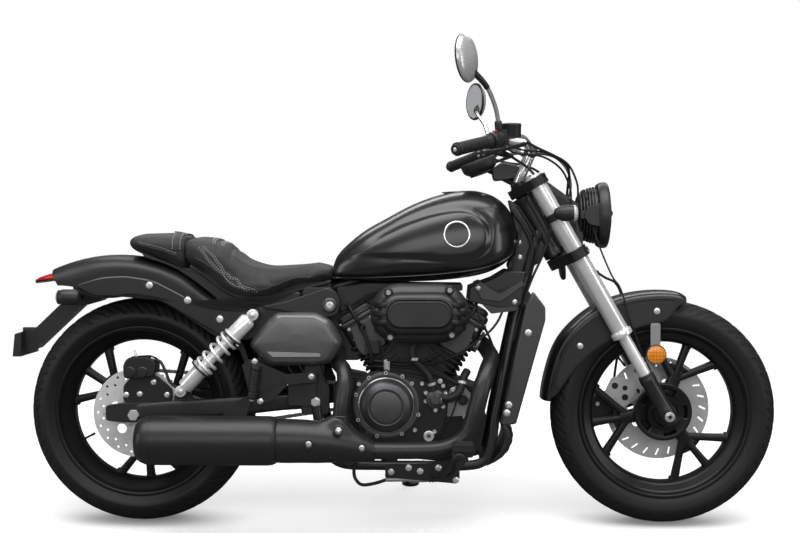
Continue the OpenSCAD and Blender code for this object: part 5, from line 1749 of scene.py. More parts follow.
    def left_side(self) -> None:
        """Left side: generator cover, sprocket guard and bolts."""
        s = self.shop
        outline = rounded([(-104, 200), (170, 200), (206, 240), (206, 330), (150, 378), (-20, 396),
                           (-104, 388)], 18, 6)
        guard = rounded([(-187, 280), (-160, 268), (-100, 262), (-100, 388), (-160, 390), (-187, 378)], 14, 5)
        base = slab(outline, 88.3, 104, 2.0) + slab(inset(outline, 7), 102, 114, 4.0)
        chain_side = slab(guard, 101, 114, 3.0)
        lid = lathe([(72, -2), (72, 12), (66, 22), (60, 24), (57, 22), (54, 24), (50, 26), (0, 26)],
                    (46, -114, 306), (0, -1, 0), 72)
        s.make("left_cover", (base + chain_side + lid).mirrored(), ENGINE_BLACK,
               replaces=("left_engine_cover",))
        places = [(-88, 216), (0, 212), (90, 212), (160, 214), (194, 248), (194, 322), (148, 366), (60, 380),
                  (-30, 386), (-92, 374), (-174, 290), (-174, 368)]
        at = np.array([(x, 113.0, z) for x, z in places], float)
        s.make("left_cover_bolts", bolts(at, (0, 1, 0), 4.6, 5.5, Head.SOCKET), BOLT)
        s.make("sprocket_boss", lathe([(26, 84), (26, 94), (20, 96), (0, 96)], (-158, 0, 330), (0, 1, 0), 30),
               STEEL)
        lever = slab(rounded([(-132, 232), (-118, 232), (-92, 300), (-106, 300)], 6), -124, -118, 1.2)
        s.make("shift_lever", lever + lathe([(7, 114), (7, 126), (6, 127)], (-99, 0, 292), (0, 1, 0), 18),
               STEEL)
        s.make("shift_rod", hose([(-125, 126, 236), (-30, 132, 200), (60, 140, 176), (112, 146, 166)], 3.6,
                                 12), STEEL)

    def air_cleaner(self) -> None:
        """Air cleaner: an oval dome with stepped rings, side ribs, a bare badge plate and bolts."""
        s = self.shop
        m = np.array([[1, 0, 0], [0, 0, -1], [0, 1, 0]], float)
        c = np.array([49.5, 0.0, 580.0])

        def oval(length: float, radius: float) -> Array:
            """An oval outline about the cleaner's middle."""
            return stadium(length, radius, 30)

        rows = [(0.0, 138, 256, 76), (0.0, 142, 260, 78), (0.0, 150, 260, 78), (0.0, 158, 259, 77.5),
                (0.0, 164, 252, 74.5), (0.0, 172, 240, 68.5), (0.0, 178, 226, 62), (0.0, 181, 214, 56.5),
                (0.0, 188, 208, 54), (0.0, 196, 202, 51), (0.0, 202, 192, 46), (0.0, 205, 180, 40.5),
                (0.0, 205.6, 172, 37.5), (0.0, 203.0, 170, 36.2), (0.0, 202.4, 168, 35), (0.0, 209, 166, 34),
                (0.0, 212.5, 163, 32.6), (0.0, 213, 158, 30), (0.0, 211.4, 156, 29), (0.0, 211.4, 150, 26)]
        rings = np.stack([np.column_stack([oval(w, r), np.full(60, h)]) for _, h, w, r in rows])
        shell = closed(rings @ m.T + c)
        s.make("air_cleaner_shell", shell, Cast("cleaner_casting", "engine_black", rgb(0.04, 0.04, 0.042),
                                                rough=0.34, metallic=0.45, depth=0.12),
               replaces=("air_cleaner",), angle=30)
        ribs = []
        for side in (-1, 1):
            for z in (-22.0, 0.0, 22.0):
                x0, x1 = side * 84.0, side * (52.0 + math.sqrt(78 ** 2 - z ** 2) * 0.9)
                path = np.array([(x0, -205, z), (x0 + (x1 - x0) * 0.35, -199, z),
                                 (x0 + (x1 - x0) * 0.7, -184, z), (x1, -164, z)]) + c
                ribs.append(sweep(smooth(path, 5), np.linspace(6.4, 8.4, 16), 14, (0, 0, 1), 0.35))
        s.make("air_cleaner_ribs", union(ribs), ENGINE_BLACK)
        at = np.array([(-31, -186, 635), (128, -186, 641), (-26, -186, 519), (133, -186, 525)], float)
        s.make("air_cleaner_bolts", bolts(at, (0, -1, 0), 6.6, 6.0, Head.SOCKET), STEEL)
        bosses = union([lathe([(12, -10), (12, -1), (10.5, 0.6)], p, (0, -1, 0), 24) for p in at])
        s.make("air_cleaner_bosses", bosses, ENGINE_BLACK)
        trunk = [lathe([(30, 20), (30, 60), (34, 66), (34, 128), (40, 139)], (30, 0, 590), (0, -1, 0), 36)]
        posts = [lathe([(10, 62), (11, 64), (11, 139)], (x, 0, 535), (0, -1, 0), 20) for x in (-60, 120)]
        s.make("intake_trunk", union(trunk + posts), RUBBER, replaces=("air_cleaner",))
        s.make("intake_clamp", ringed([(34, 90), (36, 90), (36, 98), (34, 98)], (30, 0, 590), (0, -1, 0), 40),
               BOLT)

    def pump(self) -> None:
        """Water pump: scalloped body, hub, hoses with clips."""
        s = self.shop
        c = np.array([92.0, -112.0, 350.0])
        body = lathe([(26, 0), (26, 10), (24, 14), (18, 16), (15, 17), (14, 20), (14, 26), (12, 28), (0, 28)],
                     c, (0, -1, 0), 40)
        ears = union([lathe([(8, 0), (8, 9), (7, 10)], c + [30 * math.cos(a), 0, 30 * math.sin(a)],
                            (0, -1, 0), 18) for a in (0.5, 2.6, 4.7)])
        s.make("pump_body", body + ears, ENGINE_GREY, replaces=("water_pump",))
        at = np.array([c + [30 * math.cos(a), -10, 30 * math.sin(a)] for a in (0.5, 2.6, 4.7)])
        s.make("pump_bolts", bolts(at, (0, -1, 0), 4.4, 4.0), BOLT)
        low = hose([(98, -121, 356), (124, -124, 352), (148, -122, 362), (160, -114, 384), (166, -102, 404),
                    (176, -84, 420)], 11, 20)
        s.make("pump_hose", low, RUBBER, replaces=("water_pump",))
        up = hose([(86, -124, 372), (78, -124, 404), (60, -120, 430), (36, -118, 452), (30, -114, 480),
                   (44, -108, 506)], 9.5, 18)
        s.make("upper_hose", up, RUBBER)
        clips = [((104, -121, 350), (1, 0, 0.05), 11.2), ((162, -110, 392), (0.2, 0.3, 1), 11.2),
                 ((82, -124, 390), (-0.3, 0, 1), 9.7), ((36, -117, 456), (0, 0, 1), 9.7)]
        rings = [ringed([(r, -3.5), (r + 1.4, -3.5), (r + 1.4, 3.5), (r, 3.5)], p, d, 32)
                 for p, d, r in clips]
        s.make("hose_clips", union(rings), BOLT)

    def sundries(self) -> None:
        """Bracket plates, sensors, wires and the filter that fill the space round the engine."""
        s = self.shop
        outline = rounded([(122, 300), (128, 372), (160, 392), (190, 356), (186, 304)], 6)
        s.make("bracket_plate", slab(outline, 100, 104, 0.8), TRIM_GREY)
        s.make("bracket_hole", lathe([(14, 0), (14, 3), (11, 4), (10, 2), (0, 2)], (165, -104, 345),
                                     (0, -1, 0), 32), SATIN)
        filler = slab(rounded([(-70, 420), (130, 410), (96, 520), (40, 560), (-24, 520)], 12, 5), -52, 52,
                      4.0)
        s.make("vee_filler", filler, SATIN)
        hidden = slab(rounded([(-196, 444), (-112, 444), (-70, 520), (-64, 622), (-196, 622)], 12, 5), -46,
                      46, 4.0)
        s.make("air_box", hidden, SATIN)
        s.make("bracket_bolts", bolts([(138, -104, 372), (170, -100, 300), (84, -112, 396), (104, -112, 396)],
                                      (0, -1, 0), 6, 5), BOLT)
        wires = [hose([(-100, -60, 440), (-60, -84, 446), (0, -92, 438), (60, -88, 446), (110, -78, 470)],
                      4.0), hose([(-96, -70, 430), (-50, -90, 432), (20, -96, 430), (78, -100, 416),
                                  (130, -104, 400), (150, -104, 384)], 2.6),
                 hose([(-150, -60, 600), (-110, -80, 540), (-84, -86, 480), (-80, -80, 440)], 4.4),
                 hose([(184, -40, 640), (200, -74, 600), (214, -84, 556), (240, -80, 500), (256, -84, 440)],
                      3.4), hose([(110, -100, 400), (146, -106, 390), (150, -108, 356), (132, -110, 300),
                                  (110, -106, 280)], 2.4)]
        s.make("engine_wires", union(wires), RUBBER)
        box = slab(rounded([(-96, 466), (-58, 466), (-58, 500), (-96, 500)], 4), 60, 84, 1.4)
        s.make("coil_box", box, SATIN)
        s.make("starter", lathe([(20, -44), (26, -40), (26, 40), (20, 44)], (30, 0, 432), (0, 1, 0), 36),
               ENGINE_BLACK)
        duct = [lathe([(18, 0), (20, 3), (20, 14), (18, 60)], (x, -4, 540), (dx, 0, 0.2), 28)
                for x, dx in ((24, -1), (36, 1))]
        s.make("intake_tracts", union(duct), RUBBER)
        s.make("sump_plug", bolts([(60, 0, 188)], (0, 0, -1), 10, 6), BOLT)


@dataclass
class Exhaust:
    """Headers, collector and muffler."""

    shop: Shop
    pipe: float = 22.0

    def dress(self) -> None:
        """Builds the exhaust as smooth sweeps and turned shapes."""
        s = self.shop

        def port(side: float) -> Array:
            """Where a header leaves its head."""
            return np.array([30 + side * (255 * 0.5 + 57.3 * 0.8660254), 0,
                             300 + 255 * 0.8660254 - 57.3 * 0.5])

        front = smooth([port(1), port(1) + [16, -6, -9], (236, -50, 466), (240, -100, 454), (227, -150, 430),
                        (213, -180, 393), (199, -190, 340), (180, -190, 280), (150, -190, 246),
                        (105, -190, 229), (40, -190, 225), (-68, -190, 224)], 8)
        rear = smooth([port(-1), port(-1) + [-14, -8, -8], (-172, -50, 466), (-168, -100, 444),
                       (-150, -146, 428), (-146, -176, 396), (-152, -190, 350), (-157, -193, 300)], 8)
        s.make("front_header_pipe", sweep(front, self.pipe, 36, (0.1, 1, 1)), PIPE_BLACK,
               replaces=("front_header",))
        s.make("rear_header_pipe", sweep(rear, self.pipe - 1.5, 36, (0.1, 1, 1)), PIPE_BLACK,
               replaces=("rear_header",))
        self.collector()
        self.muffler()
        flanges = []
        for path in (front, rear):
            t = unit(path[3] - path[0])
            flanges.append(ringed([(21, 1), (31, 1), (31, 7), (29, 9), (21, 9)], path[0], t, 40))
        s.make("port_flanges", union(flanges), BOLT)
        shield = even(front, 160)[46:92]
        u, v = frames(shield, (0.1, 1, 1))
        a = np.linspace(-1.35, 1.35, 20) + 3.6
        r = self.pipe + 2.2
        pts = shield[:, None] + r * (np.cos(a)[None, :, None] * u[:, None] + np.sin(a)[None, :, None]
                                     * v[:, None])
        inner = shield[:, None] + (r - 1.4) * (np.cos(a)[None, ::-1, None] * u[:, None]
                                               + np.sin(a)[None, ::-1, None] * v[:, None])
        s.make("header_shield", closed(np.concatenate([pts, inner], axis=1)), PIPE_BLACK)

    def collector(self) -> None:
        """Collector: rings widen from the header to the muffler, and bulge up into the rear pipe's foot.

        Each ring's radius grows by a smooth bump in x times a lobe about the upward direction, so
        that the vertical branch flows into the body without an edge.
        """
        s = self.shop
        rows = np.array([(-66, -190, 224, 23.5), (-72, -190, 224.5, 26), (-80, -190, 226, 29.5),
                         (-100, -191, 230.5, 36), (-120, -192, 235, 41), (-150, -193.5, 241, 47),
                         (-183, -195, 246, 52), (-215, -196.5, 248, 54.6), (-250, -198, 250, 56),
                         (-285, -199, 250.6, 57), (-314, -200, 251, 57), (-318, -200, 251, 55.5)], float)
        x = np.linspace(rows[0, 0], rows[-1, 0], 110)
        cols = [np.interp(x, rows[::-1, 0], rows[::-1, i]) for i in (1, 2, 3)]
        for i in range(3):
            k = np.convolve(np.pad(cols[i], 4, mode="edge"),
                            np.hanning(11)[1:-1] / np.hanning(11)[1:-1].sum(), mode="valid")
            cols[i][3:-3] = k[3:-3]
        a = np.linspace(0, 2 * np.pi, 64, endpoint=False)
        up = np.clip(np.cos(a), 0, 1)[None, :]
        skirt = np.exp(-((x + 157) / 34.0) ** 2)[:, None]
        width = np.exp(-(np.sin(a) * cols[2][:, None] / 27.0) ** 4)
        grow = skirt * up * width * 30.0
        r = cols[2][:, None] + grow
        pts = np.stack([np.broadcast_to(x[:, None], r.shape), cols[0][:, None] - r * np.sin(a)[None],
                        cols[1][:, None] + r * np.cos(a)[None]], -1)
        s.make("collector_body", closed(pts), PIPE_BLACK, replaces=("exhaust_collector",), angle=50)
        neck = lathe([(34, -2), (29, 8), (26.4, 20), (25.2, 34), (25.2, 40), (24, 41.5), (21, 41.5)],
                     (-157, -193, 276), (0, 0, 1), 48)
        s.make("collector_neck", neck, PIPE_BLACK, replaces=("exhaust_collector",))
        seam = ringed([(23.4, -1), (24.6, -0.6), (24.6, 0.6), (23.4, 1)], (-67, -190, 224), (1, 0, 0), 48)
        s.make("collector_seam", seam, PIPE_BLACK)
        places = np.array([(-232, -254.0, 252), (-157, -240, 285), (-98, -228.0, 238)], float)
        out = np.array([(0, -1, 0), (0, -1, 0.25), (0, -1, 0)], float)
        cups = union([ringed([(12, -6), (12.6, 0.4), (10.5, 1.6), (8.6, 0.6), (8.0, -6)], p, d, 32)
                      for p, d in zip(places, out)])
        s.make("collector_cups", cups, PIPE_BLACK)
        heads = union([bolts([p + np.array([0, 2.0, 0])], d, 7.6, 5.0, Head.DOME)
                       for p, d in zip(places, out)])
        s.make("collector_bolts", heads, BOLT)

    def muffler(self) -> None:
        """Muffler: a turned can with rolled ends, an end cap and a hollow outlet, and its strap."""
        s = self.shop
        c = (-318.3, -200, 251)
        can = [(24, 240), (24, 362), (26, 366), (30, 367.6), (38, 368), (46, 365.5), (53, 360), (58, 352),
               (60.2, 346), (60.6, 343.6), (61.8, 343), (63.4, 336), (64, 326), (64, 40), (63.9, 24),
               (62.8, 14), (60, 6), (57, 1), (55.4, 0), (30, 0), (30, 6), (30, 240)]
        s.make("muffler_can", ringed(can, c, (-1, 0, 0), 120), PIPE_BLACK, replaces=("muffler",))
        s.make("muffler_inside", lathe([(23.6, 239), (0, 239.5)], c, (-1, 0, 0), 48), SATIN_FRAME)
        hoops = [ringed([(64, z - 1.2), (64.7, z - 0.8), (64.7, z + 0.8), (64, z + 1.2)], c, (-1, 0, 0), 120)
                 for z in (326.0,)]
        s.make("muffler_hoop", union(hoops), PIPE_BLACK)
        strap = slab(rounded([(-470, 298), (-410, 298), (-396, 340), (-300, 392), (-312, 404), (-420, 352),
                              (-470, 326)], 6), 131, 137, 1.2)
        s.make("muffler_bracket", strap, SATIN_FRAME)
        s.make("muffler_bolt", bolts([(-393, -137, 352)], (0, -1, 0), 8, 5, Head.SOCKET), BOLT)


# ---------------------------------------------------------------- tank, seats, fenders and covers


TANK = np.array([(-186, 670, 704, 0.42), (-176, 664, 728, 0.52), (-150, 660, 757, 0.62),
                 (-100, 657, 797, 0.75), (-40, 656, 831, 0.86), (20, 656, 863, 0.94), (80, 658, 887, 0.99),
                 (140, 663, 902, 1), (190, 670, 905.5, 0.98), (230, 680, 898, 0.92), (260, 693, 884, 0.83),
                 (283, 708, 864, 0.7), (298, 726, 842, 0.56), (307, 748, 818, 0.4), (311, 766, 802, 0.24)],
                float)
TEAR = np.array([(-142, 728), (-118, 741), (-60, 778), (0, 810), (60, 833), (108, 845), (150, 850),
                 (182, 846), (210, 832), (228, 810), (234, 786), (230, 760), (216, 740), (192, 727),
                 (150, 720), (104, 719), (40, 724), (-40, 726), (-100, 726)], float)


def edge_distance(points: Array, outline: Array) -> Array:
    """Signed distance from flat points to a closed outline, positive inside.

    Args:
        points: flat points, one a row.
        outline: points of the closed outline.
    Returns:
        One distance for each point.
    """
    a, b = outline, np.roll(outline, -1, axis=0)
    p = points[..., None, :]
    ab = b - a
    t = np.clip(((p - a) * ab).sum(-1) / (ab * ab).sum(-1), 0, 1)
    gap = np.linalg.norm(p - (a + t[..., None] * ab), axis=-1).min(-1)
    x, z = points[..., 0, None], points[..., 1, None]
    crosses = ((a[:, 1] > z) != (b[:, 1] > z)) & (x < (b[:, 0] - a[:, 0]) * (z - a[:, 1]) / (b[:, 1] - a[:, 1]
            + 1e-9) + a[:, 0])
    return gap * np.where(crosses.sum(-1) % 2 == 1, 1.0, -1.0)


@dataclass
class Tank:
    """Teardrop tank with its raised side field, bottom lip, bare ring badge and filler."""

    shop: Shop
    half: float = 150.0
    relief: float = 2.6

    def point(self, u: Array, a: Array) -> Array:
        """Points of the tank: u runs from tail to nose over the stations, a round each ring.

        A station gives the middle height, top, bottom and half width; its ring is a cosine pair
        with signed powers that square the shoulders and the flat bottom.

        Args:
            u: place along the tank, from 0 to 1.
            a: angle round the section.
        Returns:
            The points.
        """
        st = smooth(TANK, 24)
        idx = np.clip(u, 0, 1) * (len(st) - 1)
        row = np.stack([np.interp(idx, np.arange(len(st)), st[:, i]) for i in range(4)], -1)
        x, low, high, share = row[..., 0], row[..., 1], row[..., 2], row[..., 3]
        mid = low + (high - low) * 0.36
        w = self.half * share
        c, q = np.cos(a), np.sin(a)
        y = w * lobe(c, 0.72)
        z = np.where(q > 0, mid + (high - mid) * np.abs(q) ** 0.9, mid - (mid - low) * np.abs(q) ** 0.55)
        return np.stack([x + 0 * y, y, z], -1)

    def dress(self) -> None:
        """Builds the tank and what is on it."""
        s = self.shop
        rows, cols = 216, 180
        u = np.linspace(0, 1, rows)[:, None] * np.ones((1, cols))
        base = np.linspace(0, 2 * np.pi, cols, endpoint=False)
        a = (base - 0.16 * np.sin(2 * base))[None, :] * np.ones((rows, 1))
        p = self.point(u, a)
        du, da = np.gradient(p, axis=0), np.roll(p, -1, 1) - np.roll(p, 1, 1)
        n = unit(np.cross(da, du))
        n = np.where((n * (p - np.array([60, 0, 760]))).sum(-1, keepdims=True) < 0, -n, n)
        inside = edge_distance(p[..., [0, 2]].reshape(-1, 2), smooth(np.vstack([TEAR, TEAR[:1]]),
                                                                     6)[:-1]).reshape(rows, cols)
        side = np.clip((np.abs(p[..., 1]) - 40) / 30, 0, 1)
        rise = np.clip(inside / 13.0, 0, 1)
        rise = rise * rise * (3 - 2 * rise)
        upper = np.clip((p[..., 2] - 770) / 50, 0, 1) * np.clip((p[..., 0] + 150) / 80, 0, 1)
        groove = np.exp(-((inside + 5.0) / (4.0 + 7.0 * upper)) ** 2) * np.clip((p[..., 0] + 130) / 120, 0.15,
                1)
        q = p + n * ((rise * self.relief - groove * (1.2 + 2.4 * upper)) * side - 1.2)[..., None]
        shell = closed(q)
        s.make("tank_shell", shell, GLOSS, replaces=("fuel_tank",), angle=70)
        lip = []
        for sign in (1, -1):
            uu = np.linspace(0.02, 0.985, 160)
            ang = np.where(sign > 0, -0.62, np.pi + 0.62) * np.ones_like(uu)
            path = self.point(uu, ang)
            lip.append(sweep(path, 2.6, 10, (0.02, 0.1, 1.0)))
        s.make("tank_lip", union(lip), GLOSS)
        for sign, name in ((-1, "right"), (1, "left")):
            self.badge(sign, name)
        c = (150, 0, 878.0)
        cap = lathe([(35.3, 1), (35.3, 21.4), (34.8, 22.6), (33, 23.4), (30, 23.8), (27, 24), (25.6, 23.4),
                     (24.4, 23.4), (23.4, 24.2), (14, 24.8), (0, 25.0)], c, (0, 0, 1), 64)
        s.make("filler_lid", cap, GLOSS, replaces=("filler_cap",))
        ring = ringed([(36.2, 18.5), (40, 19.2), (41, 20.6), (39.6, 22), (36.6, 22.2)], (150, 0, 879.0),
                      (0, 0, 1), 72)
        s.make("filler_ring", ring, GLOSS)
        slot = slab(stadium(16, 3.4, 8), 24.6, 25.4, 0.3, np.eye(3), c)
        s.make("key_flap", slot, STEEL)

    def side(self, x: Array, z: Array) -> Array:
        """Half width of the tank at a point of its side view, above the widest line of each ring.

        Args:
            x: distance along the bike.
            z: height.
        Returns:
            One half width for each place.
        """
        st = smooth(TANK, 24)
        low, high, share = (np.interp(x, st[:, 0], st[:, i]) for i in (1, 2, 3))
        mid = low + (high - low) * 0.36
        q = np.clip((z - mid) / (high - mid), 0, 1) ** (1 / 0.9)
        return self.half * share * np.sqrt(1 - q * q) ** 0.72

    def badge(self, sign: int, name: str) -> None:
        """A bare ring laid on the side field, each point set on the tank's own surface.

        Args:
            sign: side of the bike.
            name: for the piece.
        """
        a = np.linspace(0, 2 * np.pi, 120, endpoint=False)[None, :]
        t = np.linspace(0, 2 * np.pi, 12, endpoint=False)[:, None]
        r = 33.0 + 2.2 * np.cos(t)
        x, z = 147 + r * np.cos(a), 786 + r * np.sin(a)
        y = self.side(x, z) + self.relief - 1.2 + 1.0 + 1.1 * np.sin(t)
        self.shop.make("badge_ring_" + name, outward(sheet(np.stack([x, sign * y, z], -1), True, True)),
                       CHROME)


@dataclass
class Seats:
    """Rider and pillion seats: padded skins blown up by cloth simulation, seams, strap and bases."""

    shop: Shop
    voxel: float = 7.0
    half: float = 150.0

    RIDER = ((-187, 0.48, 661, 700), (-200, 0.55, 659, 713), (-250, 0.76, 646, 704), (-300, 0.92, 630, 699),
             (-363, 1, 611, 697), (-416, 0.99, 611, 712), (-450, 0.95, 624, 736), (-490, 0.9, 648, 768),
             (-530, 0.84, 680, 783), (-560, 0.78, 700, 786), (-577, 0.7, 712, 780))
    PILLION = ((-730, 0.53, 743, 780), (-726, 0.59, 738, 784), (-710, 0.63, 731, 787),
               (-680, 0.667, 722.4, 788), (-640, 0.7, 707.4, 789), (-605, 0.733, 690, 790),
               (-583, 0.74, 680, 790))

    def pad(self, name: str, stations: Sequence, shrink: float, cap: float,
            cuts: Sequence[float]) -> bpy.types.Object:
        """A seat pad.

        The shape is a loft of squared ovals, a little inside the final size. Cloth pressure swells
        it, the movement is capped, and the underside keeps its place.

        Args:
            name: the piece's name.
            stations: rows of x, half width share, bottom and top.
            shrink: how far inside the final shape the pad starts, in millimetres.
            cap: the farthest that a point may move, in millimetres.
            cuts: x places where sewn valleys cross the top.
        Returns:
            The finished object.
        """
        st = smooth(np.array(stations, float), 8)
        ang = np.linspace(0, 2 * np.pi, 84, endpoint=False)
        x, share, low, high = st.T
        zc, h = (low + high) / 2, (high - low) / 2 - shrink
        w = self.half * share - shrink
        y = w[:, None] * lobe(np.cos(ang), 0.5)[None]
        z = zc[:, None] + h[:, None] * lobe(np.sin(ang), 0.62)[None]
        x2 = x.copy()
        x2[0] -= shrink * 0.6
        x2[-1] += shrink * 0.6
        pts = np.stack([np.broadcast_to(x2[:, None], y.shape), y, z], -1)
        surf = closed(pts)
        mesh = bpy.data.meshes.new(name)
        mesh.from_pydata(parked(surf.verts).tolist(), [], surf.quads.tolist() + surf.tris.tolist())
        obj = bpy.data.objects.new(name, mesh)
        bpy.context.scene.collection.objects.link(obj)
        self.blow(obj, cap)
        me = obj.data
        co = np.empty(len(me.vertices) * 3)
        me.vertices.foreach_get("co", co)
        p = self.unparked(co.reshape(-1, 3))
        p = self.fitted(p, stations, cuts)
        me.vertices.foreach_set("co", parked(p).ravel())
        me.update()
        return obj

    @staticmethod
    def unparked(points: Array) -> Array:
        """Row metres back to upright bike millimetres.

        Args:
            points: points, one a row.
        Returns:
            The points in the bike frame.
        """
        p = points * 1000.0 + np.array([MIDDLE[0], MIDDLE[1], -LIFT])
        c, s = math.cos(LEAN), math.sin(LEAN)
        return np.stack([p[:, 0], p[:, 1] * c - p[:, 2] * s, p[:, 1] * s + p[:, 2] * c], -1)

    def fitted(self, p: Array, stations: Sequence, cuts: Sequence[float]) -> Array:
        """Keeps the pad inside its seat's space and sinks the sewn valleys and side seams.

        A point past the squared oval of its own x is drawn back onto it. Valleys are smooth dips
        of the top surface about each line.

        Args:
            p: the pad's points.
            stations: the pad's stations.
            cuts: places of the sewn valleys.
        Returns:
            The points inside the space.
        """
        st = smooth(np.array(stations, float), 8)
        order = np.argsort(st[:, 0])
        x = np.clip(p[:, 0], st[:, 0].min(), st[:, 0].max())
        share, low, high = (np.interp(x, st[order, 0], st[order, i]) for i in (1, 2, 3))
        zc, h, w = (low + high) / 2, (high - low) / 2, self.half * share
        yy, zz = np.abs(p[:, 1]) / w, np.abs(p[:, 2] - zc) / h
        size = (yy ** (2 / 0.42) + zz ** (2 / 0.55)) ** (0.42 / 2)
        over = np.maximum(size, 1.0)
        p = p.copy()
        p[:, 1] /= over
        p[:, 2] = zc + (p[:, 2] - zc) / over
        p[:, 0] = np.clip(p[:, 0], st[:, 0].min() - 2.0, st[:, 0].max() + 2.0)
        top = np.clip((p[:, 2] - zc) / (h + 1e-6), 0, 1)
        for place in cuts:
            off = p[:, 0] - place - np.abs(p[:, 1]) * 0.08
            p[:, 2] -= top * 5.0 * np.exp(-(off / 6.0) ** 2)
        return p

    def blow(self, obj: bpy.types.Object, cap: float) -> None:
        """Voxel remesh, cloth under pressure for 20 frames with capped movement, one subdivision.

        Args:
            obj: the pad.
            cap: the farthest that a point may move, in millimetres.
        """
        scene = bpy.context.scene
        bpy.context.view_layer.objects.active = obj
        mod = obj.modifiers.new("voxels", "REMESH")
        mod.mode = "VOXEL"
        mod.voxel_size = self.voxel / 1000.0
        self.applied(obj)
        start = np.empty(len(obj.data.vertices) * 3)
        obj.data.vertices.foreach_get("co", start)
        start = start.reshape(-1, 3)
        group = obj.vertex_groups.new(name="held")
        local = self.unparked(start)
        low = local[:, 2] < np.interp(local[:, 0], [local[:, 0].min(), local[:, 0].max()],
                                      [local[:, 2].min(), local[:, 2].min()]) + 4.0
        group.add([int(i) for i in np.nonzero(low)[0]], 1.0, "REPLACE")
        cloth = obj.modifiers.new("cloth", "CLOTH")
        cs = cloth.settings
        cs.quality = 4
        cs.mass = 0.4
        cs.tension_stiffness = cs.compression_stiffness = cs.shear_stiffness = 22.0
        cs.bending_stiffness = 2.0
        cs.use_pressure = True
        cs.uniform_pressure_force = 4.0
        cs.effector_weights.gravity = 0.0
        cs.vertex_group_mass = "held"
        cloth.point_cache.frame_start = 1
        cloth.point_cache.frame_end = 20
        for frame in range(1, 21):
            scene.frame_set(frame)
        solved = obj.evaluated_get(bpy.context.evaluated_depsgraph_get()).to_mesh()
        end = np.empty(len(solved.vertices) * 3)
        solved.vertices.foreach_get("co", end)
        end = end.reshape(-1, 3)
        obj.modifiers.clear()
        scene.frame_set(1)
        obj.vertex_groups.clear()
        move = end - start
        reach = np.linalg.norm(move, axis=1, keepdims=True)
        limit = cap / 1000.0
        move = move / np.maximum(reach, 1e-9) * (limit * np.tanh(reach / limit))
        obj.data.vertices.foreach_set("co", (start + move).ravel())
        obj.data.update()
        mod = obj.modifiers.new("round", "SUBSURF")
        mod.levels = mod.render_levels = 1
        self.applied(obj)

    @staticmethod
    def applied(obj: bpy.types.Object) -> None:
        """Applies a piece's modifiers to its mesh.

        Args:
            obj: the piece.
        """
        graph = bpy.context.evaluated_depsgraph_get()
        mesh = bpy.data.meshes.new_from_object(obj.evaluated_get(graph), depsgraph=graph)
        obj.modifiers.clear()
        old = obj.data
        obj.data = mesh
        bpy.data.meshes.remove(old)

    def tree(self, obj: bpy.types.Object) -> BVHTree:
        """A search tree of a finished pad, in the bike frame.

        Args:
            obj: the piece.
        Returns:
            The search tree.
        """
        me = obj.data
        co = np.empty(len(me.vertices) * 3)
        me.vertices.foreach_get("co", co)
        me.calc_loop_triangles()
        tri = np.empty(len(me.loop_triangles) * 3, dtype=np.int32)
        me.loop_triangles.foreach_get("vertices", tri)
        return BVHTree.FromPolygons(self.unparked(co.reshape(-1, 3)).tolist(), tri.reshape(-1, 3).tolist())

    @staticmethod
    def laid(tree: BVHTree, path: Array) -> tuple:
        """A path drawn onto the pad's nearest surface, with the normals there.

        Args:
            tree: search tree of the pad.
            path: points of the middle line.
        Returns:
            The points on the surface, and their normals.
        """
        pts, nrm = [], []
        for p in path:
            hit = tree.find_nearest(Vector(p))
            pts.append(hit[0])
            nrm.append(hit[1])
        return np.array(pts, float), np.array(nrm, float)

    def dress(self) -> None:
        """Builds both seats and everything sewn to them."""
        s = self.shop
        rider = self.pad("rider_pad", self.RIDER, 7.0, 24.0, (-497.0, -462.0))
        s.finish(rider, HIDE, "chassis", False, 80, ("rider_seat",))
        pillion = self.pad("pillion_pad", self.PILLION, 6.0, 22.0, ())
        s.finish(pillion, HIDE, "chassis", False, 80, ("pillion_seat",))
        tree, back = self.tree(rider), self.tree(pillion)
        threads, cords = [], []
        lines = [[(-530, 784), (-500, 742), (-466, 702), (-420, 656), (-376, 614)],
                 [(-548, 776), (-520, 728), (-480, 682), (-440, 640), (-408, 612)],
                 [(-508, 778), (-470, 730), (-430, 684), (-390, 646), (-352, 612)]]
        for k, line in enumerate(lines):
            for sign in (-1, 1):
                flat = smooth(line, 10)
                guess = np.stack([flat[:, 0], np.full(len(flat), sign * 168.0), flat[:, 1]], 1)
                pts, nrm = self.laid(tree, guess)
                pts = even(pts, 120)
                pts, nrm = self.laid(tree, pts)
                if k < 2:
                    for shift in (-2.4, 2.4):
                        side = unit(np.cross(nrm, np.gradient(pts, axis=0)))
                        q, m = self.laid(tree, pts + side * shift)
                        threads.append(stitches(q, m, 4.6, 2.4, 0.85))
                cords.append(sweep(pts - nrm * 0.9, 1.9, 8, (0, 0.2, 1)))
        for x in (-497.0, -462.0):
            y = np.linspace(-118, 118, 90)
            pts, nrm = self.laid(tree, np.stack([x + np.abs(y) * 0.08, y, np.full(90, 800.0)], 1))
            for shift in (-3.2, 3.2):
                q, m = self.laid(tree, pts + np.array([shift, 0, 0]))
                threads.append(stitches(q, m, 4.6, 2.4, 0.85))
        edge = np.array([(-192, 690), (-250, 682), (-300, 664), (-363, 640), (-416, 634), (-452, 652),
                         (-490, 682), (-530, 708), (-566, 722)], float)
        for sign in (-1, 1):
            flat = smooth(edge, 10)
            pts, nrm = self.laid(tree,
                                 np.stack([flat[:, 0], np.full(len(flat), sign * 170.0), flat[:, 1] - 14], 1))
            cords.append(sweep(pts - nrm * 0.6, 2.4, 10, (0, 0.2, 1)))
        hem = np.array([(-724, 750), (-700, 742), (-650, 730), (-600, 722)], float)
        for sign in (-1, 1):
            flat = smooth(hem, 10)
            pts, nrm = self.laid(back, np.stack([flat[:, 0], np.full(len(flat), sign * 140.0), flat[:, 1]],
                                                1))
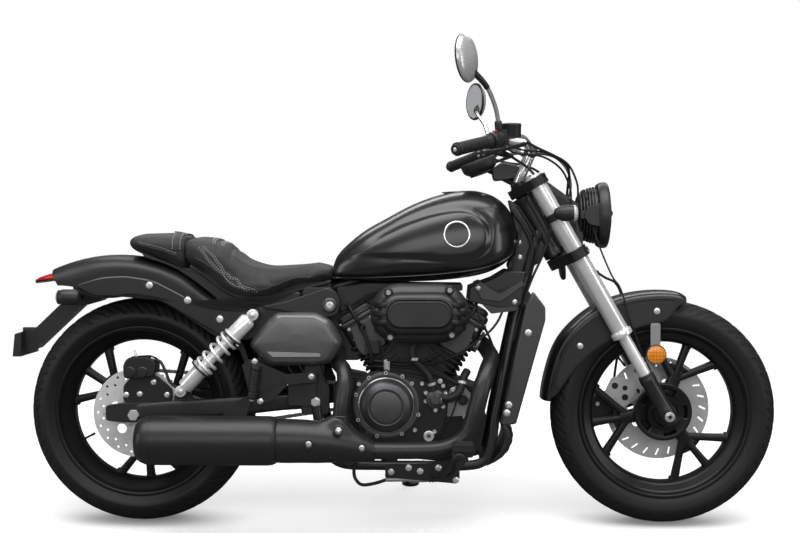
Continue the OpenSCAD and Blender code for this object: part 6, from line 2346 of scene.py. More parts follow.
            cords.append(sweep(pts - nrm * 0.6, 2.2, 10, (0, 0.2, 1)))
            threads.append(stitches(*self.laid(back, pts + np.array([0, 0, 7.0])), 4.6, 2.4, 0.8))
        s.make("seat_stitches", union(threads), THREAD)
        s.make("seat_piping", union(cords), HIDE)
        self.strap(back)
        base = rounded([(-188, 664), (-250, 650), (-300, 634), (-363, 616), (-416, 616), (-450, 629),
                        (-490, 653), (-530, 685), (-560, 705), (-566, 700), (-530, 678), (-490, 646),
                        (-450, 622), (-416, 608.6), (-363, 608.6), (-300, 626), (-250, 642), (-188, 656)], 3,
                       3)
        s.make("seat_base", slab(base, -104, 104, 1.5), SATIN)
        under = rounded([(-700, 740), (-640, 716), (-590, 697), (-560, 694), (-530, 674), (-490, 642),
                         (-450, 618), (-363, 608), (-300, 622), (-188, 655), (-188, 640), (-300, 600),
                         (-363, 572), (-440, 572), (-468, 590), (-519, 633), (-560, 664), (-599, 690),
                         (-640, 708), (-690, 724)], 4, 3)
        s.make("seat_pan", slab(under, -84, 84, 2.0), SATIN)

    def strap(self, tree: BVHTree) -> None:
        """The passenger strap: a flat band across the pillion's front edge, on its surface.

        Args:
            tree: search tree of the pad.
        """
        y = np.linspace(-112, 112, 120)
        a = np.linspace(0, np.pi, 120)
        line = np.stack([np.full(120, -600.0), -120 * np.cos(a), 745 + 60 * np.sin(a)], 1)
        pts, nrm = self.laid(tree, line)
        along = unit(np.gradient(pts, axis=0))
        wide = unit(np.cross(nrm, along))
        ring = [(-14, 0.2), (-13.4, 2.4), (0, 3.0), (13.4, 2.4), (14, 0.2), (13, -1.0), (0, -1.0),
                (-13, -1.0)]
        verts = np.stack([pts + wide * u + nrm * v for u, v in ring], 1)
        self.shop.make("passenger_strap", closed(verts), HIDE)
        threads = []
        for u in (-10.5, 10.5):
            threads.append(stitches(pts + wide * u + nrm * 2.5, nrm, 4.6, 2.4, 0.8))
        self.shop.make("strap_stitches", union(threads), THREAD)


CROWN_R = ((22, 336), (25, 340), (50, 376), (61, 382), (74, 403), (88, 416), (106, 437), (125, 457),
           (127, 457))
CREASE_R = ((22, 330), (25, 334), (50, 352), (60, 353), (70, 362), (84, 379), (94, 388), (104, 393),
            (114, 395), (127, 432))
HEM_R = ((22, 326), (30, 327), (44, 298), (60, 292), (77, 307), (90, 314), (102, 316), (111, 336), (116, 376),
         (127, 425))
CROWN_F = ((80, 322), (84, 329), (96, 332), (107, 336), (120, 343), (133, 346), (146, 346), (161, 337),
           (174, 333))
HEM_F = ((80, 306), (84, 290), (87, 266), (94, 246), (113, 245), (131, 251), (154, 271), (169, 294),
         (174, 324))


def curve_at(table: Sequence, at: Array) -> Array:
    """A smooth value through (place, value) rows, read at places.

    Args:
        table: rows of (place, value).
        at: places to read.
    Returns:
        One value for each place.
    """
    t = np.array(table, float)
    fine = smooth(t, 12)
    return np.interp(at, fine[:, 0], fine[:, 1])


@dataclass
class Fender:
    """A fender shell: a rounded section carried round the wheel, with its own crown, edge and hem."""

    crown: Sequence
    edge: Optional[Sequence]
    hem: Sequence
    half: float
    thick: float
    span: tuple
    drop: float = 14.0
    rows: int = 127

    def shell(self) -> Surf:
        """The shell: outer and inner sections over polar angles about the axle, joined at the hems.

        The outer section goes from the hem straight up to the edge line, then over the crown along
        a quarter superellipse; the inner one lies a wall's thickness inside.

        Returns:
            The shell's surface.
        """
        deg = np.linspace(self.span[0], self.span[1], self.rows)
        rc = curve_at(self.crown, deg)
        re = curve_at(self.edge, deg) if self.edge is not None else rc - self.drop
        rb = np.minimum(curve_at(self.hem, deg), re - (12 if self.edge is not None else 6))
        a = np.linspace(0, np.pi / 2, 22)
        side = np.linspace(0, 1, 9)[:-1]
        flat_y = np.concatenate([np.full(8, 1.0), np.cos(a) ** 0.7])
        rise = np.concatenate([np.zeros(8), np.sin(a) ** 1.05])
        down = np.concatenate([1 - side, np.zeros(22)])
        y = self.half * np.concatenate([flat_y, -flat_y[:-1][::-1]])
        rise = np.concatenate([rise, rise[:-1][::-1]])
        down = np.concatenate([down, down[:-1][::-1]])
        r = re[:, None] + (rc - re)[:, None] * rise[None] - (re - rb)[:, None] * down[None]
        yy = np.broadcast_to(y[None], r.shape)
        inner_y = yy * (1 - self.thick / self.half)
        inner_r = np.where(down[None] >= 0.999, r, r - self.thick * np.clip(1 - down[None], 0, 1))
        rad = np.radians(deg)[:, None]
        out = np.stack([r * np.cos(rad), yy, r * np.sin(rad)], -1)
        inn = np.stack([inner_r * np.cos(rad), inner_y, inner_r * np.sin(rad)], -1)[:, ::-1]
        return self.sealed(np.concatenate([out, inn], axis=1))

    @staticmethod
    def sealed(rings: Array) -> Surf:
        """Closes the U-shaped ends with strips.

        Args:
            rings: rings of points.
        Returns:
            The closed surface.
        """
        k, m = rings.shape[:2]
        j = np.arange(m // 2 - 1)
        low = np.stack([j, j + 1, m - 2 - j, m - 1 - j], 1)
        high = (k - 1) * m + low[:, ::-1]
        return outward(Surf(rings.reshape(-1, 3), np.vstack([grid_quads(k, m, False, True), low, high])))

@dataclass
class Body:
    """Fenders, covers, rails, lamps at the back and the plate holder."""

    shop: Shop

    def dress(self) -> None:
        """Builds the bodywork."""
        self.rear()
        self.tail()
        self.covers()
        self.cooling()
        self.feet()

    def rear(self) -> None:
        """Rear fender shell and the rails that carry it, with their bolts."""
        s = self.shop
        f = Fender(CROWN_R, CREASE_R, HEM_R, 100.0, 4.0, (121.5, 22))
        shell = f.shell()
        s.make("rear_fender_shell", shell.shifted(REAR_AXLE), TAIL_PAINT, replaces=("rear_fender",), angle=50)
        rail = np.array([(-266.3, 560), (-266.3, 640), (-330, 610), (-420, 582), (-520, 590), (-590, 628),
                         (-660, 664), (-735, 676), (-800, 672), (-866, 652), (-866, 644), (-820, 620),
                         (-770, 620), (-700, 626), (-640, 608), (-560, 562), (-490, 520), (-420, 500),
                         (-350, 520)], float)
        plate = rounded(rail, 22, 6)
        body = slab(plate, 100.3, 113, 4.0)
        s.make("fender_rail_skin", body.both(), FENDER_PAINT, replaces=("fender_rails",), angle=50)
        at = np.array([(-670, -112.6, 650), (-568, -112.6, 610), (-482, -112.6, 560)], float)
        heads = bolts(at, (0, -1, 0), 8.5, 5.5, Head.DOME)
        cups = union([ringed([(12.5, -1), (13, 0.6), (11, 1.4), (9, 0.8), (8.6, -1)], p, (0, -1, 0), 30)
                      for p in at])
        s.make("rail_bolts", heads.both(), BOLT)
        s.make("rail_cups", cups.both(), SATIN_FRAME)

    def tail(self) -> None:
        """Tail lamp, rear signals and the plate holder with its reflector."""
        s = self.shop
        rings = [(-892, 78, 657, 666), (-915, 78, 658, 672), (-934, 74, 658, 681), (-960, 66, 658, 678),
                 (-985, 54, 657, 670), (-1001, 36, 657, 662)]
        t = np.linspace(0, 2 * np.pi, 40, endpoint=False)
        lens = np.stack([np.stack([np.full(40, x), w * lobe(np.cos(t), 0.45),
                                   (lo + hi) / 2 + (hi - lo) / 2 * lobe(np.sin(t), 0.6)], -1) for x, w, lo,
                         hi in rings])
        s.make("tail_lens", closed(lens), RED_LENS, replaces=("tail_lamp",), angle=50)
        frame = [(-936, 71, 664, 667), (-962, 67.5, 656, 660), (-992, 53, 652.6, 656.4),
                 (-1002, 34, 655, 657)]
        rings = np.stack([np.array([(x, -w, lo), (x, -w, hi), (x, w, hi), (x, w, lo)]) for x, w, lo,
                          hi in frame])
        s.make("tail_lamp_base", closed(rings), SATIN)
        pod = lathe([(0, 31), (8, 30.6), (15, 29.6), (19.6, 25), (21, 19), (21, -12), (19.4, -19), (14, -26),
                     (8, -29.4), (0, -30)], (-877, -150, 620), (-1, 0, 0), 40)
        flip = Surf(pod.verts * np.array([-1, 1, 1]) + np.array([-1754.0, 0, 0]), pod.quads[:, ::-1],
                    pod.tris[:, ::-1])
        s.make("rear_signal_pods", flip.both(), SATIN, replaces=("rear_turn_signals",))
        lens = lathe([(19.4, -24.4), (16.6, -27.4), (10, -30.2), (0, -31.0), (0, -24)], (-877, -150, 620),
                     (1, 0, 0), 40)
        s.make("rear_signal_lenses", lens.both(), GREY_LENS)
        stalk = hose([(-877, -140, 618), (-876, -110, 616), (-876, -41, 616)], 7.4, 20, 4)
        collar = lathe([(10, 98), (11.5, 100), (11.5, 112), (9, 116)], (-876, 0, 616), (0, -1, 0), 24)
        s.make("rear_signal_stalks", (stalk + collar).both(), RUBBER, replaces=("rear_turn_signals",))
        s.soften("plate_bracket", SATIN, "chassis", 2.5)
        glass = slab(rounded([(-60, 497), (60, 497), (60, 513), (-60, 513)], 3, 3), 0, 3.0, 0.6,
                     np.array([[0, 0, -1], [1, 0, 0], [0, 1, 0]], float), (-1047.2, 0, 0))
        s.make("rear_reflector", glass, RED_LENS)
        lamp = slab(rounded([(-28, 0), (28, 0), (28, 16), (-28, 16)], 4, 4), -7, 7, 1.2, np.eye(3),
                    (-1022, 0, 521))
        s.make("plate_lamp", lamp, SATIN)
        at = np.array([(-1051.5, y, 486) for y in (-55, 55)])
        s.make("plate_bushes", union([ringed([(3.3, -1), (7, -1), (7, 1.5), (3.3, 1.5)], p, (-1, 0, 0.1), 24)
                                      for p in at]), RUBBER)

    def covers(self) -> None:
        """Side covers with a raised facet and a bare strip, seat bracket covers, neck covers, battery box."""
        s = self.shop
        outline = rounded([(-403, 494), (-366, 545), (-330, 580), (-222, 580), (-184, 560), (-152, 500),
                           (-184, 446), (-220, 440), (-350, 440)], 14, 5)
        m = np.array([[1, 0, 0], [0, 0, -1], [0, 1, 0]], float)
        c = outline.mean(0)

        def ring(scale: float, height: float, shift: float = 0.0) -> Array:
            """The outline shrunk about its middle, at a height."""
            o = c + (outline - c) * scale + np.array([shift, 0])
            return np.column_stack([o, np.full(len(o), height)])

        rows = [ring(0.985, 113.4), ring(1, 115), ring(1, 132), ring(0.985, 138), ring(0.95, 144),
                ring(0.86, 152), ring(0.84, 153.2), ring(0.82, 153.8), ring(0.72, 155.0), ring(0.5, 156.6),
                ring(0.2, 157.6)]
        shell = closed(np.stack(rows) @ m.T)
        s.make("side_cover_shell", shell.both(), COVER_METAL, replaces=("side_covers",), angle=40)
        strip = rounded([(-352, 478), (-212, 474), (-209, 465), (-336, 464)], 2, 3)
        s.make("side_cover_strip", slab(strip, 156.4, 158.0, 0.4).both(), TRIM_GREY)
        bracket = rounded([(-366, 597), (-307, 608), (-197, 645), (-172, 636), (-159, 605), (-166, 574),
                           (-190, 565), (-364, 590)], 8, 5)
        plate = slab(bracket, 113.3, 128, 3.5)
        s.make("frame_cover_shell", plate.both(), SATIN_FRAME, replaces=("frame_covers",), angle=40)
        cup = ringed([(8, 124), (19, 124), (20.5, 130), (18, 136), (15.5, 137.5), (13, 134), (12.4, 129),
                      (8, 129)], (-188, 0, 599), (0, -1, 0), 44)
        s.make("bracket_cups", cup.both(), ENGINE_GREY, replaces=("frame_covers",))
        head = bolts([(-188, -128, 599)], (0, -1, 0), 13.5, 8.0, Head.DOME)
        s.make("bracket_bolts_side", head.both(), BOLT)
        s.soften("neck_covers", SATIN, "chassis", 1.5)
        ridge = [slab(rounded([(196, 652), (212, 660), (262, 628), (318, 662), (330, 652), (266, 606),
                               (214, 612)], 5), 87, 91.5, 1.6),
                 slab(rounded([(214, 600), (262, 590), (312, 592), (306, 582), (240, 574)], 3), 87, 90.0,
                      1.0)]
        s.make("neck_ridges", union(ridge).both(), DARK_GREY)
        band = rounded([(-174, 642), (-100, 655), (165, 652), (165, 634), (-58, 632), (-100, 620),
                        (-161, 576), (-175, 600)], 6)
        s.make("under_tank_band", slab(band, 30, 62, 2.0).both(), SATIN)
        bolts_at = np.array([(205, -90, 643), (303, -88, 605)], float)
        s.make("neck_bolts", bolts(bolts_at, (0, -1, 0), 6.5, 4.5, Head.DOME).both(), BOLT)
        s.soften("battery_box", SATIN, "chassis", 3.0)
        strap = slab(rounded([(-330, 440), (-316, 440), (-316, 606), (-330, 606)], 3), 92, 95, 0.8)
        s.make("battery_strap", strap.both(), RUBBER)

    def cooling(self) -> None:
        """Radiator core, tanks, shroud with its folds and bolts, and the lower cowl."""
        s = self.shop
        s.keep("radiator", SATIN_FRAME)
        s.soften("radiator_shroud", DARK_GREY, "chassis", 8.0)
        face = (np.array([285.0 + 14, 296.0]), np.array([350.0 + 14, 596.0]))
        along = unit(face[1] - face[0])
        out = np.array([along[1], -along[0]])
        n = float(np.linalg.norm(face[1] - face[0]))
        m = np.stack([[0, 1, 0], [along[0], 0, along[1]], [out[0], 0, out[1]]], axis=1)
        at = np.array([face[0][0], 0, face[0][1]])
        fins = [slab(np.array([(-98, z), (98, z), (98, z + 1.2), (-98, z + 1.2)]), 0.0, 2.4, 0.2, m, at)
                for z in np.arange(30, n - 24, 6.4)]
        s.make("radiator_fins", union(fins), STEEL)
        tanks = [slab(rounded([(-106, z), (106, z), (106, z + 20), (-106, z + 20)], 6, 4), 0, 7, 2.0, m, at)
                 for z in (4, n - 24)]
        s.make("radiator_tanks", union(tanks), SATIN)
        places = np.array([(335, -138, 527), (284, -138, 337), (279, -138, 316)], float)
        s.make("shroud_bolts", bolts(places, (0, -1, 0), 8.0, 4.5, Head.DOME).both(), BOLT)
        t = np.linspace(0, 1, 40)[:, None]
        y = np.linspace(-98, 98, 60)[None, :]
        face = smooth([(290, 281), (301, 256), (301, 232), (288, 202), (264, 180), (241, 168)], 8)
        rim_x, rim_z = (np.interp(t, np.linspace(0, 1, len(face)), face[:, k]) for k in (0, 1))
        wave = 1.6 * np.sin(t * 22.0) ** 2 * np.clip((98 - np.abs(y)) / 10, 0, 1)
        bulge = np.sqrt(np.clip(1 - (np.abs(y) / 98.0) ** 6, 0, 1))
        x = rim_x - 22 + 22 * bulge - wave
        outer = np.stack([x, y + 0 * x, rim_z + 0 * y], -1)
        inner = np.stack([np.minimum(x - 4, rim_x - 26) + 0 * y, y * 0.98 + 0 * x, rim_z + 0 * y],
                         -1)[:, ::-1]
        s.make("cowl_skin", closed(np.concatenate([outer, inner], 1)), SATIN, replaces=("lower_cowl",),
               angle=50)

    def feet(self) -> None:
        """Foot controls and passenger pegs with rubbers, linkage and bolts."""
        s = self.shop
        s.soften("foot_controls", SATIN_FRAME, "chassis", 0.8)
        s.soften("passenger_pegs", SATIN_FRAME, "chassis", 0.8)
        peg = [(13, 224), (16.5, 225)] + [(r, 228 + 8 * k + d) for k in range(10)
                                          for d, r in ((0, 16.5), (3, 16.5), (4, 14.6), (7, 14.6))]
        peg += [(16.5, 309), (17, 312), (15, 316)]
        s.make("foot_peg_rubbers", lathe(peg, (150, 0, 222), (0, -1, 0), 32).both(), RUBBER)
        pad = slab(rounded([(133, 239), (187, 239), (187, 297), (133, 297)], 6, 4), 255, 258.6, 1.4,
                   np.eye(3) @ np.array([[1, 0, 0], [0, 1, 0], [0, 0, 1]]))
        ribs = [slab(rounded([(138, y), (182, y), (182, y + 5), (138, y + 5)], 2, 3), 258, 260.2, 0.6,
                     np.eye(3)) for y in range(246, 292, 10)]
        pads = pad + union(ribs)
        s.make("pedal_pads", pads.both(), RUBBER)
        places = np.array([(-25, -150, 161), (21, -150, 172), (51, -150, 163), (99, -150, 172),
                           (145, -150, 140)], float)
        s.make("foot_bracket_bolts", bolts(places, (0, -1, 0), 7.5, 4.6, Head.DOME).both(), BOLT)
        rod = lathe([(5, -40), (6.5, -36), (6.5, 20), (9, 22), (9, 70), (7, 74), (4, 76), (4, 140)],
                    (0, -140, 140), (1, 0, 0.02), 20)
        s.make("brake_cylinder", rod, STEEL)
        boot = lathe([(9, 0), (10.5, 3), (8, 7), (10.5, 11), (8, 15), (10, 19), (6, 24)], (74, -140, 141.4),
                     (1, 0, 0.02), 20)
        s.make("brake_boot", boot, RUBBER)
        loop = hose([(-36, -140, 139), (-70, -138, 128), (-104, -134, 124), (-122, -128, 142),
                     (-124, -122, 168), (-118, -116, 190), (-130, -112, 216)], 4.6, 14)
        s.make("rear_brake_hose_low", loop, RUBBER)
        peg2 = [(9, 0), (12.4, 2)] + [(r, 4 + 9 * k + d) for k in range(8)
                                      for d, r in ((0, 13.4), (4, 13.4), (5, 11.6), (8, 11.6))] + [(13.4, 78),
                (13.4, 84), (10, 88)]
        a, b = np.array([-392.0, -149, 352]), np.array([-380.0, -149, 440])
        s.make("passenger_rubbers", lathe(peg2, a, b - a, 28).both(), RUBBER)
        at = np.array([(-386, -137, 450), (-236, -137, 410), (-372, -137, 344)], float)
        s.make("passenger_bolts", bolts(at, (0, -1, 0), 7.5, 5, Head.DOME).both(), BOLT)
        sides = [hose([(-236, -128, 560), (-250, -126, 500), (-272, -124, 450), (-250, -122, 410)], 3.0),
                 hose([(-262, -126, 556), (-286, -124, 500), (-300, -122, 440), (-270, -120, 396)], 3.0)]
        s.make("side_cables", union(sides), RUBBER)
        plate = slab(rounded([(-300, 330), (-230, 330), (-222, 396), (-300, 396)], 8, 4), 113.6, 118, 1.0)
        s.make("pivot_cover", plate.both(), SATIN)


# ---------------------------------------------------------------- front end and cockpit


@dataclass
class Fork:
    """Fork legs, yokes, stem, front fender, caliper and axle, in the steering axis's frame."""

    shop: Shop
    spread: float = 188.0
    sleeve: float = 23.0

    def dress(self) -> None:
        """Builds the front end."""
        s = self.shop
        legs, lowers, seals, caps = [], [], [], []
        for sign in (-1, 1):
            c = (YOKE, sign * self.spread / 2, 0)
            legs.append(lathe([(22.2, 258), (23, 259.5), (23, 730), (21.6, 732), (14, 732)], c, (0, 0, 1),
                              96))
            legs.append(ringed([(23, 245), (27.4, 244), (28.5, 246), (28.5, 257), (27, 259.6), (23, 260)], c,
                               (0, 0, 1), 96))
            legs.append(lathe([(16, 118.3), (16, 246)], c, (0, 0, 1), 96))
            seals.append(ringed([(16.2, 116), (20, 116.4), (21.4, 119), (20.6, 124), (18, 126.4),
                                 (16.3, 126.6)], c, (0, 0, 1), 72))
            lowers.append(lathe([(17, -24), (20.6, -22.6), (22.5, -19), (22.5, 22), (21.4, 27), (21, 34),
                                 (21, 100), (22.4, 104), (22.4, 115), (21, 118), (16.4, 118)], c, (0, 0, 1),
                                96))
            caps.append(bolts([(YOKE, sign * self.spread / 2, 728)], (0, 0, 1), 10, 5.4, Head.HEX))
        s.make("fork_sleeves", union(legs).steered(), FORK_CHROME, "steering", replaces=("fork_tubes",))
        s.make("fork_bottoms", union(lowers).steered(), SATIN_FRAME, "steering", replaces=("fork_lowers",))
        s.make("fork_seals", union(seals).steered(), RUBBER, "steering")
        s.make("fork_caps", union(caps).steered(), BOLT, "steering")
        s.soften("yokes", ENGINE_BLACK, "steering", 2.0)
        pinch = [bolts([(YOKE + 24, sign * self.spread / 2, z)], (1, 0, 0), 5, 6.5, Head.SOCKET)
                 for sign in (-1, 1) for z in (488, 500, 713)]
        nut = lathe([(16, 0), (16, 3), (13, 4), (13, 11), (11, 13), (6, 13)], (0, 0, 726), (0, 0, 1), 6)
        s.make("yoke_bolts", union(pinch + [nut]).steered(), BOLT, "steering")
        self.fender()
        self.brake()
        s.soften("front_axle", BOLT, "steering", 0.6)
        hexes = union([ringed([(5.2, 0), (9.5, 0), (9.5, 3.0), (8.6, 3.6), (5.2, 3.6)],
                              (710, y, FRONT_AXLE[2]), (0, np.sign(y), 0), 6) for y in (-120.2, 120.2)])
        s.make("axle_sockets", hexes, STEEL, "steering")

    def fender(self) -> None:
        """Front fender shell with its raised band, stays, bolts and the round reflectors."""
        s = self.shop
        f = Fender(CROWN_F, None, HEM_F, 63.3, 3.2, (174, 80), 16.0)
        shell = f.shell()
        s.make("front_fender_shell", shell.shifted(FRONT_AXLE), FENDER_PAINT, "steering",
               replaces=("front_fender",), angle=50)
        deg = np.linspace(86, 168, 120)
        r = curve_at(CROWN_F, deg) - 21.0
        bead = np.stack([r * np.cos(np.radians(deg)), np.full(120, 63.6), r * np.sin(np.radians(deg))], -1)
        s.make("front_fender_beads", (sweep(bead + FRONT_AXLE, 2.0, 10, (0.1, 0.3, 1))).both(), GLOSS,
               "steering")
        stays = [slab(rounded([(-12, 92), (12, 92), (12, 282), (-12, 282)], 5), 62, 65, 0.8)]
        boss = lathe([(10, 62), (10, 71)], (0, 0, 102), (0, -1, 0), 24)
        local = union(stays + [boss])
        a = -RAKE
        c, q = math.cos(a), math.sin(a)
        tilt = np.array([[c, 0, q], [0, 1, 0], [-q, 0, c]])
        placed = local.moved(tilt, FRONT_AXLE)
        s.make("fender_stays", placed.both(), SATIN_FRAME, "steering", replaces=("front_fender",))
        band = []
        for low, high in ((86, 112), (122, 166)):
            deg = np.linspace(low, high, 40)
            hem = curve_at(HEM_F, deg)
            top = curve_at(CROWN_F, deg) - 30
            bottom = np.maximum(hem + 4, hem)
            loop = np.concatenate([np.stack([bottom * np.cos(np.radians(deg)),
                                             bottom * np.sin(np.radians(deg))], 1),
                                   np.stack([top * np.cos(np.radians(deg)), top * np.sin(np.radians(deg))],
                                            1)[::-1]])
            band.append(slab(loop, 62.6, 65.4, 0.8))
        field_ = union(band)
        s.make("fender_side_fields", field_.shifted(FRONT_AXLE).both(), SATIN, "steering")
        at = np.array([(685, -65.2, 580), (480, -65.2, 486)], float)
        s.make("front_fender_bolts", bolts(at, (0, -1, 0), 7.5, 4.4, Head.DOME).both(), BOLT, "steering")
        arm = slab(rounded([(664, 480), (690, 480), (690, 546), (664, 546)], 4), 84, 87, 0.8)
        link = slab(rounded([(668, 520), (690, 520), (690, 548), (668, 548)], 4), 65, 86, 0.8)
        s.make("reflector_stays", (arm + link).both(), TRIM_GREY, "steering")
        cup = lathe([(24, 0), (27, 1), (27, 6.6), (25.6, 7.6), (24, 7.0)], (678, -87, 466), (0, -1, 0), 48)
        lens = lathe([(24.4, 3), (24.4, 6.8), (22, 8.2), (12, 9.6), (0, 10.0)], (678, -87, 466), (0, -1, 0),
                     48)
        s.make("reflector_cups", cup.both(), SATIN, "steering")
        s.make("reflector_lenses", lens.both(), AMBER, "steering")

    def brake(self) -> None:
        """Front caliper with its pistons, pins and bracket, whose holes are dark discs of painted shade, and the
        hose down the fork.
        """
        s = self.shop
        s.soften("front_caliper", ENGINE_BLACK, "steering", 2.0)
        c = FRONT_AXLE
        steel = slab(rounded([(-150, 40), (-128, 88), (-70, 78), (-52, 30), (-84, 10), (-96, -10), (-112, 8)],
                             10), -48, -44, 0.8)
        holes = union([ringed([(r, -44.4), (r + 2.4, -44.4), (r + 2.4, -43.2), (r, -43.2)], (x, 0, z),
                              (0, -1, 0), 24) for x, z, r in ((-120, 62, 9), (-92, 56, 7), (-92, 30, 9))])
        # The bracket is not cut through: these dark discs paint its holes, standing for the shade inside them
        # and the dark caliper behind.
        dark = union([lathe([(r, -43.9), (r, -43.6), (0, -43.5)], (x, 0, z), (0, -1, 0), 24)
                      for x, z, r in ((-120, 62, 9), (-92, 56, 7), (-92, 30, 9))])
        s.make("caliper_bracket", (steel + holes).shifted(c), FORK_CHROME, "steering")
        s.make("caliper_bracket_painted_holes", dark.shifted(c), SATIN, "steering")
        pots = union([lathe([(17, -2), (17, 3), (14, 5), (8, 5.4), (7, 4), (0, 4)], c + [x, 80, z], (0, 1, 0),
                            30) for x, z in ((-150, -4), (-146, 26))])
        s.make("caliper_pots", pots, Cast("caliper_metal", "caliper_silver", rgb(0.3, 0.3, 0.31), rough=0.34,
                                          metallic=0.8), "steering")
        pins = bolts([c + [-170, 80, 10], c + [-118, 80, 24], c + [-120, 71, 6], c + [-40, 71, 48]],
                     (0, 1, 0), 6, 5, Head.SOCKET)
        inner = bolts([c + [-168, 46, 12], c + [-120, 46, 24]], (0, -1, 0), 6, 5, Head.SOCKET)
        s.make("caliper_bolts", pins + inner, BOLT, "steering")
        path = smooth(np.array([(300, -214, 1036), (350, -170, 1012), (405, -115, 992), (442, -55, 972),
                                (456, 0, 952), (458, 42, 925), (456, 57, 880), (458, 58, 830), (470, 58, 770),
                                (520, 57, 700), (560, 56, 668), (592, 63, 652), (611, 70, 618),
                                (628, 70.5, 560), (623, 70.5, 534), (600, 70.5, 440), (588, 70, 350)], float)
                      + [0, 0, DROP], 8)
        s.make("brake_hose_skin", sweep(path, 3.5, 16, (0.2, 0.4, 0.9)), RUBBER, "steering",
               replaces=("front_brake_hose",))
        ends = []
        for k in (0, -1):
            d = unit(path[k] - path[k + 1 if k == 0 else k - 1])
            ends.append(lathe([(4.2, -14), (5.4, -12), (5.4, -2), (7.4, -2), (7.4, 4), (5, 5)], path[k], d,
                              16))
        s.make("brake_hose_ends", union(ends), BOLT, "steering")
        clips = [ringed([(3.6, -4), (5.2, -4), (5.2, 4), (3.6, 4)], path[q], unit(path[q + 1] - path[q - 1]),
                        20) for q in (60, 76, 96, 116)]
        s.make("brake_hose_clips", union(clips), RUBBER, "steering")
        wire = hose(np.array([(486, -52, 905), (505, -60, 860), (520, -70, 780), (560, -74, 680),
                              (586, -72, 640), (612, -70, 560), (640, -66, 480), (668, -66, 420)], float),
                    2.4, 10)
        s.make("sensor_wire", wire, RUBBER, "steering")


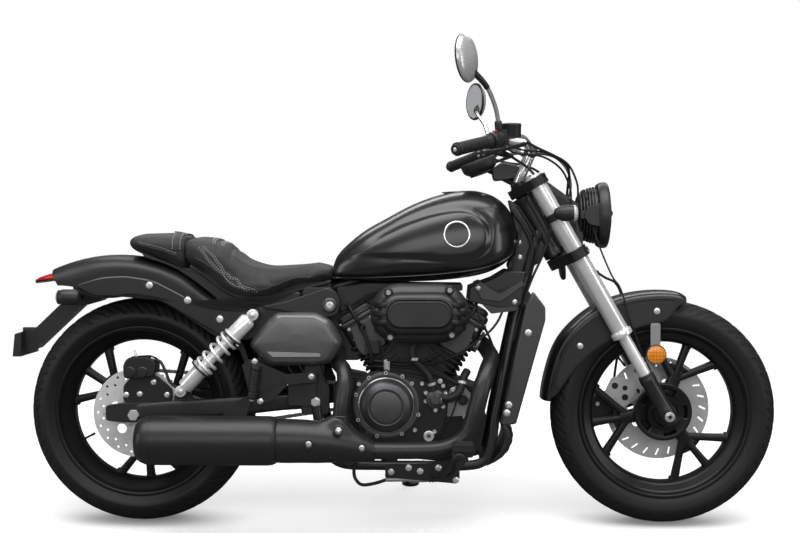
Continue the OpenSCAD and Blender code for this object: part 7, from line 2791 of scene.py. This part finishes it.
@dataclass
class Cockpit:
    """Bars, grips, levers, mirrors, instrument, headlamp, signals and cables."""

    shop: Shop
    bar: float = 11.0

    HALF = ((352, 0, 1004), (350, -50, 1004), (342, -95, 1012), (318, -150, 1034), (286, -195, 1036),
            (232, -265, 1021), (139, -390, 991))

    def dress(self) -> None:
        """Builds the cockpit."""
        self.handlebar()
        for sign in (-1, 1):
            self.hand(sign)
            self.mirror(sign)
        self.headlamp()
        self.instrument()
        self.signals()
        self.cables()

    def up(self, points: Sequence) -> Array:
        """Bike points of the front end, lowered with its axle."""
        return np.asarray(points, float) + np.array([0, 0, DROP])

    def handlebar(self) -> None:
        """The bar as one sweep, its risers and clamps."""
        s = self.shop
        half = np.array(self.HALF, float)
        other = half[1:] * np.array([1, -1, 1])
        path = smooth(self.up(np.vstack([half[::-1], other])), 14)
        s.make("bar_tube", sweep(path, self.bar, 28, (1, 0, 0.2)), CHROME, "steering", replaces=("handlebar",
                ))
        risers, tops, heads = [], [], []
        for sign in (-1, 1):
            a = steer(np.array([4.0, sign * 52, 734.0]))
            b = self.up((350, sign * 50, 1006))
            d = unit(b - a)
            n = float(np.linalg.norm(b - a))
            risers.append(lathe([(12.4, 0), (13, 1), (13, n - 14), (12.2, n - 6), (12.2, n)], a, d, 40))
            tops.append(lathe([(14, -14), (15.5, -12), (15.5, 12), (14, 14)], b, (0, 1, 0), 40))
            across = np.cross(d, (0, 1, 0))
            heads.append(bolts([b + across * 12.5 + [0, 7, 0], b + across * 12.5 - [0, 7, 0],
                                b - across * 12.5 + [0, 7, 0], b - across * 12.5 - [0, 7, 0]], d, 3.6, 6.0,
                               Head.SOCKET))
        s.make("risers", union(risers), CHROME, "steering", replaces=("handlebar",))
        s.make("riser_clamps", union(tops), ENGINE_BLACK, "steering")
        s.make("riser_bolts", union(heads), BOLT, "steering")

    def hand(self, sign: int) -> None:
        """One hand's grip, bar end, switch housing, lever and its perch or reservoir.

        Args:
            sign: -1 for the right hand, 1 for the left.
        """
        s = self.shop
        side = "right" if sign < 0 else "left"
        a, b = self.up((139, sign * 391, 991)), self.up((226, sign * 274, 1019.4))
        d = unit(b - a)
        n = float(np.linalg.norm(b - a))
        prof = [(11, 0), (15.5, 0.6), (16.8, 3), (16.8, 9), (14.6, 12)]
        for k in range(13):
            z = 14 + k * (n - 36) / 13
            prof += [(14.6, z), (16.0, z + 0.8), (16.0, z + 5.6), (14.6, z + 6.4)]
        prof += [(14.8, n - 20), (16.9, n - 16), (17, n - 8), (17, n - 1), (15, n), (11.4, n)]
        s.make("grip_" + side, lathe(prof, a, d, 36), RUBBER, "steering", replaces=("grips",))
        end = lathe([(9, 1.5), (12.5, 0.5), (13.8, -1.2), (13.8, -2.6), (12.6, -4.4), (9, -5.2), (4.4, -5.2),
                     (4, -3), (0, -3)], a, d, 32)
        s.make("bar_end_" + side, end, RUBBER, "steering")
        s.make("bar_end_screw_" + side, bolts([a - d * 5.0], -d, 4.6, 2.4, Head.DOME), BOLT, "steering")
        c, e = self.up((228, sign * 271, 1020)), self.up((262, sign * 226, 1029))
        m = float(np.linalg.norm(e - c))
        dd = unit(e - c)
        prof = [(12, 0), (19, 0.4), (21.4, 3), (22, 8), (22, m * 0.46), (21.2, m * 0.48), (21.2, m * 0.52),
                (22, m * 0.54), (22, m - 8), (21.4, m - 3), (19, m), (12, m)]
        s.make("switch_box_" + side, lathe(prof, c, dd, 36), SATIN, "steering", replaces=("grips",))
        back = np.cross(dd, (0, 0, 1)) * (1 if sign < 0 else -1)
        back = unit(back * np.sign(-back[0]))
        knobs = [lathe([(4.4, 0), (4.4, 3.4), (3.4, 4.2)],
                       c + dd * (m * q) + back * 20.8 + np.array([0, 0, z]), back + [0, 0, 0.2], 16)
                 for q, z in ((0.28, 6), (0.28, -7), (0.72, 5), (0.72, -8))]
        s.make("switch_knobs_" + side, union(knobs), TRIM_GREY, "steering")
        top = slab(rounded([(-9, -5), (9, -5), (9, 5), (-9, 5)], 3), 21, 24.4, 1.0,
                   np.stack([dd, unit(np.cross((0, 0, 1), dd)), np.cross(dd, unit(np.cross((0, 0, 1), dd)))],
                            axis=1), c + dd * m * 0.45)
        s.make("switch_top_" + side, top, RED_SWITCH if sign < 0 else TRIM_GREY, "steering")
        self.lever(sign, side)

    def lever(self, sign: int, side: str) -> None:
        """The lever, its perch, and the reservoir or cable adjuster above it."""
        s = self.shop
        a, b = self.up((318, sign * 234, 1016)), self.up((206, sign * 378, 984))
        t = np.linspace(0, 1, 24)[:, None]
        bow = np.array([14.0, sign * -4.0, -2.0])
        path = a + (b - a) * t + bow * np.sin(np.pi * t) * 0.35
        r = np.interp(t[:, 0], [0, 0.1, 0.3, 0.85, 0.93, 0.97, 1.0], [6.5, 6.5, 5.0, 4.4, 6.4, 6.6, 5.0])
        blade = sweep(path, r, 20, (0.3, 0.1, 1.0), 0.72)
        s.make("lever_" + side, blade, SATIN_FRAME, "steering", replaces=("grips",))
        p0, p1 = self.up((276, sign * 224, 1026)), self.up((322, sign * 233, 1016))
        d = unit(p1 - p0)
        perch = lathe([(9, 0), (12, 2), (12, 20), (10, 28), (10, 40), (8, 46)], p0, d, 28)
        clampr = lathe([(13, -11), (16.5, -9), (16.5, 9), (13, 11)], self.up((270, sign * 216, 1031)),
                       unit(np.array([34, sign * -45.0, 9])), 32)
        s.make("lever_perch_" + side, perch + clampr, BOLT if sign < 0 else SATIN_FRAME, "steering",
               replaces=("grips",))
        if sign < 0:
            c = self.up((283, -218, 1032))
            pot = lathe([(20, 0), (24.4, 1), (25.4, 3), (25.4, 27), (26, 28), (26, 34), (24.6, 36), (0, 36)],
                        c, (0, 0, 1), 56)
            s.make("reservoir", pot, SATIN, "steering", replaces=("grips",))
            screws = bolts([c + [x, y, 35.4] for x, y in ((16, 0), (-16, 0), (0, 16), (0, -16))], (0, 0, 1),
                           2.8, 1.4, Head.DOME)
            s.make("reservoir_screws", screws, BOLT, "steering")
            window = lathe([(7, 0), (7, 1.4), (5.6, 1.6), (5.2, 0.6)], c + [-18.2, -18.2, 14],
                           (-0.7, -0.7, 0), 24)
            s.make("reservoir_window", window, SMOKE_LENS, "steering")
        else:
            c = self.up((276, 218, 1032))
            knob = lathe([(13, 0), (14, 2), (14, 19), (12, 22), (0, 22)], c, (0, 0, 1), 40)
            s.make("clutch_perch", knob, SATIN_FRAME, "steering", replaces=("grips",))
            adj = lathe([(7, 0), (7, 8), (5, 9), (5, 20), (4, 22)], self.up((300, 222, 1024)),
                        (1, -0.35, -0.1), 18)
            s.make("clutch_adjuster", adj, BOLT, "steering")

    def mirror(self, sign: int) -> None:
        """One mirror: a round shell and rim, the glass, and a stem with its dark neck and boss.

        Args:
            sign: -1 for the right mirror, 1 for the left.
        """
        s = self.shop
        side = "right" if sign < 0 else "left"
        r = 60.0 if sign < 0 else 56.0
        centre = self.up((163, -352, 1216) if sign < 0 else (214, 352, 1186))
        yaw, tilt = math.radians(sign * 25 + 180), math.radians((4 if sign < 0 else 0) - 90)
        ry = np.array([[math.cos(tilt), 0, math.sin(tilt)], [0, 1, 0], [-math.sin(tilt), 0, math.cos(tilt)]])
        rz = np.array([[math.cos(yaw), -math.sin(yaw), 0], [math.sin(yaw), math.cos(yaw), 0], [0, 0, 1]])
        axis = rz @ ry @ np.array([0, 0, 1.0])
        shell = lathe([(r - 5, -3.4), (r - 1.2, -2.6), (r, 0), (r - 0.6, 3.2), (r - 3, 7), (r * 0.86, 11),
                       (r * 0.7, 15), (r * 0.52, 18), (r * 0.35, 20), (r * 0.18, 21.4), (0, 22)], centre,
                      axis, 72)
        s.make("mirror_shell_" + side, shell, MIRROR_SHELL, "steering", replaces=("mirrors",))
        glass = lathe([(r - 5.2, -3.2), (r - 6.2, -4.0), (r * 0.5, -3.6), (0, -3.4), ], centre, axis, 72)
        s.make("mirror_glass_" + side, glass, MIRROR, "steering")
        rim = ringed([(r - 5.4, -4.4), (r - 1.0, -3.6), (r + 0.2, -0.6), (r + 0.2, 1.0), (r - 0.8, 1.0),
                      (r - 5.6, -3.0)], centre, axis, 72)
        s.make("mirror_rim_" + side, rim, SATIN, "steering")
        top = (176, sign * 346, 1190) if sign < 0 else (228, sign * 346, 1176)
        path = smooth(self.up([(250, sign * 244, 1050), (248, sign * 250, 1072), (238, sign * 272, 1110),
                               (215, sign * 312, 1152), top]), 12)
        s.make("mirror_stem_" + side, sweep(path, 5.6, 24, (1, 0, 0)), CHROME, "steering",
               replaces=("mirrors",))
        neck = sweep(path[-14:], np.linspace(7.0, 8.4, 14), 24, (1, 0, 0))
        boss = lathe([(9, 6), (9.6, 8), (9.6, 30), (8.8, 33), (6.5, 36)], self.up((251, sign * 243, 1038)),
                     np.array([-3, sign * 7.0, 34]), 24)
        s.make("mirror_neck_" + side, neck + boss, SATIN, "steering", replaces=("mirrors",))

    def headlamp(self) -> None:
        """Headlamp: a finned shell, thick rim, reflector bowl with a cross bar, glass and its brackets."""
        s = self.shop
        c = self.up((544, 0, 838))
        back = [(0, -72), (20, -71.6), (40, -70.4), (50, -68)]
        for k in range(6):
            z = -62 + k * 7.6
            rr = float(np.interp(z, [-70, -58, -36, -20], [54, 66, 75, 78]))
            back += [(rr - 5, z - 1.6), (rr, z - 0.8), (rr, z + 2.4), (rr - 5, z + 3.2)]
        back += [(72, -17), (72, -12), (60, -9), (0, -9)]
        s.make("headlamp_shell", lathe(back, c, (1, 0, 0), 96), SATIN, "steering", replaces=("headlamp",))
        rim = [(70, -18), (84, -14), (87.6, -9), (89, -4), (90, 4), (89.4, 9), (87, 13), (83.5, 14.6),
               (79.5, 13.2), (78.5, 8), (76, -10)]
        s.make("headlamp_rim", ringed(rim, c, (1, 0, 0), 120), SATIN, "steering", replaces=("headlamp",))
        bowl = [(77.5, 6), (70, -1), (58, -5), (44, -7), (20, -7.6), (0, -7.6)]
        s.make("headlamp_bowl", lathe(bowl, c, (1, 0, 0), 72), CHROME, "steering")
        bar = slab(rounded([(-76, -7), (76, -7), (76, 7), (-76, 7)], 4), -4, 7, 1.4,
                   np.array([[0, 0, 1], [1, 0, 0], [0, 1, 0]], float), c)
        s.make("headlamp_bar", bar, GLOSS, "steering")
        eyes = [lathe([(26, -5), (27, 4), (24, 6.4), (16, 9), (0, 10.4)], c + [0, y, z], (1, 0, 0), 40)
                for y, z in ((0, 38), (0, -38))]
        s.make("headlamp_eyes", union(eyes), LAMP_GLASS, "steering")
        lens = [(78.4, 10), (77.6, 13), (70, 16.6), (56, 19.8), (40, 22), (20, 23.6), (0, 24), (0, 21.6),
                (20, 21.2), (40, 19.6), (56, 17.4), (70, 14), (76, 11)]
        s.make("headlamp_lens", lathe(lens[:7], c, (1, 0, 0), 96), LAMP_GLASS, "steering")
        plates = []
        for t in (-38.0, 38.0):
            outline = rounded([(60.8, 486), (66, 486), (107, 555), (125, 594), (66, 722), (60.8, 722),
                               (60.8, 704), (100, 612), (84, 560), (60.8, 506)], 5, 4)
            plates.append(slab(outline, -t - 4, -t + 4, 1.2))
        s.make("headlamp_brackets", union(plates).steered(), SATIN_FRAME, "steering", replaces=("headlamp",))
        ears = [slab(rounded([(500, 812), (548, 804), (560, 838), (548, 872), (500, 862), (486, 838)], 10, 5),
                     78 - 4, 78, 1.2)]
        ear = union(ears)
        lamp_arm = slab(rounded([(478, 826), (560, 830), (566, 842), (560, 852), (478, 848)], 7, 5), 66, 74,
                        1.6)
        s.make("headlamp_ears", (ear + lamp_arm).both(), SATIN, "steering")
        s.make("headlamp_ear_bolts", bolts([(544, -78, 838)], (0, -1, 0), 8, 5, Head.DOME).both(), BOLT,
               "steering")

    def instrument(self) -> None:
        """Round instrument: a tapered body, bezel, dark face with plain bars, and its bracket."""
        s = self.shop
        c = self.up((212, 0, 972))
        t = math.radians(-20)
        m = np.array([[math.cos(t), 0, math.sin(t)], [0, 1, 0], [-math.sin(t), 0, math.cos(t)]])
        axis = m @ np.array([0, 0, 1.0])
        base = c + m @ np.array([0, 0, -20.0])
        body = lathe([(0, 0), (30, 0.6), (36, 3), (44, 9), (48, 15), (49.4, 24), (50, 30), (49.2, 34),
                      (47, 36), (44.6, 35.6), (43.6, 33)], base, axis, 72)
        s.make("instrument_body", body, SATIN, "steering", replaces=("instrument",))
        face = lathe([(43.6, 33.2), (43, 33.4), (0, 33.6)], base, axis, 64)
        s.make("instrument_face", face, Pane("instrument_glass", "satin_plastic", rgb(0.02, 0.022, 0.025)),
               "steering")
        ticks = []
        b = basis(axis, (1, 0, 0))
        for k in range(27):
            a = math.radians(210 - k * 9.2)
            p = base + b[:, 0] * math.sin(a) * 0 + axis * 33.8
            u = b[:, 0] * math.sin(a) + b[:, 1] * math.cos(a)
            w = np.cross(axis, u)
            n = 6.0 if k % 3 == 0 else 3.6
            ticks.append(slab(np.array([(40 - n, -0.5), (40, -0.5), (40, 0.5), (40 - n, 0.5)]), 0, 0.3, 0.05,
                              np.stack([u, w, axis], 1), p))
        bars = [slab(np.array([(-16 + q, -6 - q * 0.2), (-13.4 + q, -6 - q * 0.2), (-13.4 + q, 4 + q * 0.3),
                               (-16 + q, 4 + q * 0.3)]), 0, 0.3, 0.05, np.stack([b[:, 1], -b[:, 0], axis], 1),
                     base + axis * 33.8) for q in np.arange(0, 30, 4.2)]
        s.make("instrument_marks", union(ticks + bars), TRIM_GREY, "steering")
        hood = lathe([(30, -3), (34, -2), (34, 3), (30, 4)], base, axis, 40)
        s.make("instrument_base", hood, RUBBER, "steering")
        a, e = self.up((236, 0, 966)), steer(np.array([0.0, 0, 738.3]))
        stalk = sweep(np.array([a, a + (e - a) * 0.4 + [6, 0, -6], e]), 9, 24, (0, 1, 0))
        cradle = slab(rounded([(250, 930), (322, 938), (318, 972), (270, 982), (244, 962)], 10, 5), -26, 26,
                      3.0)
        s.make("instrument_stalk", stalk + cradle, SATIN, "steering", replaces=("instrument",))

    def signals(self) -> None:
        """Front signals: bullets with a pale lens ring, on stalks to the fork."""
        s = self.shop
        pods, lenses, stalks = [], [], []
        for sign in (-1, 1):
            c = self.up((428, sign * 172, 841))
            pods.append(lathe([(0, -32), (5, -31), (12, -27.6), (17, -18), (20.4, -8), (21.6, 6), (22, 18),
                               (20.8, 20.4), (0, 20.4)], c, (1, 0, 0), 48))
            lenses.append(lathe([(21.2, 19.6), (21.6, 22.6), (20, 26.4), (16, 29.6), (9, 31.4), (0, 32)], c,
                                (1, 0, 0), 48))
            k = self.up((440, 0, 841))
            a = k + np.array([0.0, sign * 156, 0])
            b = k + np.array([0.0, sign * (FORK_HALF + 20), 0])
            stalks.append(sweep(np.array([a, (a + b) / 2, b, k + [-14, sign * (FORK_HALF + 24), -8]]), 7.2,
                                22, (0, 0, 1)))
            stalks.append(ringed([(23.3, -10), (28, -9), (28, 9), (23.3, 10)],
                                 steer(np.array([YOKE, sign * FORK_HALF, 610.0])),
                                 np.array([-math.sin(RAKE), 0, math.cos(RAKE)]), 48))
        s.make("front_signal_pods", union(pods), SATIN, "steering", replaces=("front_turn_signals",))
        s.make("front_signal_lenses", union(lenses), PALE_LENS, "steering")
        s.make("front_signal_stalks", union(stalks), SATIN, "steering", replaces=("front_turn_signals",))

    def cables(self) -> None:
        """Throttle, clutch and switch cables: short smooth runs that turn with the bars."""
        s = self.shop
        runs = [([(262, -232, 1020), (310, -190, 1004), (380, -130, 1000), (440, -86, 975), (470, -58, 925),
                  (474, -52, 880)], 2.8),
                ([(258, -236, 1012), (300, -190, 994), (370, -130, 990), (425, -80, 960), (452, -56, 910),
                  (456, -50, 868)], 2.8),
                ([(320, 230, 1020), (372, 190, 1020), (430, 130, 1004), (462, 80, 960), (466, 56, 905),
                  (440, 46, 850)], 3.2), ([(250, 240, 1010), (300, 190, 992), (350, 130, 980), (392, 80, 950),
                                           (410, 48, 905)], 3.6),
                ([(250, -240, 1006), (292, -190, 982), (330, -120, 964), (360, -66, 940), (392, -50, 900),
                  (404, -46, 860)], 3.6), ([(236, 0, 956), (280, 20, 940), (330, 30, 930), (380, 36, 900),
                                            (410, 40, 860)], 3.0)]
        s.make("bar_cables", union([hose(self.up(p), r, 12, 10) for p, r in runs]), RUBBER, "steering")
        key = lathe([(15, 0), (16, 2), (16, 14), (12, 16), (11, 14), (0, 14)],
                    steer(np.array([34.0, 0, 724])), (-0.4, 0, 0.9), 32)
        s.make("ignition", key, STEEL, "steering")
        horn = lathe([(30, 0), (38, 3), (40, 9), (38, 13), (30, 14), (27, 10), (14, 9), (12, 12), (0, 13)],
                     self.up((430, 0, 700)), (1, 0, 0.1), 48)
        s.make("horn", horn, SATIN, "steering")
        arm = slab(rounded([(418, 700), (430, 700), (432, 742), (420, 742)], 3), -8, 8, 1.0)
        s.make("horn_arm", arm, SATIN_FRAME, "steering")


# ---------------------------------------------------------------- scene


class Studio:
    """Floor, lights, backdrop and camera."""

    def __init__(self, shop: Shop) -> None:
        """Keeps the shop."""
        self.shop = shop

    def build(self) -> None:
        """Sets the stage at the view of a low side elevation."""
        scene = bpy.context.scene
        scene.world = self.sky()
        stage = [self.floor()]
        for name, place, aim, size, power in (
                ("top_light", (0.0, -0.6, 3.3), (0.0, -0.3, 0.0), (5.0, 2.4), 150.0),
                ("side_light", (0.2, -4.2, 2.5), (0.0, 0.0, 0.6), (5.4, 1.4), 48.0),
                ("card_light", (0.0, -6.4, 2.9), (0.0, 0.0, 0.9), (10.0, 3.4), 38.0),
                ("front_light", (3.5, -1.5, 1.5), (0.3, 0.0, 0.6), (1.0, 2.2), 22.0),
                ("rear_light", (-3.5, -1.7, 1.4), (-0.3, 0.0, 0.5), (1.0, 2.0), 18.0),
                ("far_light", (0.0, 2.9, 2.6), (0.0, 0.0, 0.6), (4.2, 0.8), 40.0)):
            data = bpy.data.lights.new(name, "AREA")
            data.shape = "RECTANGLE"
            data.size, data.size_y = size
            data.energy = power
            lamp = bpy.data.objects.new(name, data)
            scene.collection.objects.link(lamp)
            lamp.location = place
            lamp.rotation_euler = (Vector(aim) - Vector(place)).to_track_quat("-Z", "Y").to_euler()
            stage.append(lamp)
        camera = self.camera()
        stage.append(camera)
        scene.camera = camera
        scene.view_settings.view_transform = "Standard"

    def sky(self) -> bpy.types.World:
        """White to the camera, a dim room to everything else.

        Returns:
            The world.
        """
        world = bpy.data.worlds.new("studio")
        world.use_nodes = True
        tree = world.node_tree
        tree.nodes.clear()
        out = tree.nodes.new("ShaderNodeOutputWorld")
        path = tree.nodes.new("ShaderNodeLightPath")
        mix = tree.nodes.new("ShaderNodeMixShader")
        dim, white = tree.nodes.new("ShaderNodeBackground"), tree.nodes.new("ShaderNodeBackground")
        dim.inputs[0].default_value = (0.92, 0.95, 1.0, 1)
        dim.inputs[1].default_value = 0.07
        tree.links.new(path.outputs["Is Camera Ray"], mix.inputs[0])
        tree.links.new(dim.outputs[0], mix.inputs[1])
        tree.links.new(white.outputs[0], mix.inputs[2])
        tree.links.new(mix.outputs[0], out.inputs[0])
        white.inputs[0].default_value = (1, 1, 1, 1)
        return world

    def floor(self) -> bpy.types.Object:
        """A wide floor: white to the camera with the bike's cast shadow and painted contact shadows under the
        tyres, a dull grey to everything else.

        Returns:
            The floor.
        """
        mesh = bpy.data.meshes.new("floor")
        n = 60.0
        mesh.from_pydata([(-n, -n, 0), (n, -n, 0), (n, n, 0), (-n, n, 0)], [], [(0, 1, 2, 3)])
        obj = bpy.data.objects.new("floor", mesh)
        bpy.context.scene.collection.objects.link(obj)
        g = Graph("pale_floor")
        x, y, _ = g.split(g.coords())
        reach = ((x * 0.72) ** 2.0 + y ** 2.0) ** 0.5
        # Painted contact shadows: a dark ellipse round each tyre's foot, painted into the floor's glow colour.
        dark: Any = 0.0
        for at in (REAR_AXLE, FRONT_AXLE):
            foot = parked(np.array([at[0], 0.0, 0.0]))
            near = (((x - float(foot[0])) / 0.2) ** 2.0 + ((y - float(foot[1])) / 0.055) ** 2.0) ** 0.5
            dark = dark + (1.0 - near.step(0.2, 1.7))
        # The glow colour goes towards black under the painted contact shadows.
        glow_with_painted_shadow = g.mix((dark * 0.8).clamp(), (1, 1, 1, 1), (0, 0, 0, 1))
        g.set(Base_Color=(0.62, 0.62, 0.62, 1), Roughness=0.85, Specular_IOR_Level=0.1,
              Emission_Color=glow_with_painted_shadow, Emission_Strength=0.62)
        glow = g.add("ShaderNodeEmission", None, {"Color": (1, 1, 1, 1), "Strength": 1.0})
        dull = g.add("ShaderNodeBsdfDiffuse", None, {"Color": (0.16, 0.16, 0.16, 1)})
        path = g.add("ShaderNodeLightPath")
        seen = g.add("ShaderNodeMixShader", None, {0: reach.step(0.9, 2.2), 1: g.shader.outputs[0],
                                                   2: glow.outputs[0]})
        last = g.add("ShaderNodeMixShader", None, {0: path.outputs["Is Camera Ray"], 1: dull.outputs[0],
                                                   2: seen.outputs[0]})
        g.tree.links.new(last.outputs[0], g.out.inputs[0])
        mesh.materials.append(g.material)
        return obj

    def camera(self) -> bpy.types.Object:
        """A camera square to the bike's own side, so that the leaning bike stands upright in the picture.

        Returns:
            The camera.
        """
        data = bpy.data.cameras.new("camera")
        data.lens = 54.2
        data.sensor_width = 36.0
        data.clip_end = 200.0
        obj = bpy.data.objects.new("camera", data)
        bpy.context.scene.collection.objects.link(obj)
        eye = parked(np.array([71.78, -3300.0, 790.82]))
        aim = parked(np.array([-5.22, 0.0, 697.37]))
        forward = unit(aim - eye)
        up = turned(np.array([0.0, 0.0, 1.0]))
        right = unit(np.cross(forward, up))
        up = np.cross(right, forward)
        m = Matrix(((right[0], up[0], -forward[0], eye[0]), (right[1], up[1], -forward[1], eye[1]),
                    (right[2], up[2], -forward[2], eye[2]), (0, 0, 0, 1)))
        obj.matrix_world = m
        return obj


def rear_brake(s: Shop) -> None:
    """Rear caliper: carrier plate, two-pot body, pad pin, bleed nipple, bolts and hose.

    Args:
        s: the shop that takes the pieces.
    """
    c = REAR_AXLE + [24, 0, 4]
    carrier = slab(rounded([(-58, 26), (-58, 70), (-36, 96), (10, 104), (34, 96), (74, 62), (74, 30),
                            (30, 24)], 8, 5), 96, 104, 1.6)
    outline = rounded([(-54, 92), (-56, 128), (-44, 146), (6, 150), (28, 142), (34, 120), (28, 98),
                       (-12, 90)], 9, 5)
    bridge = rounded([(-50, 127), (-44, 146), (6, 150), (28, 142), (31, 127)], 6, 5)
    body = slab(outline, 64, 75, 3.0) + slab(outline, 87, 118, 4.0) + slab(bridge, 66, 116, 2.0)
    pots = union([lathe([(15, 112), (15, 119), (13, 121), (8, 121.4), (0, 121.4)], (x, 0, 108), (0, -1, 0),
                        32) for x in (-36, -4)])
    s.make("rear_caliper_body", (carrier + body + pots).shifted(c), ENGINE_BLACK, replaces=("rear_caliper",),
           angle=40)
    at = np.array([(-50, -104, 46), (-14, -104, 48), (60, -104, 46), (24, -104, 80)], float)
    s.make("rear_caliper_bolts", bolts(at + c, (0, -1, 0), 7.0, 4.6, Head.DOME), BOLT)
    s.make("rear_caliper_pins", bolts(np.array([(-30, -104, 140), (8, -104, 140)]) + c, (0, -1, 0), 5, 4.4,
                                      Head.SOCKET) + lathe([(3.4, 0), (3.4, 10), (2.2, 12), (2.2, 18)],
                                                           c + [-24, -96, 148], (-0.3, 0, 1), 14), BOLT)
    line = hose(np.array([(20, -100, 140), (44, -112, 136), (60, -120, 110), (72, -122, 84), (96, -118, 66),
                          (150, -114, 60)]) + c, 4.2, 14)
    s.make("rear_caliper_hose", line, RUBBER)
    s.make("rear_hose_end", lathe([(7, -3), (7, 5), (5, 6)], c + [20, -102, 140], (0, -1, 0), 20), BOLT)


def main() -> None:
    """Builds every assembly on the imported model, then the stage."""
    logging.basicConfig(level=logging.INFO, format="%(name)s: %(message)s")
    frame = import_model()
    shop = Shop(frame)
    for assembly in (Running(shop), Chassis(shop), Engine(shop), Exhaust(shop), Tank(shop), Seats(shop),
                     Body(shop), Fork(shop), Cockpit(shop)):
        assembly.dress()
        log.info("%s done, %d pieces so far", type(assembly).__name__, shop.count)
    rear_brake(shop)
    Studio(shop).build()


if __name__ == "__main__":
    main()
